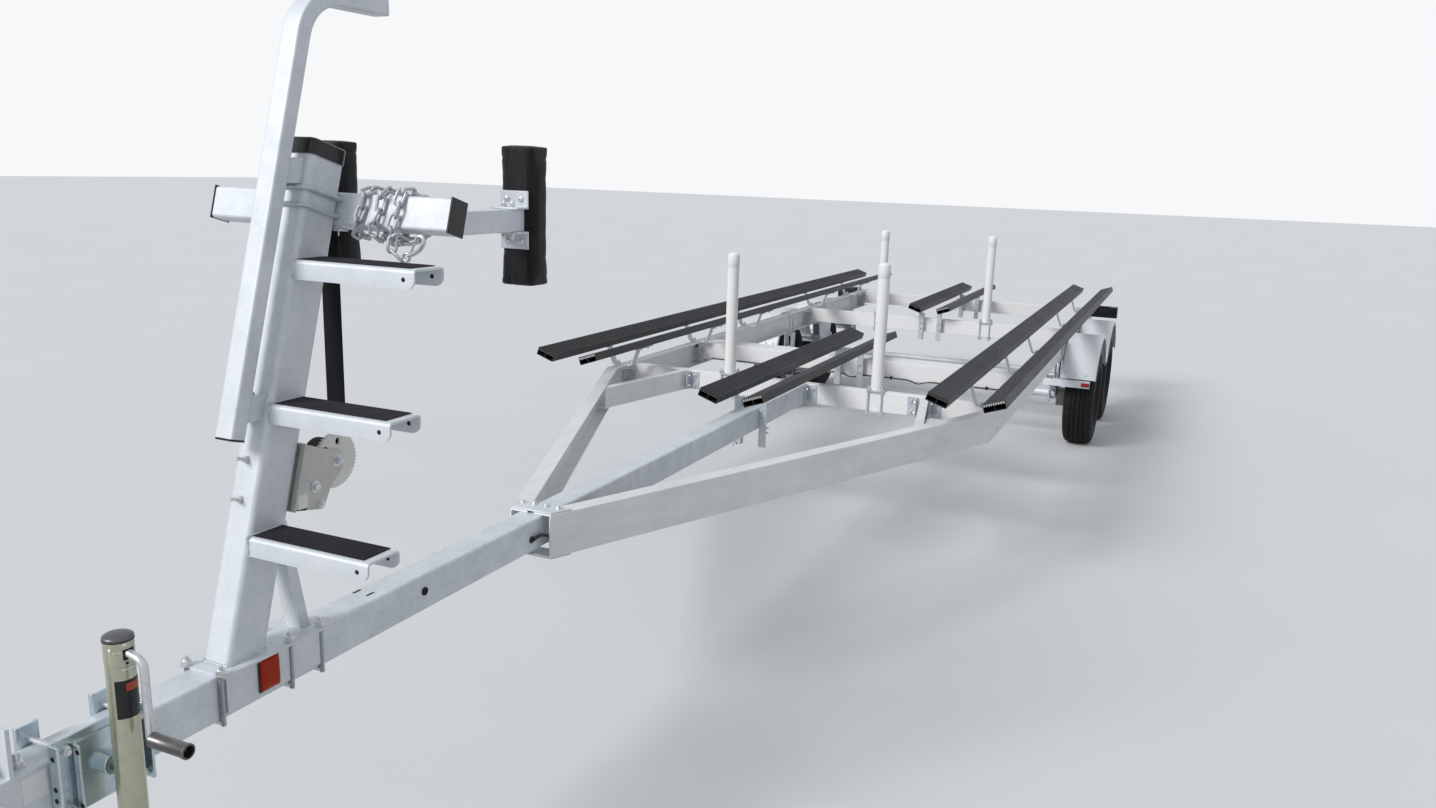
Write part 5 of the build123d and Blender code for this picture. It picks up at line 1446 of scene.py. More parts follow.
@dataclass
class GuidePosts:
    """The four white guide tubes with their domed caps and the clamps that hold them."""

    stations: tuple[float, float] = (4.395, 7.322)
    y: float = 0.403
    height: float = 0.635
    radius: float = 0.03015
    cap_radius: float = 0.0313
    cap_height: float = 0.076
    rod_reach: float = 0.0303
    rod_space: float = 0.035

    def build(self) -> None:
        """Builds the tubes and caps, dresses the clamps and adds their nuts."""
        posts, nuts = Shell(), Shell()
        rounded("guide_clamps", SMALL_ZINC, 0.0012)
        base = LAY.sheet_top + LAY.seat + 0.006
        for station in self.stations:
            for side in SIDES:
                place = Place((LAY.at(station) - 0.025, side * self.y, base))
                low = self.height - self.cap_height
                top = self.height
                r, cap = self.radius, self.cap_radius
                posts.take(turned([(r - 0.003, 0), (r, 0), (r, low + 0.004), (r - 0.003, low + 0.004)], place, 56))
                profile = [(r - 0.0005, low + 0.0006), (cap - 0.0006, low), (cap, low + 0.001), (cap, top - 0.0175),
                           (cap - 0.0008, top - 0.015)]
                rise = np.linspace(0.08, 1.47, 9)
                dome = [(cap * math.cos(a) * 0.98, top - 0.014 + 0.014 * math.sin(a)) for a in rise]
                posts.take(turned(profile + dome, place, 56))
                for dx in (-self.rod_reach, self.rod_reach):
                    for dy in (-self.rod_space, self.rod_space):
                        nuts.take(*fastener(place.moved(dx, dy, 0), 0.0165, Head.STUD, 0.01))
                        under = place.moved(dx, dy, -0.006 - LAY.seat * 2 - LAY.beam_h - 0.006)
                        nuts.bolt(under.origin, (0, 0, -1), 0.0165, Head.STUD, 0.01)
        fit("guide_posts_capped", posts, WHITE_PIPE, replaces=["guide_posts"])
        fit("guide_clamp_nuts", nuts, BOLT_ZINC)


@dataclass
class Wheel:
    """One wheel: a radial trailer tyre on a vented steel rim, with its hub, brake disc and nuts."""

    name: str
    axle: int
    side: int
    radius: float = 0.332
    half: float = 0.1015
    bead: float = 0.1777
    middle: float = 1.1565
    columns: int = 240
    nut_circle: float = 0.05715
    rotor: float = 0.124
    rotor_in: float = -0.0945
    rotor_thick: float = 0.02

    @property
    def place(self) -> Place:
        """The wheel's centre, with Z looking away from the trailer.

        Returns:
            The place.
        """
        x = LAY.at(LAY.axle_stations[self.axle])
        return Place((x, self.side * self.middle, LAY.hub_z), (1, 0, 0), (0, 0, self.side),
                     (0, -1, 0)) if self.side < 0 else \
            Place((x, self.middle, LAY.hub_z), (0, 0, 1), (1, 0, 0), (0, 1, 0))

    def half_section(self) -> np.ndarray:
        """Returns half the tyre's section from the tread's middle to the bead, as radius, height and notch depth.

        The crown drops by 4 mm over the tread; two grooves cut it on each side, the shoulder rounds over and
        the sidewall bulges out and in again to the bead, with two thin rings raised on it.
        """
        r, h = self.radius, self.half
        return np.array([
            (r, 0.000, 0), (r, 0.0125, 0), (r - 0.0075, 0.0135, 0), (r - 0.0075, 0.0195, 0), (r - 0.0002, 0.0205, 0),
            (r - 0.001, 0.04, 0), (r - 0.008, 0.041, 0), (r - 0.008, 0.0475, 0), (r - 0.0015, 0.0485, 1),
            (r - 0.003, 0.066, 1), (r - 0.0065, h * 0.78, 1), (r - 0.015, h * 0.86, 1), (r - 0.024, h * 0.905, 1),
            (r - 0.034, h * 0.93, 0), (r - 0.0355, h * 0.945, 0), (r - 0.04, h * 0.95, 0), (r - 0.0415, h * 0.945, 0),
            (r - 0.06, h * 0.985, 0), (r - 0.076, h * 0.999, 0), (r - 0.09, h * 0.99, 0), (r - 0.108, h * 0.96, 0),
            (r - 0.109, h * 0.972, 0), (r - 0.114, h * 0.965, 0), (r - 0.115, h * 0.948, 0), (r - 0.13, h * 0.895, 0),
            (self.bead + 0.015, h * 0.8, 0), (self.bead + 0.006, h * 0.72, 0), (self.bead + 0.0002, h * 0.64, 0),
        ])

    def tyre(self) -> Part:
        """Computes the tyre: radius(row, angle) = the section's radius, less the notch where a lug ends.

        Two columns in every ten of the shoulder rows are cut 5 mm deep, staggered from side to side.

        Returns:
            The tyre.
        """
        outer = self.half_section()
        inner = outer[1:][::-1] * (1, -1, 1)
        ring = np.concatenate([inner, outer])
        under = np.array([(self.bead + 0.012, self.half * 0.55, 0), (self.radius - 0.03, self.half * 0.7, 0),
                          (self.radius - 0.03, -self.half * 0.7, 0), (self.bead + 0.012, -self.half * 0.55, 0)])
        ring = np.concatenate([ring, under])
        column = np.arange(self.columns)
        stagger = np.where(ring[:, 1] > 0, 0, 5)[:, None]
        cut = ((column[None] + stagger) % 10 < 2) & (ring[:, 2:3] > 0)
        radius = ring[:, :1] - 0.005 * cut
        angle = column * TURN / self.columns
        net = swept(radius, ring[:, 1:2], angle)
        net = np.concatenate([net, net[:1]])
        return woven(self.place.put(net), capped=False)

    def barrel(self) -> Part:
        """Returns the rim's barrel as a closed section of sheet, turned about the axle."""
        b, h = self.bead, self.half * 0.62
        outside = [(b + 0.0128, -h - 0.004), (b + 0.013, -h), (b - 0.0004, -h + 0.006), (b - 0.0006, -h + 0.024),
                   (b - 0.03, -h + 0.044),
                   (b - 0.034, -0.012), (b - 0.034, 0.012), (b - 0.026, 0.024), (b - 0.0006, h - 0.024),
                   (b - 0.0004, h - 0.006),
                   (b + 0.013, h), (b + 0.0128, h + 0.004)]
        inside = [(r - 0.0035, z) for r, z in outside[1:-1]][::-1]
        return turned(outside + [(b + 0.009, h + 0.004)] + inside + [(b + 0.009, -h - 0.004)], self.place, 96,
                      closed=True)

    def dish(self) -> Shell:
        """Returns the dished centre with its vents: height(r) rises from the hub seat to the rim, then drops."""
        radius = np.array([0.04, 0.05, 0.068, 0.078, 0.09, 0.1, 0.108, 0.118, 0.128, 0.134, 0.14, 0.1435])
        height = np.array([0.012, 0.012, 0.012, 0.016, 0.026, 0.033, 0.036, 0.036, 0.032, 0.027, 0.014, 0.006])
        columns = 160
        angle = np.arange(columns) * TURN / columns
        net = swept(radius[:, None], height[:, None], angle)
        points, faces = woven(self.place.put(net), capped=False)
        grid = faces[0].reshape(len(radius) - 1, columns, 4)
        rows, across = np.mgrid[0:len(radius) - 1, 0:columns]
        reach = np.array([0, 0, 0, 0, 0, 3, 4, 4, 3, 0, 0])[rows]
        vent = np.abs((across % 20) - 9.5) < reach
        return Shell((points, [grid[~vent]]))

    def hub(self) -> Shell:
        """Returns the brake disc, the hub, the dust cap and the five nuts."""
        place, r = self.place, self.rotor
        low, high = self.rotor_in, self.rotor_in + self.rotor_thick
        disc = [(0.03, low), (r, low), (r, low + 0.007), (r - 0.012, low + 0.008), (r - 0.012, high - 0.008),
                (r, high - 0.007), (r, high),
                (0.042, high), (0.042, 0.006), (0.03, 0.006)]
        shell = Shell(turned(disc, place, 72, closed=True))
        cap = [(0.0335, 0.008), (0.034, 0.046), (0.0325, 0.051), (0.028, 0.0535), (0.012, 0.054), (0.001, 0.054)]
        shell.take(turned(cap, place, 40))
        for index in range(5):
            angle = index * TURN / 5
            spot = place.moved(self.nut_circle * math.cos(angle), self.nut_circle * math.sin(angle), 0.012)
            shell.take(turned([(0.0105, 0), (0.0118, 0.003), (0.0118, 0.014), (0.0095, 0.017), (0.006, 0.0195),
                               (0.001, 0.02)], spot, 6))
        return shell

    def build(self) -> None:
        """Builds the wheel on its own turning body."""
        body = "wheel_" + self.name
        fit("tyre_" + self.name + "_tread", Shell(self.tyre()), RUBBER, body, angle=32, replaces=["tyre_" + self.name])
        fit("rim_" + self.name + "_barrel", Shell(self.barrel()), WHEEL_SILVER, body, replaces=["rim_" + self.name])
        dish = fit("rim_" + self.name + "_dish", self.dish(), WHEEL_SILVER, body)
        sheet = dish.modifiers.new("sheet", "SOLIDIFY")
        sheet.thickness = 0.004
        sheet.offset = -1.0
        fit("hub_" + self.name, self.hub(), SMALL_ZINC, body, bevel=0.0006)


@dataclass
class RunningGear:
    """The axles, springs, hangers and brakes under the rails."""

    spring_y: float = 0.962

    def hoses(self) -> Shell:
        """Returns the brake hoses: from the rail down to each caliper in one loop."""
        shell = Shell()
        for station in LAY.axle_stations:
            x = LAY.at(station)
            low = LAY.hub_z
            route = [(x + 0.22, 1.009, 0.64), (x + 0.2, 1.004, 0.56), (x + 0.185, 1.000, low + 0.12),
                     (x + 0.15, 0.988, low + 0.02),
                     (x + 0.12, 0.984, low + 0.006)]
            curve = softened_line(route)
            shell.both(rod(curve, 0.0045, (0, 1, 0), 10))
            shell.both(turned([(0.007, 0), (0.007, 0.014), (0.0048, 0.018)],
                              facing((x + 0.22, 1.0065, 0.64), (0, 0, -1)), 6))
        return shell

    def nuts(self) -> Shell:
        """Returns the nuts of the spring plates and of the hanger pins."""
        shell = Shell()
        half = 0.32
        for station in LAY.axle_stations:
            x = LAY.at(station)
            for dx in (-0.044, 0.044):
                for dy in (-0.032, 0.032):
                    spot = (x + dx, self.spring_y + dy, LAY.hub_z - 0.0403)
                    shell.pair(spot, (0, 0, -1), 0.019)
            for dx in (-half, half):
                for side in SIDES:
                    shell.pair((x + dx, self.spring_y + side * 0.0291, 0.52), (0, side, 0), 0.022)
        return shell

    def rail_bolts(self) -> Shell:
        """Returns the square bolts that clamp the hangers to the rails, with their top straps."""
        shell = Shell()
        half = 0.32
        front, rear = (LAY.at(station) for station in LAY.axle_stations)
        low, high = LAY.frame_top - LAY.rail_h, LAY.frame_top
        for x in (front + half, (front + rear) / 2, rear - half):
            for dx in (-0.034, 0.034):
                inner = LAY.rail_out - 0.0672
                route = [(x + dx, inner, low - 0.022), (x + dx, inner, high + 0.0052),
                         (x + dx, LAY.rail_out + 0.0052, high + 0.0052),
                         (x + dx, LAY.rail_out + 0.0052, low - 0.022)]
                shell.both(rod(bent(route, 0.012), 0.005, (1, 0, 0), 12))
                for y in (inner, LAY.rail_out + 0.0052):
                    shell.pair((x + dx, y, low - 0.01), (0, 0, -1), 0.016)
            shell.both(block((x - 0.05, LAY.rail_out - 0.076, low - 0.01),
                             (x + 0.05, LAY.rail_out + 0.014, low - 0.0068)))
        return shell

    def build(self) -> None:
        """Dresses the axles, springs, hangers and calipers and builds their small parts."""
        rounded("axles", GALVANISED, 0.0012)
        rounded("leaf_springs", SMALL_ZINC, 0.001)
        rounded("spring_hangers", SMALL_ZINC, 0.0012)
        rounded("brake_calipers", OLIVE_ZINC, 0.002)
        fit("brake_hoses", self.hoses(), BLACK_PLASTIC)
        fit("suspension_nuts", self.nuts(), BOLT_ZINC)
        fit("hanger_rail_bolts", self.rail_bolts(), SMALL_ZINC)


@dataclass
class Fenders:
    """The four half round fenders with rolled edges, and the brackets at their ends."""

    radius: float = 0.442
    inside: float = 1.035
    outside: float = 1.262
    start: float = math.radians(25)
    sheet: float = 0.003
    lip: float = 0.022
    roll: float = 0.012
    columns: int = 72

    def section(self) -> np.ndarray:
        """Returns the sheet's closed section as Y and radius: two lips, rolled edges and a faintly crowned top."""
        corners = [(self.inside, self.radius - self.lip), (self.inside, self.radius), (self.outside, self.radius),
                   (self.outside, self.radius - self.lip)]
        outer = bent(corners, self.roll, 7)
        outer = np.insert(outer, 8, [((self.inside + self.outside) / 2, self.radius)], 0)
        ahead = unit(np.gradient(outer, axis=0))
        inward = np.stack([ahead[:, 1], -ahead[:, 0]], -1)
        return np.concatenate([outer, (outer + inward * self.sheet)[::-1]])

    def arch(self, station: float) -> Part:
        """Carries the section round the hub: x = hub + r cos t, z = hub + r sin t, from one end angle to the other.

        Args:
            station: The station of the wheel's hub.

        Returns:
            The fender's sheet.
        """
        section = self.section()
        angle = np.linspace(self.start, math.pi - self.start, self.columns)[:, None]
        y, r = section[None, :, 0], section[None, :, 1]
        net = np.stack([LAY.at(station) + r * np.cos(angle), np.broadcast_to(y, (self.columns, len(section))),
                        LAY.hub_z + r * np.sin(angle)], -1)
        return woven(net)

    def edge_beads(self, station: float) -> list[Part]:
        """Returns the wired beads along both lips and the turned ends of one fender.

        Args:
            station: The station of the wheel's hub.

        Returns:
            The beads.
        """
        angle = np.linspace(self.start, math.pi - self.start, self.columns)
        parts = []
        for y in (self.inside + 0.0036, self.outside - 0.0036):
            r = self.radius - self.lip
            path = np.stack([LAY.at(station) + r * np.cos(angle), np.full(len(angle), y),
                             LAY.hub_z + r * np.sin(angle)], -1)
            parts.append(rod(path, 0.0034, (0, 1, 0), 10))
        return parts

    def build(self) -> None:
        """Builds the arches and their beads, and dresses the brackets."""
        shells, beads, bolts = Shell(), Shell(), Shell()
        for station in LAY.axle_stations:
            shells.both(self.arch(station))
            beads.both(*self.edge_beads(station))
        fit("fenders_rolled", shells, FENDER_SHEET, angle=50, replaces=["fenders"])
        fit("fender_edge_beads", beads, FENDER_SHEET, angle=60)
        rounded("fender_brackets", FENDER_SHEET, 0.0012)
        foot = self.radius * math.cos(self.start) + 0.006
        z = LAY.hub_z + (self.radius - self.lip) * math.sin(self.start)
        front, rear = (LAY.at(station) for station in LAY.axle_stations)
        for x, side in ((front + foot, 1), (front - foot, -1), (rear + foot, 1), (rear - foot, -1)):
            for y in (1.07, 1.13, 1.195):
                bolts.pair((x - side * 0.015, y, z - 0.0055), (0, 0, -1), 0.013, Head.STUD, 0.005)
                angle = math.atan2(z - LAY.hub_z + 0.01, foot - 0.02)
                spot = (x - side * 0.0165, y, LAY.hub_z + math.sqrt(max(self.radius ** 2 - (foot - 0.0225) ** 2, 0)))
                bolts.pair(spot, (side * math.cos(angle), 0, math.sin(angle)), 0.013, Head.ROUND)
        fit("fender_bolts", bolts, BOLT_ZINC)


@dataclass
class WinchStand:
    """The leaning post with its saddle, strut, cap, steps and handrail."""

    saddle_bolts: tuple[float, ...] = (3.817, 3.627, 3.535)
    step_depth: float = 0.096
    step_end: float = 0.3633
    step_drop: float = 0.042
    step_sheet: float = 0.005
    step_bend: float = 0.009
    step_corner: float = 0.022
    step_heights: tuple[float, ...] = (1.046, 1.32, 1.622)
    tab_heights: tuple[float, ...] = (1.313, 1.809)
    rail_x: float = 0.038
    rail_y: float = 0.05
    rail_gap: float = 0.038
    rail_start: float = 1.256

    def welds(self) -> Shell:
        """Returns the weld beads round the post's foot, at the steps and at the handrail's tabs."""
        shell = Shell()
        x, z = LAY.at(LAY.post_station), LAY.base_top + 0.001
        half_x, half_y = LAY.post_x / 2 / LAY.lean_c, LAY.post_y / 2
        ring = softened(rectangle(x, 0, half_x, half_y), 0.012)
        line = np.c_[ring, np.full(len(ring), z)]
        shell.take(weld(np.concatenate([line, line[:1]]), 0.0036, (0, 0, 1)))
        y = LAY.post_y / 2 + 0.001
        for height in self.step_heights:
            front = LAY.post_axis(height - 0.021, LAY.post_x / 2)
            for x_edge in (front - 0.0005, front - self.step_depth + 0.0005):
                shell.take(weld([(x_edge, y, height - 0.038), (x_edge, y, height)], 0.0036, (1, 0, 0)))
            shell.take(weld([(front, y, height), (front - self.step_depth, y, height)], 0.0032, (0, 0, 1)))
        for height in self.tab_heights:
            for offset in (LAY.post_x / 2 + 0.001, LAY.post_x / 2 + self.rail_gap):
                for side_y in (-0.018, 0.018):
                    ends = [(LAY.post_axis(height + dz, offset), side_y, height + dz) for dz in (-0.024, 0.024)]
                    shell.take(weld(ends, 0.0034, (0, 1, 0)))
        foot = LAY.at(LAY.post_station) - LAY.post_x / 2 / LAY.lean_c
        for side in SIDES:
            shell.take(weld([(foot - 0.141, side * 0.0225, z), (foot - 0.112, side * 0.0225, z)], 0.003, (0, 0, 1)))
        return shell

    def fasteners(self) -> Shell:
        """Returns the studs and nuts of the saddle, of the post's front and of its ties."""
        shell = Shell()
        for x in self.saddle_bolts:
            shell.both(*fastener(Place((x, LAY.tongue_half + 0.0056, LAY.base_top)), 0.0195, Head.STUD, 0.008))
        ahead = (LAY.lean_c, 0, LAY.lean_s)
        for height in (1.2, 1.117):
            spot = (LAY.post_axis(height, LAY.post_x / 2), -0.004, height)
            shell.bolt(spot, ahead, 0.0145, Head.STUD, 0.02)
        return shell

    def legs(self) -> Shell:
        """Returns the rods of the saddle's bolts beside the tongue, which carry painted shade."""
        shell = Shell()
        for x in self.saddle_bolts:
            line = [(x, LAY.tongue_half + 0.0053, z) for z in (LAY.base_top - 0.1145, LAY.base_top - 0.0005)]
            shell.both(rod(line, 0.0054, (1, 0, 0), 14))
        return shell

    def step(self, height: float) -> Part:
        """Bends one step from sheet: its section is drawn at every Y, with flanges that shorten along a quarter circle.

        Args:
            height: The height of the step's top.

        Returns:
            The step.
        """
        front = LAY.post_axis(height - 0.021, LAY.post_x / 2)
        back, thick, turn = front - self.step_depth, self.step_sheet, self.step_bend
        end, corner = self.step_end, self.step_corner
        y = np.r_[LAY.post_y / 2 + LAY.seat, end - corner + corner * np.sin(np.linspace(0, math.pi / 2, 10))]
        past = np.maximum(y - end + corner, 0) / corner
        drop = self.step_drop - corner + corner * np.sqrt(np.clip(1 - past ** 2, 0, 1))
        arc = np.linspace(0, math.pi / 2, 5)
        inner = turn - thick
        bends = [(front - turn + turn * np.cos(arc), turn * np.sin(arc)),
                 (back + turn - turn * np.sin(arc), turn * np.cos(arc)),
                 (back + turn - inner * np.cos(arc), inner * np.sin(arc)),
                 (front - turn + inner * np.sin(arc), inner * np.cos(arc))]
        rings = []
        for along, low in zip(y, drop):
            z = height - turn
            ends = [(front, height - low), None, None, (back, height - low), (back + thick, height - low), None, None,
                    (front - thick, height - low)]
            line = []
            for spot, bend in zip(ends, (None, bends[0], bends[1], None, None, bends[2], bends[3], None)):
                line += [spot] if bend is None else [(a, z + b) for a, b in zip(*bend)]
            rings.append([(a, along, b) for a, b in line])
        return woven(np.array(rings))

    def step_hole_shade(self) -> Shell:
        """Returns patches of painted shade for the holes near the outer ends of the steps' flanges."""
        shell = Shell()
        for height in self.step_heights:
            front = LAY.post_axis(height - 0.021, LAY.post_x / 2)
            for x, way in ((front, 1), (front - self.step_depth + self.step_sheet, 1), (front - self.step_depth, -1)):
                place = facing((x, self.step_end - 0.028, height - 0.022), (way, 0, 0))
                shell.take(shade_spot(0.005, place, 16))
        return shell

    def plug(self) -> Shell:
        """Returns the black plug in the handrail's lower end."""
        offset = LAY.post_x / 2 + self.rail_gap + self.rail_x / 2
        place = lean_place((LAY.post_axis(self.rail_start, offset), 0, self.rail_start))
        half_x, half_y = self.rail_x / 2, self.rail_y / 2
        outline = softened(rectangle(0, 0, half_x, half_y), 0.006)
        return Shell(slab(outline, place.moved(dz=-0.005), 0.0048))

    def build(self) -> None:
        """Dresses the post, saddle, cap, steps and handrail and builds their small parts."""
        rounded("winch_post", GALVANISED, 0)
        rounded("post_saddle", GALVANISED, 0.0014)
        rounded("end_caps", BLACK_PLASTIC, 0)
        fit("steps_bent", Shell(*[self.step(height) for height in self.step_heights]), GALVANISED, angle=40,
            replaces=["steps"])
        fit("step_hole_shade", self.step_hole_shade(), SHADOW_BLACK)
        # The saddle's rods are darkened with painted shade.
        fit("saddle_legs", self.legs(), SHADED_ROD_ZINC)
        rounded("step_treads", GRIT, 0.0004)
        rounded("handrail", GALVANISED, 0)
        fit("stand_welds", self.welds(), SMALL_ZINC, angle=60)
        fit("stand_bolts", self.fasteners(), BOLT_ZINC)
        fit("handrail_plug", self.plug(), BLACK_PLASTIC, bevel=0.0012)


@dataclass
class BowStop:
    """The crossbar clamped behind the post, with its arms, carpeted pads and the bow chain."""

    bolt_radius: float = 0.005
    bolt_space: float = 0.019
    arm_y: float = 0.295
    arm: float = 0.052
    arm_drop: float = 0.015
    pad_front: float = 3.094
    pad_x: float = 0.08
    pad_y: float = 0.097
    pad_low: float = 1.544
    pad_high: float = 1.88
    wire: float = 0.0075
    pitch: float = 0.028

    def clamps(self) -> Shell:
        """Returns the two square bolts round the post, with nuts behind the crossbar."""
        shell = Shell()
        front = LAY.bow_depth / 2 + 2 * LAY.seat + LAY.post_x + self.bolt_radius
        back = -LAY.bow_depth / 2 - LAY.seat
        half = LAY.post_y / 2 + self.bolt_radius + LAY.seat
        for z in (-self.bolt_space, self.bolt_space):
            route = [(back - 0.016, -half, z), (front, -half, z), (front, half, z), (back - 0.016, half, z)]
            shell.take(rod(BOW.put(bent(route, 0.0193, 9)), self.bolt_radius, (-LAY.lean_s, 0, LAY.lean_c), 14))
            for y in (-half, half):
                spot = BOW.put(np.array([back, y, z]))
                shell.bolt(spot, (-LAY.lean_c, 0, -LAY.lean_s), 0.016)
        return shell

    def bracket_bolts(self) -> Shell:
        """Returns the bolts of the angle brackets, through the arms and into the pads."""
        shell = Shell()
        x = self.pad_front + 0.0053
        centre = LAY.bow_z - self.arm_drop
        half = self.arm / 2 + 0.0003
        for sign in SIDES:
            for dy in (-0.02, 0.02):
                shell.pair((x + 0.024, self.arm_y + dy * 0.6, centre + sign * (half + 0.005)), (0, 0, sign), 0.012,
                           Head.STUD, 0.006)
                shell.pair((x, self.arm_y + dy, centre + sign * (half + 0.024)), (1, 0, 0), 0.012, Head.ROUND)
        return shell

    def pad_cage(self, side: int) -> Shell:
        """Returns a pad's board as a rounded block, slightly small, before it swells.

        Args:
            side: 1 for port or -1 for starboard.

        Returns:
            The block.
        """
        inset = 0.0025
        x0, x1 = self.pad_front - self.pad_x + inset, self.pad_front - inset * 0.3
        y0, y1 = self.arm_y - self.pad_y / 2 + inset, self.arm_y + self.pad_y / 2 - inset
        outline = softened([(x0, y0), (x1, y0), (x1, y1), (x0, y1)], 0.012, 5)
        shell = Shell(slab(outline, Place((0, 0, self.pad_low + inset)), self.pad_high - self.pad_low - 2 * inset))
        return shell if side > 0 else Shell(mirrored(shell.part()))

    def swell(self, obj: Object, pressure: float = 4.0, cap: float = 0.005) -> None:
        """Fills a pad's cover with light pressure and keeps the cloth's rest shape.

        Args:
            obj: The pad.
            pressure: The pressure inside it.
            cap: The furthest that a point may move.
        """
        remesh = obj.modifiers.new("voxels", "REMESH")
        remesh.mode = "VOXEL"
        remesh.voxel_size = 0.0052
        self.apply(obj)
        start = np.empty(len(obj.data.vertices) * 3)
        obj.data.vertices.foreach_get("co", start)
        cloth = obj.modifiers.new("cover", "CLOTH")
        cloth.settings.use_pressure = True
        cloth.settings.uniform_pressure_force = pressure
        cloth.settings.effector_weights.gravity = 0.0
        cloth.settings.tension_stiffness = 30.0
        cloth.settings.compression_stiffness = 30.0
        cloth.settings.bending_stiffness = 2.0
        cloth.point_cache.frame_start = 1
        cloth.point_cache.frame_end = 20
        for moment in range(1, 21):
            bpy.context.scene.frame_set(moment)
        self.apply(obj)
        bpy.context.scene.frame_set(1)
        end = np.empty_like(start)
        obj.data.vertices.foreach_get("co", end)
        move = (end - start).reshape(-1, 3)
        far = np.linalg.norm(move, axis=1, keepdims=True)
        kept = start.reshape(-1, 3) + move * np.minimum(1.0, cap / np.maximum(far, 1e-9))
        obj.data.vertices.foreach_set("co", kept.ravel())
        obj.data.update()

    @staticmethod
    def apply(obj: Object) -> None:
        """Applies every modifier of a piece, by taking its evaluated mesh.

        Args:
            obj: The piece.
        """
        graph = bpy.context.evaluated_depsgraph_get()
        mesh = bpy.data.meshes.new_from_object(obj.evaluated_get(graph), depsgraph=graph)
        obj.modifiers.clear()
        obj.data = mesh

    def seam(self, obj: Object, side: int) -> None:
        """Presses the carpet's upright seam and its folded top into a pad.

        A point near the seam's line moves inwards by d exp(-(t / w)^2), where t is its distance from the line.

        Args:
            obj: The pad.
            side: The side of the trailer that it is on.
        """
        count = len(obj.data.vertices)
        points = np.empty(count * 3)
        obj.data.vertices.foreach_get("co", points)
        points = points.reshape(-1, 3)
        centre = np.array([self.pad_front - self.pad_x / 2, side * self.arm_y, (self.pad_low + self.pad_high) / 2])
        across = points[:, 1] - centre[1]
        ahead = points[:, 0] - centre[0]
        near = np.exp(-((across + self.pad_y / 6) / 0.0042) ** 2) * (ahead > 0)
        back = np.exp(-((across - self.pad_y / 6) / 0.0042) ** 2) * (ahead < 0)
        points[:, 0] -= 0.003 * near - 0.0022 * back
        height = points[:, 2] - self.pad_high
        fold = np.exp(-((height + 0.03) / 0.0045) ** 2)
        outward = unit(np.stack([ahead / self.pad_x, across / self.pad_y, np.zeros(count)], -1))
        points -= outward * 0.0016 * fold[:, None]
        low = np.exp(-((points[:, 2] - self.pad_low - 0.022) / 0.004) ** 2)
        points -= outward * 0.0012 * low[:, None]
        wander = 0.0006 * np.sin(points[:, 2] * 37 + across * 60) * np.sin(points[:, 2] * 71 + ahead * 45)
        points += outward * wander[:, None]
        lower = np.array([self.pad_front - self.pad_x + 0.0002, -np.inf, self.pad_low + 0.0002])
        upper = np.array([self.pad_front - 0.0001, np.inf, self.pad_high - 0.0002])
        points = np.clip(points, lower, upper)
        obj.data.vertices.foreach_set("co", points.ravel())
        obj.data.update()

    def pads(self) -> None:
        """Builds the two carpeted pads."""
        for side, name in ((1, "port"), (-1, "starboard")):
            obj = placed("bow_pad_" + name, self.pad_cage(side).mesh("bow_pad_" + name))
            self.swell(obj)
            smooth = obj.modifiers.new("smooth", "SUBSURF")
            smooth.levels = smooth.render_levels = 1
            self.apply(obj)
            self.seam(obj, side)
            obj.data.shade_smooth()
            show(obj, CARPET, "trailer", ["bow_pads"])

    def chain_line(self) -> np.ndarray:
        """Returns the chain's line: three slack turns round the crossbar and an end that hangs in front of it.

        Each turn goes up the front, over the top, down the back and under, while it moves along the bar;
        the line is a smooth curve through those corners, in the bar's own axes.
        """
        fx, bx = LAY.bow_depth / 2 + 0.0085, -LAY.bow_depth / 2 - 0.0085
        top, low = LAY.bow_height / 2 + 0.0085, -LAY.bow_height / 2 - 0.0085
        spots = [(bx + 0.01, 0.09, low - 0.004)]
        for index, y in enumerate((0.112, 0.164, 0.212)):
            slack = (0.006, 0.01, 0.012)[index]
            spots += [(fx - 0.012, y - 0.012, low - slack), (fx + 0.002, y - 0.008, low + 0.012), (fx, y, 0),
                      (fx, y + 0.004, top - 0.01),
                      (0, y + 0.01, top + 0.002), (bx, y + 0.016, top - 0.01), (bx - 0.002, y + 0.022, 0),
                      (bx, y + 0.028, low + 0.01), (0, y + 0.036, low - slack - 0.004)]
        return softened_line(spots[:-1] + [(0.004, 0.226, low - 0.014), (0.032, 0.216, low - 0.012),
                                           (0.032, 0.212, low - 0.034),
                                           (0.024, 0.226, low - 0.053), (0.022, 0.246, low - 0.051)], 500)

    def link(self) -> tuple[np.ndarray, np.ndarray]:
        """Returns one link's centre line as a stadium, and the steps round its wire."""
        radius = 1.15 * self.wire
        straight = (self.pitch + self.wire) / 2 - radius
        angle = np.linspace(0, TURN, 20, endpoint=False)
        line = np.stack([radius * np.cos(angle) + straight * np.sign(np.cos(angle) + 1e-9), radius * np.sin(angle),
                         np.zeros(20)], -1)
        return line, circle(0, 0, self.wire / 2, 8)

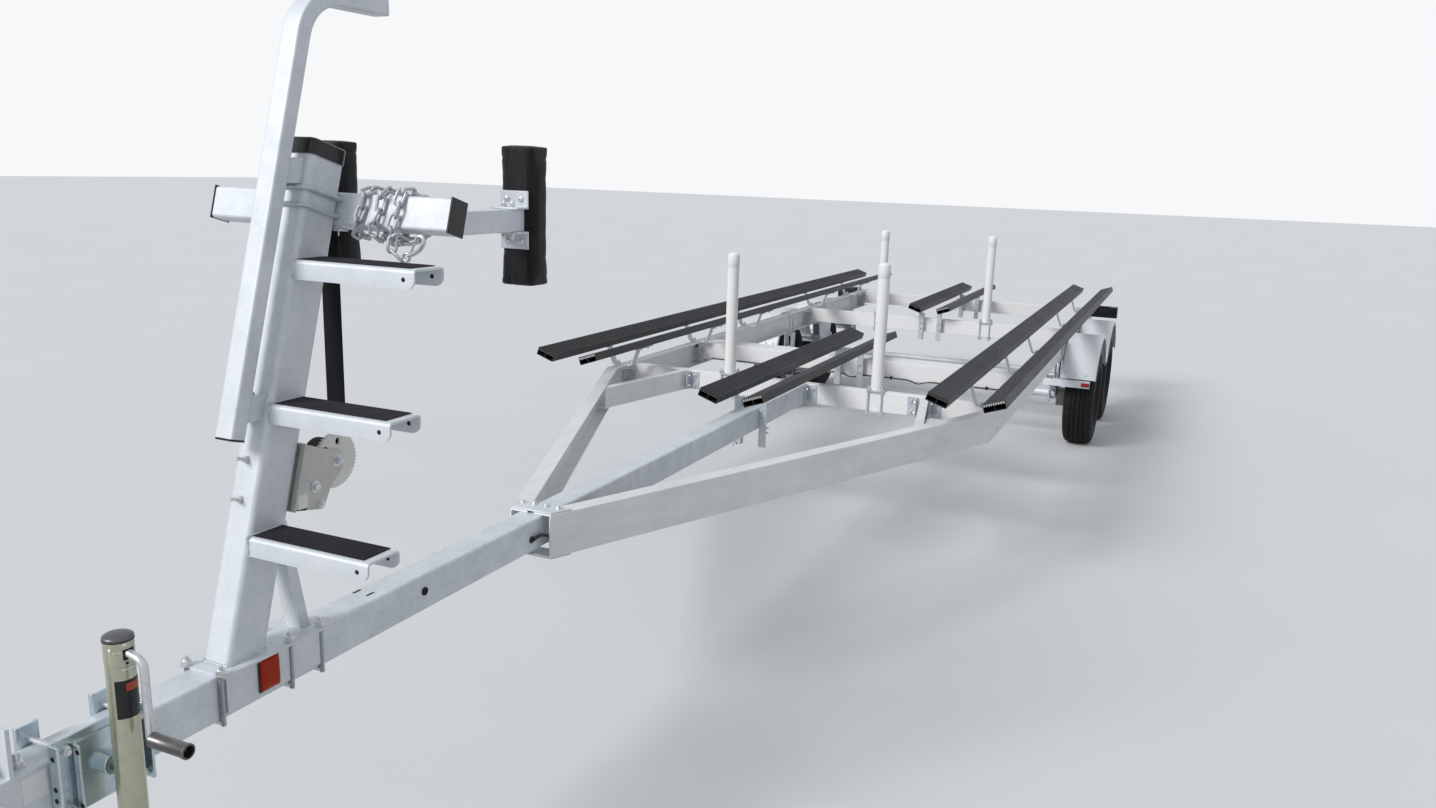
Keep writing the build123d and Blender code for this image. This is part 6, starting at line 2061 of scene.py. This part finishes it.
    def chain(self) -> Shell:
        """Places the links along the chain's line, each turned a quarter from the one before it.

        Returns:
            The links.
        """
        line = BOW.put(self.chain_line())
        count = int(distances(line)[-1] / self.pitch)
        middles = (np.arange(count) + 0.5) * self.pitch
        spots = spots_at(line, middles)
        ahead = unit(spots_at(line, middles + 0.008) - spots_at(line, middles - 0.008))
        shape, ring = self.link()
        along = unit(np.roll(shape, -1, 0) - np.roll(shape, 1, 0))
        side = np.cross(along, (0, 0, 1))
        tube = shape[:, None] + ring[None, :, :1] * side[:, None] + ring[None, :, 1:] * np.array([0, 0, 1.0])
        shell = Shell()
        for index, (spot, forward) in enumerate(zip(spots, ahead)):
            base = unit(np.cross(forward, (0.13, 0.97, 0.21)))
            over = np.cross(forward, base)
            turn = math.radians(42 + 7 * math.sin(index * 1.7)) + (index % 2) * math.pi / 2
            across = base * math.cos(turn) + over * math.sin(turn)
            shell.take(woven(Place(spot, forward, across, np.cross(forward, across)).put(tube), closed=True,
                             capped=False))
        return shell

    def hook(self) -> Shell:
        """Returns the snap hook on the chain's end: an eye, a hooked body along u and v, and its gate."""
        end = BOW.put(self.chain_line()[-1])
        u, v = np.array([0.0, 0.8, 0.6]), np.array([0.0, -0.6, 0.8])

        def spots(*pairs: tuple[float, float]) -> np.ndarray:
            """Returns points at steps along u and v from the chain's end."""
            return np.array([end + a * u + b * v for a, b in pairs])

        body = spots((0.006, 0), (0.018, -0.004), (0.04, -0.007), (0.058, -0.001), (0.062, 0.01), (0.053, 0.017),
                     (0.043, 0.013))
        shell = Shell(rod(softened_line(body, 40), 0.0052, (1, 0, 0), 10))
        turns = np.linspace(0, TURN, 20, endpoint=False)
        ring = end + np.array([0.0085 * (math.cos(a) * u + math.sin(a) * v) for a in turns])
        shell.take(rod(ring, 0.0034, (1, 0, 0), 8, closed=True))
        return shell.take(rod(spots((0.016, 0.001), (0.03, 0.008), (0.042, 0.012)), 0.0028, (1, 0, 0), 8))

    def strap_plate(self) -> Shell:
        """Returns the small plate and bolt under the crossbar that hold the strap's upper end."""
        low = -LAY.bow_height / 2
        plate = block((-0.02, -0.034, low - 0.004), (0.022, 0.034, low - 0.0004), BOW)
        shell = Shell(plate)
        axis = (LAY.lean_s, 0, -LAY.lean_c)
        for y in (-0.031, 0.031):
            shell.bolt(BOW.put(np.array([0.012, y * 0.8, low - 0.004])), axis, 0.01)
        return shell

    def build(self) -> None:
        """Builds the whole bow stop."""
        rounded("bow_crossbar", GALVANISED, 0)
        rounded("pad_arms", GALVANISED, 0.0016)
        fit("bow_clamp_bolts", self.clamps(), SMALL_ZINC, replaces=["bow_ubolts"])
        fit("pad_bracket_bolts", self.bracket_bolts(), BOLT_ZINC)
        fit("bow_chain_links", self.chain(), CHAIN_ZINC, angle=60, replaces=["bow_chain"])
        fit("bow_chain_hook", self.hook(), BOLT_ZINC, angle=60)
        fit("strap_anchor", self.strap_plate(), SMALL_ZINC)
        self.pads()


@dataclass
class Winch:
    """The strap winch behind the post: folded frame, big gear, spool, crank and webbing."""

    axis_z: float = 1.152
    axis_back: float = 0.123
    inner: float = 0.035
    plate: float = 0.005
    gear_radius: float = 0.067
    gear_thick: float = 0.007
    teeth: int = 48
    spool: float = 0.046
    web_half: float = 0.026
    pinion: tuple[float, float] = (0.074, -0.045)
    web_thick: float = 0.003

    @property
    def axis_x(self) -> float:
        """The X of the drum's axis."""
        return LAY.post_axis(self.axis_z, -LAY.post_x / 2 - self.axis_back)

    def frame_plates(self) -> Shell:
        """Returns the base plate on the post's back and the two side plates with their photographed outline."""
        back = LAY.post_x / 2 + LAY.seat
        low, high = self.axis_z - 0.083, self.axis_z + 0.064
        base = [(LAY.post_axis(low, -back), low), (LAY.post_axis(high, -back), high),
                (LAY.post_axis(high, -back - self.plate), high), (LAY.post_axis(low, -back - self.plate), low)]
        outside = self.inner + self.plate
        shell = Shell(slab(base, LYING.moved(dz=-outside - 0.013), 2 * outside + 0.013))
        foot, head = LAY.post_axis(low, -back), LAY.post_axis(high, -back)
        x, z = self.axis_x, self.axis_z
        outline = softened([(foot, low), (head, high), (x + 0.027, z + 0.032), (x - 0.015, z + 0.02),
                            (x - 0.013, z - 0.022),
                            (x + 0.026, z - 0.057), (x + 0.051, z - 0.104)],
                            (0.002, 0.008, 0.014, 0.01, 0.01, 0.012, 0.01), 5)
        hole = circle(x, z, 0.0115, 24)
        for side in SIDES:
            start = side * self.inner if side > 0 else -outside
            shell.take(slab(outline, Place((0, start + self.plate, 0), (1, 0, 0), (0, 0, 1), (0, -1, 0)), self.plate,
                            [hole]))
        return shell

    def gear(self) -> Part:
        """Returns the big gear: radius alternates from root to tip round the rim, with two lightening holes."""
        steps = np.arange(self.teeth * 4)
        radius = np.where(steps % 4 < 2, self.gear_radius - 0.0045, self.gear_radius - 0.0003)
        angle = (steps + np.where(steps % 2 == 0, 0.15, -0.15)) * TURN / len(steps)
        outline = np.stack([self.axis_x + radius * np.cos(angle), self.axis_z + radius * np.sin(angle)], -1)
        holes = [circle(self.axis_x + 0.044 * math.cos(a), self.axis_z + 0.044 * math.sin(a), 0.0085, 20)
                 for a in np.radians((42, 102))]
        face = self.inner - 0.001
        return slab(outline, Place((0, face, 0), (1, 0, 0), (0, 0, 1), (0, -1, 0)), self.gear_thick, holes)

    def drum(self) -> Shell:
        """Returns the drum, its shaft ends and the gear's hub."""
        x, z = self.axis_x, self.axis_z
        end = self.inner + self.plate + 0.004
        place = Place((x, -end, z), (1, 0, 0), (0, 0, -1), (0, 1, 0))
        profile = [(0.006, 0), (0.01, 0.0006), (0.0102, end - self.inner + 0.001), (0.017, end - self.inner + 0.0012),
                   (0.017, end + self.inner - 0.009), (0.026, end + self.inner - 0.0088),
                   (0.026, end + self.inner - 0.001),
                   (0.0102, end + self.inner - 0.0008), (0.01, 2 * end - 0.0006), (0.006, 2 * end)]
        return Shell(turned(profile, place, 32))

    def spool_shape(self) -> Part:
        """Returns the rolled webbing: a band wound in a spiral, radius = r0 + p a / 2 pi, out to the run's start."""
        turns, inner = 8, 0.0182
        gap = (self.spool - inner) / (turns + 0.02)
        steps = turns * 48
        angle = np.linspace(0, turns * TURN, steps + 1)
        radius = inner + gap * angle / TURN
        phase = math.pi - turns * TURN
        inside, outside = radius, radius + gap * 0.86
        half = self.web_half * (1 - 0.012 * np.sin(angle * 3.1) ** 2)
        c, s = np.cos(angle + phase), np.sin(angle + phase)
        corner = [(inside, -half), (outside, -half), (outside, half), (inside, half)]
        net = np.stack([np.stack([self.axis_x + np.minimum(r, self.spool) * c, y,
                                  self.axis_z + np.minimum(r, self.spool) * s], -1)
                        for r, y in corner], 1)
        return woven(net)

    def run_shape(self) -> Part:
        """Returns the taut run of webbing from the spool's back up to the crossbar's underside."""
        x = self.axis_x - self.spool + self.web_thick / 2
        middle = BOW.origin[0]
        lean = math.tan(LAY.lean)
        under = LAY.bow_height / 2 + LAY.seat
        top = LAY.bow_z + (x - middle - under * LAY.lean_s) * lean - under * LAY.lean_c - 0.002
        z = np.linspace(self.axis_z, top, 60)
        half, thick = self.web_half, self.web_thick / 2
        corners = [(-thick, -half), (thick, -half), (thick, half), (-thick, half)]
        net = np.stack([np.stack([np.full(60, x + dx), np.full(60, y), z], -1) for dx, y in corners], 1)
        return woven(net)

    def band_map(self, obj: Object) -> None:
        """Writes the webbing's UV map in metres: u = distance along the run or round the spool, v = Y.

        Args:
            obj: The webbing.
        """
        mesh = obj.data
        points = np.empty(len(mesh.vertices) * 3)
        mesh.vertices.foreach_get("co", points)
        x, y, z = points.reshape(-1, 3).T
        angle = np.arctan2(z - self.axis_z, x - self.axis_x)
        radius = np.hypot(z - self.axis_z, x - self.axis_x)
        u = np.where(radius < self.spool + 0.004, angle * self.spool, z)
        spots = np.empty(len(mesh.loops), dtype=np.int32)
        mesh.loops.foreach_get("vertex_index", spots)
        layer = mesh.uv_layers.new(name="band")
        layer.data.foreach_set("uv", np.stack([u[spots], y[spots] + 0.5], -1).ravel())

    def crank(self) -> Shell:
        """Returns the pinion's shaft, the flat arm and the turned grip on the starboard side."""
        x, z = self.axis_x + self.pinion[0], self.axis_z + self.pinion[1]
        y = -self.inner - self.plate - LAY.seat
        out = facing((x, y, z), (0, -1, 0))
        shell = Shell(turned([(0.0078, 0), (0.008, 0.001), (0.008, 0.033), (0.006, 0.0345)], out, 20))
        arm = softened([(x - 0.013, z - 0.013), (x + 0.013, z - 0.013), (x + 0.011, z + 0.173), (x - 0.011, z + 0.173)],
                       0.0105, 7)
        shell.take(slab(arm, LYING.moved(dz=-(y - 0.034)), 0.006))
        shell.bolt((x, y - 0.04, z), (0, -1, 0), 0.019)
        return shell

    def grip(self) -> Shell:
        """Returns the crank's moulded grip, waisted in its middle."""
        x, z = self.axis_x + self.pinion[0], self.axis_z + self.pinion[1] + 0.16
        start = -self.inner - self.plate - LAY.seat - 0.0402
        place = facing((x, start, z), (0, -1, 0))
        profile = [(0.009, 0), (0.0125, 0.002), (0.013, 0.008), (0.0118, 0.04), (0.0116, 0.07), (0.0128, 0.105),
                   (0.012, 0.112), (0.006, 0.1145)]
        return Shell(turned(profile, place, 28))

    def bolts(self) -> Shell:
        """Returns the bolts on the port side plate."""
        shell = Shell()
        face = self.inner + self.plate
        shell.bolt((self.axis_x + self.pinion[0], face, self.axis_z + self.pinion[1]), (0, 1, 0), 0.016)
        shell.bolt((3.503, face, 1.063), (0, 1, 0), 0.011)
        shell.take(turned([(0.015, -0.0055), (0.015, 0), (0.006, 0.0004)],
                          facing((self.axis_x, face, self.axis_z), (0, 1, 0)), 28))
        shell.bolt((self.axis_x, face, self.axis_z), (0, 1, 0), 0.0155, Head.STUD, 0.004)
        return shell

    def build(self) -> None:
        """Builds the winch."""
        fit("winch_side_plates", self.frame_plates(), WINCH_ZINC, bevel=0.001, replaces=["winch_frame"])
        fit("winch_gear", Shell(self.gear()), WHITE_GEAR, bevel=0.0004)
        fit("winch_drum_shaft", self.drum(), SMALL_ZINC, bevel=0.0005, replaces=["winch_drum"])
        fit("winch_handle", self.crank(), BLUE_ZINC, bevel=0.0008, replaces=["winch_crank"])
        fit("winch_grip", self.grip(), BLACK_PLASTIC)
        fit("winch_bolts", self.bolts(), BOLT_ZINC)
        strap = fit("winch_webbing", Shell(self.spool_shape(), self.run_shape()), STRAP, angle=50,
                    replaces=["winch_strap"])
        self.band_map(strap)
        corner = block((3.5445, self.inner + self.plate + 0.0001, 1.066),
                       (3.573, self.inner + self.plate + 0.0004, 1.098))
        fit("winch_sticker", Shell(corner), STICKER)


@dataclass
class Jack:
    """The swivel jack on the tongue's port side: tube, domed head, crank, sliding leg and clamp."""

    x: float = 4.084
    y: float = 0.116
    tube: float = 0.0255
    low: float = 0.3
    head: float = 0.972
    top: float = 0.996
    pivot: float = 0.722
    crank_z: float = 0.954
    crank_drop: float = 0.154
    crank_wire: float = 0.0078
    crank_out: float = 0.179
    grip_radius: float = 0.0148
    grip_length: float = 0.091
    plate_half: float = 0.095
    plate_ahead: float = 0.011
    bracket_half: float = 0.064
    bolt_ahead: tuple[float, float] = (-0.072, 0.076)
    disc: float = 0.021

    def dome(self) -> Shell:
        """Returns the jack's dark dome over a thin double rim."""
        r = self.tube + 0.0013
        place = Place((self.x, self.y, self.head + 0.01))
        high = self.top - self.head - 0.0152
        rise = [(r * math.cos(a), 0.005 + high * math.sin(a)) for a in np.linspace(0.06, 1.5, 12)]
        profile = [(self.tube, 0), (r, 0.0006), (r, 0.0024), (r - 0.0011, 0.003), (r - 0.0011, 0.004), (r, 0.0046)]
        return Shell(turned(profile + rise, place, 56))

    def wrap(self, low: float, high: float, middle: float, reach: float, lift: float) -> Part:
        """Wraps a thin patch on the tube: x = centre + r cos a, y = centre + r sin a, between two heights.

        Args:
            low: Its lower height.
            high: Its upper height.
            middle: The angle of its middle from X, in degrees.
            reach: Half the angle that it covers, in degrees.
            lift: How far its face stands off the tube.

        Returns:
            The patch.
        """
        angle = np.radians(np.linspace(middle - reach, middle + reach, 24))
        way = np.stack([np.cos(angle), np.sin(angle)], -1)
        outer, inner = self.tube + lift, self.tube - 0.0002
        rings = [np.c_[way * r + (self.x, self.y), np.full(24, z)]
                 for r, z in ((outer, low), (outer, high), (inner, high), (inner, low))]
        return woven(np.stack(rings, 1))

    def trim(self) -> Shell:
        """Returns the head's rivets, its pressed slots and the crank's collar."""
        shell = Shell(self.wrap(0.93, 0.933, 84, 26, 0.0012), self.wrap(0.964, 0.966, 34, 6, 0.0014),
                      self.wrap(0.964, 0.966, 52, 7, 0.0014))
        for middle, height in ((-25, 0.974), (74, 0.978), (20, 0.969)):
            way = (math.cos(math.radians(middle)), math.sin(math.radians(middle)), 0)
            spot = (self.x + self.tube * way[0], self.y + self.tube * way[1], height)
            shell.bolt(spot, way, 0.006, Head.ROUND)
        return shell

    def barrel(self) -> Shell:
        """Returns the jack's plain outer tube, and the thin sleeve of its head."""
        low = float(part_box("jack_tube")[0][2])
        wall = self.tube - 0.0022
        shell = Shell(turned([(wall, 0), (self.tube, 0), (self.tube, self.head - low), (wall, self.head - low)],
                             Place((self.x, self.y, low)), 56, closed=True))
        sleeve = self.tube + 0.0005
        return shell.take(turned([(wall, 0), (self.tube, 0), (sleeve, 0.0006), (sleeve, 0.046), (wall, 0.046)],
                                 Place((self.x, self.y, self.head - 0.035)), 56, closed=True))

    def opening(self) -> Shell:
        """Returns patches of painted shade: the square opening in the head that the crank comes out of, the small hole
        under it and a thin line round the dome's rim.
        """
        r = self.tube + 0.0016
        line = turned([(self.tube, 0), (r, 0), (r, 0.0016), (self.tube, 0.0016)],
                      Place((self.x, self.y, self.head + 0.0102)), 56, closed=True)
        return Shell(self.wrap(0.949, 0.969, 90, 24, 0.001), self.wrap(0.9405, 0.9445, 80, 6, 0.001), line)

    def crank(self) -> Shell:
        """Returns the bent round bar of the crank, on one smooth line."""
        low = self.crank_z - self.crank_drop
        route = [(self.x, self.y + self.tube - 0.002, self.crank_z + 0.006),
                 (self.x, self.crank_out - 0.001, self.crank_z - 0.002),
                 (self.x, self.crank_out, low), (self.x, self.crank_out + 0.014, low)]
        return Shell(rod(bent(route, 0.019, 9), self.crank_wire, (1, 0, 0), 18))

    def grip(self) -> Shell:
        """Returns the crank's hollow metal grip, with rolled ends."""
        start = self.crank_out + 0.005
        low = self.crank_z - self.crank_drop
        place = facing((self.x, start, low), (0, 1, 0))
        r, length = self.grip_radius, self.grip_length
        profile = [(0.007, 0), (r - 0.0008, 0), (r, 0.001), (r, 0.006), (r - 0.001, 0.008), (r - 0.001, length - 0.008),
                   (r, length - 0.006),
                   (r, length - 0.0008), (r - 0.0008, length), (r - 0.0035, length), (r - 0.0035, length - 0.018),
                   (0.006, length - 0.019),
                   (0.006, 0.01), (0.007, 0.009)]
        return Shell(turned(profile, place, 36, closed=True))

    def clamp(self) -> Shell:
        """Returns the clamp: a folded plate, the swivel's bracket on it, and two strips on the tongue's other side."""
        low, high = LAY.sheet_top - LAY.tongue_h - 0.022, LAY.sheet_top + 0.022
        y0 = LAY.tongue_half + LAY.seat
        shell = Shell(self.channel(self.x + self.plate_ahead, self.plate_half, low, high + 0.012, y0, 0.006, 0.03, 1),
                      self.channel(self.x, self.bracket_half, low + 0.006, high - 0.004, y0 + 0.006, 0.005, 0.02, 1))
        for dx in self.bolt_ahead:
            shell.take(self.channel(self.x + dx, 0.022, low + 0.004, high + 0.016, -y0, 0.005, 0.012, -1))
        disc = facing((self.x, y0 + 0.008, self.pivot), (0, 1, 0))
        rim = self.disc
        depth = self.y - self.tube - 0.014 - 0.0015 - (y0 + 0.008)
        return shell.take(turned([(0.0125, 0), (rim, 0), (rim, depth - 0.0015), (rim - 0.0015, depth), (0.0125, depth)],
                                 disc, 56, closed=True))

    def channel(self, x: float, half: float, low: float, high: float, y: float, thick: float, reach: float,
                side: int) -> Part:
        """Returns a sheet with both upright edges folded outwards, from its section in X and Y.

        Args:
            x: The middle of the sheet along X.
            half: Half its width.
            low: The height of its lower edge.
            high: The height of its upper edge.
            y: The Y of its inner face.
            thick: Its thickness.
            reach: How far its edges stand out.
            side: The side that they stand out to.

        Returns:
            The channel.
        """
        corners = np.array([(x - half, y + side * reach), (x - half, y), (x + half, y), (x + half, y + side * reach)])
        inner = np.array([(x - half + thick, y + side * reach), (x - half + thick, y + side * thick),
                          (x + half - thick, y + side * thick),
                          (x + half - thick, y + side * reach)])
        outline = np.concatenate([bent(corners, 0.01, 5), bent(inner, 0.005, 5)[::-1]])
        return slab(outline, Place((0, 0, low)), high - low)

    def clamp_hole_shade(self) -> Shell:
        """Returns patches of painted shade for the holes in the folded edges, on their faces that look forward."""
        shell = Shell()
        for dx, y, spots in ((self.plate_half + self.plate_ahead, 0.062, (0.7, 0.722, 0.782)),
                             (self.bracket_half, 0.068, (0.776, 0.668))):
            for z in spots:
                shell.take(shade_spot(0.0052, facing((self.x + dx, y, z), (1, 0, 0)), 16))
        return shell

    def clamp_bolts(self) -> Shell:
        """Returns the four long bolts over and under the tongue with their nuts."""
        shell = Shell()
        end = LAY.tongue_half + LAY.seat + 0.006
        for dx in self.bolt_ahead:
            for z in (LAY.sheet_top + 0.01, LAY.sheet_top - LAY.tongue_h - 0.01):
                shell.take(rod([(self.x + dx, y, z) for y in (-end - 0.004, end + 0.006)], 0.0058, (0, 0, 1), 14))
                shell.bolt((self.x + dx, -end, z), (0, -1, 0), 0.017)
                shell.bolt((self.x + dx, end, z), (0, 1, 0), 0.017, Head.STUD, 0.004)
        return shell

    def build(self) -> None:
        """Builds the jack on its three bodies."""
        fit("jack_barrel", self.barrel(), JACK_ZINC, "jack_outer", replaces=["jack_tube"])
        rounded("jack_leg", SMALL_ZINC, 0.001)
        fit("jack_head", self.dome(), JACK_CAP, "jack_outer", replaces=["jack_cap"])
        fit("jack_trim", self.trim(), BOLT_ZINC, "jack_outer")
        fit("jack_opening_shade", self.opening(), SHADOW_BLACK, "jack_outer")
        fit("jack_handle", self.crank(), BOLT_ZINC, "jack_outer", replaces=["jack_crank"])
        fit("jack_grip", self.grip(), GUNMETAL, "jack_outer")
        fit("jack_label", Shell(self.wrap(0.836, 0.91, 86, 60, 0.0004)), LABEL, "jack_outer")
        fit("jack_label_band", Shell(self.wrap(0.889, 0.904, 106, 38, 0.0006)), LABEL_BAND, "jack_outer")
        fit("jack_clamp_hole_shade", self.clamp_hole_shade(), SHADOW_BLACK)
        fit("jack_clamp", self.clamp(), BLUE_ZINC, bevel=0.0012, replaces=["jack_bracket"])
        fit("jack_clamp_bolts", self.clamp_bolts(), BOLT_ZINC)


@dataclass
class Coupler:
    """The ball coupler on the tongue's nose."""

    half: float = 0.0495
    top: float = 0.7765

    def latch(self) -> Shell:
        """Returns the latch lever on top, its pivot and the trigger at its rear."""
        side = [(4.5, self.top + 0.001), (4.4, self.top + 0.001), (4.33, self.top + 0.01), (4.262, self.top + 0.032),
                (4.262, self.top + 0.04), (4.33, self.top + 0.022), (4.4, self.top + 0.014), (4.5, self.top + 0.012)]
        shell = Shell(slab(softened(side, 0.004, 4), LYING.moved(dz=-0.015), 0.03))
        shell.take(rod([(4.47, y, self.top + 0.01) for y in (-0.03, 0.03)], 0.005, (0, 0, 1), 14))
        for y in (-0.027, 0.021):
            ear = softened([(4.45, self.top - 0.001), (4.49, self.top - 0.001), (4.482, self.top + 0.02),
                            (4.458, self.top + 0.02)], 0.006, 4)
            shell.take(slab(ear, Place((0, y, 0), (1, 0, 0), (0, 0, 1), (0, 1, 0)), 0.006))
        return shell

    def bolts(self) -> Shell:
        """Returns the bolts through the case's sides and the seams' rivets."""
        shell = Shell()
        for x in (4.285, 4.35):
            shell.pair((x, self.half, 0.724), (0, 1, 0), 0.019)
        shell.take(*fastener(Place((4.227, 0.021, 0.7763)), 0.02, Head.STUD, 0.014))
        shell.pair((4.415, self.half - 0.001, 0.735), (0, 1, 0), 0.015, Head.ROUND)
        return shell

    def build(self) -> None:
        """Dresses the case and builds the latch and the bolts."""
        rounded("coupler", GALVANISED, 0.0018, 3)
        fit("coupler_latch", self.latch(), SMALL_ZINC, bevel=0.001)
        fit("coupler_bolts", self.bolts(), BOLT_ZINC)


@dataclass
class Lamps:
    """The amber side lamps, the red markers and the tail lamps."""

    amber_x: float = 3.694
    amber_z: float = 0.73
    amber_half: float = 0.028
    amber_high: float = 0.038
    saddle_y: float = 0.0506
    depth: float = 0.014
    lamp_x: float = -4.326
    lamp_y: float = 1.0203

    def lens(self, centre: Sequence[float], half: float, high: float, depth: float, way: Sequence[float],
             ribs: int) -> Shell:
        """Returns a domed lens: z(u, v) = depth (1 - u^8)(1 - v^8), with upright flutes on it.

        Args:
            centre: The middle of its back.
            half: Half its width.
            high: Half its height.
            depth: How far it stands out.
            way: The direction that it faces.
            ribs: The number of its flutes.

        Returns:
            The lens.
        """
        place = facing(centre, way)
        u, v = np.meshgrid(np.linspace(-1, 1, 61), np.linspace(-1, 1, 31))
        z = depth * (1 - u ** 8) * (1 - v ** 8) * (0.9 + 0.1 * np.abs(np.sin(u * ribs * math.pi / 2)))
        front = place.put(np.stack([u * half, v * high, z], -1))
        edge = np.r_[front[0], front[1:-1, -1], front[-1, ::-1], front[1:-1, 0][::-1]]
        shell = Shell(woven(front, wrap=False))
        back = edge - np.asarray(way, float) * 0.0015
        shell.take(woven(np.stack([edge, back])[::1], capped=False))
        return shell.take((back, [np.arange(len(back))[None, ::-1]]))

    def tails(self) -> tuple[Shell, Shell]:
        """Returns the tail lamps' housings and their red lenses."""
        housing, lenses = Shell(), Shell()
        low, high, front, rear = 0.6995, 0.8005, self.lamp_x + 0.0365, self.lamp_x - 0.026
        outline = softened([(rear, low), (front, low + 0.006), (front, high - 0.006), (rear, high)], 0.008, 5)
        box = slab(outline, Place((0, self.lamp_y, 0), (1, 0, 0), (0, 0, 1), (0, 1, 0)), 0.204)
        housing.both(box)
        for dz in (-0.032, 0, 0.032):
            housing.both(block((front - 0.001, self.lamp_y + 0.012, 0.75 + dz - 0.002),
                               (front + 0.0004, self.lamp_y + 0.192, 0.75 + dz + 0.002)))
        lens = self.lens((rear - 0.0001, self.lamp_y + 0.102, 0.75), 0.098, 0.046, 0.01, (-1, 0, 0), 26)
        part = lens.part()
        lenses.both(part)
        return housing, lenses

    def build(self) -> None:
        """Builds every lamp."""
        x, y, z = self.amber_x, self.saddle_y, self.amber_z
        amber = self.lens((x - 0.001, y + 0.004, z), self.amber_half - 0.002, self.amber_high - 0.001, 0.0096,
                          (0, 1, 0), 12)
        part = amber.part()
        fit("amber_side_lenses", Shell().both(part), AMBER, angle=60, replaces=["marker_lamps"])
        base = block((x - self.amber_half, y, z - self.amber_high),
                     (x + self.amber_half, y + 0.0042, z + self.amber_high))
        fit("lamp_bases", Shell().both(base), BLACK_PLASTIC, bevel=0.0008)
        front = LAY.at(LAY.axle_stations[0]) + 0.442 * math.cos(math.radians(25)) + 0.0113
        height = LAY.hub_z + 0.42 * math.sin(math.radians(25)) - 0.024
        red = self.lens((front + 0.001, 1.199, height), 0.027, 0.013, 0.0125, (1, 0, 0), 9)
        part = red.part()
        fit("red_marker_lenses", Shell().both(part), RED, angle=60)
        housing, lenses = self.tails()
        fit("tail_lamp_housings", housing, BLACK_PLASTIC, bevel=0.0012, replaces=["tail_lamps"])
        fit("tail_lamp_lenses", lenses, RED, angle=60)


# Studio


@dataclass
class Studio:
    """The floor, the light and the camera."""

    camera: Triple = (5.2988, 1.8139, 1.8471)
    yaw: float = 0.4143
    pitch: float = 0.2171
    roll: float = 0.0333
    focal_pixels: float = 1077.9556
    width_pixels: float = 1436.0
    sensor: float = 36.0
    floor: float = 60.0
    ambient: float = 0.54
    sun: float = 2.15
    sun_from: Triple = (0.82, -0.44, 0.64)
    sun_angle: float = 22.0

    def place_camera(self) -> None:
        """Places the camera at the photograph's angle."""
        cy, sy, cp, sp = math.cos(self.yaw), math.sin(self.yaw), math.cos(self.pitch), math.sin(self.pitch)
        ahead = np.array([-cy * cp, -sy * cp, -sp])
        right = np.array([-sy, cy, 0.0])
        up = np.cross(right, ahead)
        c, s = math.cos(self.roll), math.sin(self.roll)
        side, top = c * right + s * up, -s * right + c * up
        data = bpy.data.cameras.new("view")
        data.sensor_width = self.sensor
        data.lens = self.focal_pixels * self.sensor / self.width_pixels
        data.clip_end = 300
        camera = placed("view", data)
        turn = Matrix(np.stack([side, top, -ahead], 1).tolist()).to_4x4()
        camera.matrix_world = Matrix.Translation(self.camera) @ turn
        bpy.context.scene.camera = camera

    def light(self) -> None:
        """Adds a soft sun and a plain sky that shows white only to the camera and in reflections."""
        data = bpy.data.lights.new("soft_sun", "SUN")
        data.energy = self.sun
        data.angle = math.radians(self.sun_angle)
        lamp = placed("soft_sun", data)
        lamp.rotation_euler = Vector(self.sun_from).to_track_quat("Z", "Y").to_euler()
        world = bpy.data.worlds.new("plain_sky")
        bpy.context.scene.world = world
        world.use_nodes = True
        graph = Graph(world.node_tree)
        path = graph.add("LightPath")
        seen = graph.maths("MAXIMUM", path.outputs["Is Camera Ray"], path.outputs["Is Transmission Ray"])
        sky = graph.add("Background", {"Color": (0.93, 0.96, 1.0), "Strength": self.ambient})
        shown = graph.add("Background", {"Color": (0.93, 0.94, 0.95), "Strength": 1.0})
        mirror = graph.add("Background", {"Color": (0.9, 0.94, 1.0), "Strength": 0.8})
        gloss = graph.add("MixShader", {0: path.outputs["Is Glossy Ray"], 1: sky.outputs[0], 2: mirror.outputs[0]})
        whole = graph.add("MixShader", {0: seen, 1: gloss.outputs[0], 2: shown.outputs[0]})
        graph.add("OutputWorld", {"Surface": whole.outputs[0]})

    def lay_floor(self) -> None:
        """Lays the plain pale floor."""
        material = bpy.data.materials.new("pale_floor")
        material.use_nodes = True
        graph = Graph(material.node_tree)
        source = graph.add("TexCoord").outputs["Object"]
        colour = graph.mix(graph.noise(source, 0.8, 3.0), (0.68, 0.69, 0.7), (0.72, 0.73, 0.74))
        bounced = graph.add("LightPath").outputs["Is Diffuse Ray"]
        colour = graph.mix(bounced, colour, (0.42, 0.43, 0.44))
        shader = graph.add("BsdfPrincipled", {"Base Color": colour, "Roughness": 0.9})
        graph.add("OutputMaterial", {"Surface": shader.outputs[0]})
        half = self.floor
        mesh = bpy.data.meshes.new("floor")
        mesh.from_pydata([(-half, -half, 0), (half, -half, 0), (half, half, 0), (-half, half, 0)], [], [(0, 1, 2, 3)])
        mesh.materials.append(material)
        placed("floor", mesh)

    def build(self) -> None:
        """Builds the studio."""
        bpy.context.scene.view_settings.view_transform = "Standard"
        self.place_camera()
        self.light()
        self.lay_floor()


def main() -> None:
    """Builds the studio and every sub-assembly."""
    logging.basicConfig(level=logging.INFO, format="%(message)s")
    wheels = [Wheel(f"{end}_{name}", axle, side) for axle, end in enumerate(("front", "rear"))
              for side, name in ((1, "port"), (-1, "starboard"))]
    assemblies = [Studio(), MainFrame(), Bunks(), Cradles(), KeelLegs(), GuidePosts(), *wheels, RunningGear(),
                  Fenders(),
                  WinchStand(), BowStop(), Winch(), Jack(), Coupler(), Lamps()]
    for assembly in assemblies:
        LOG.info("Building %s", type(assembly).__name__)
        assembly.build()


if __name__ == "__main__":
    main()
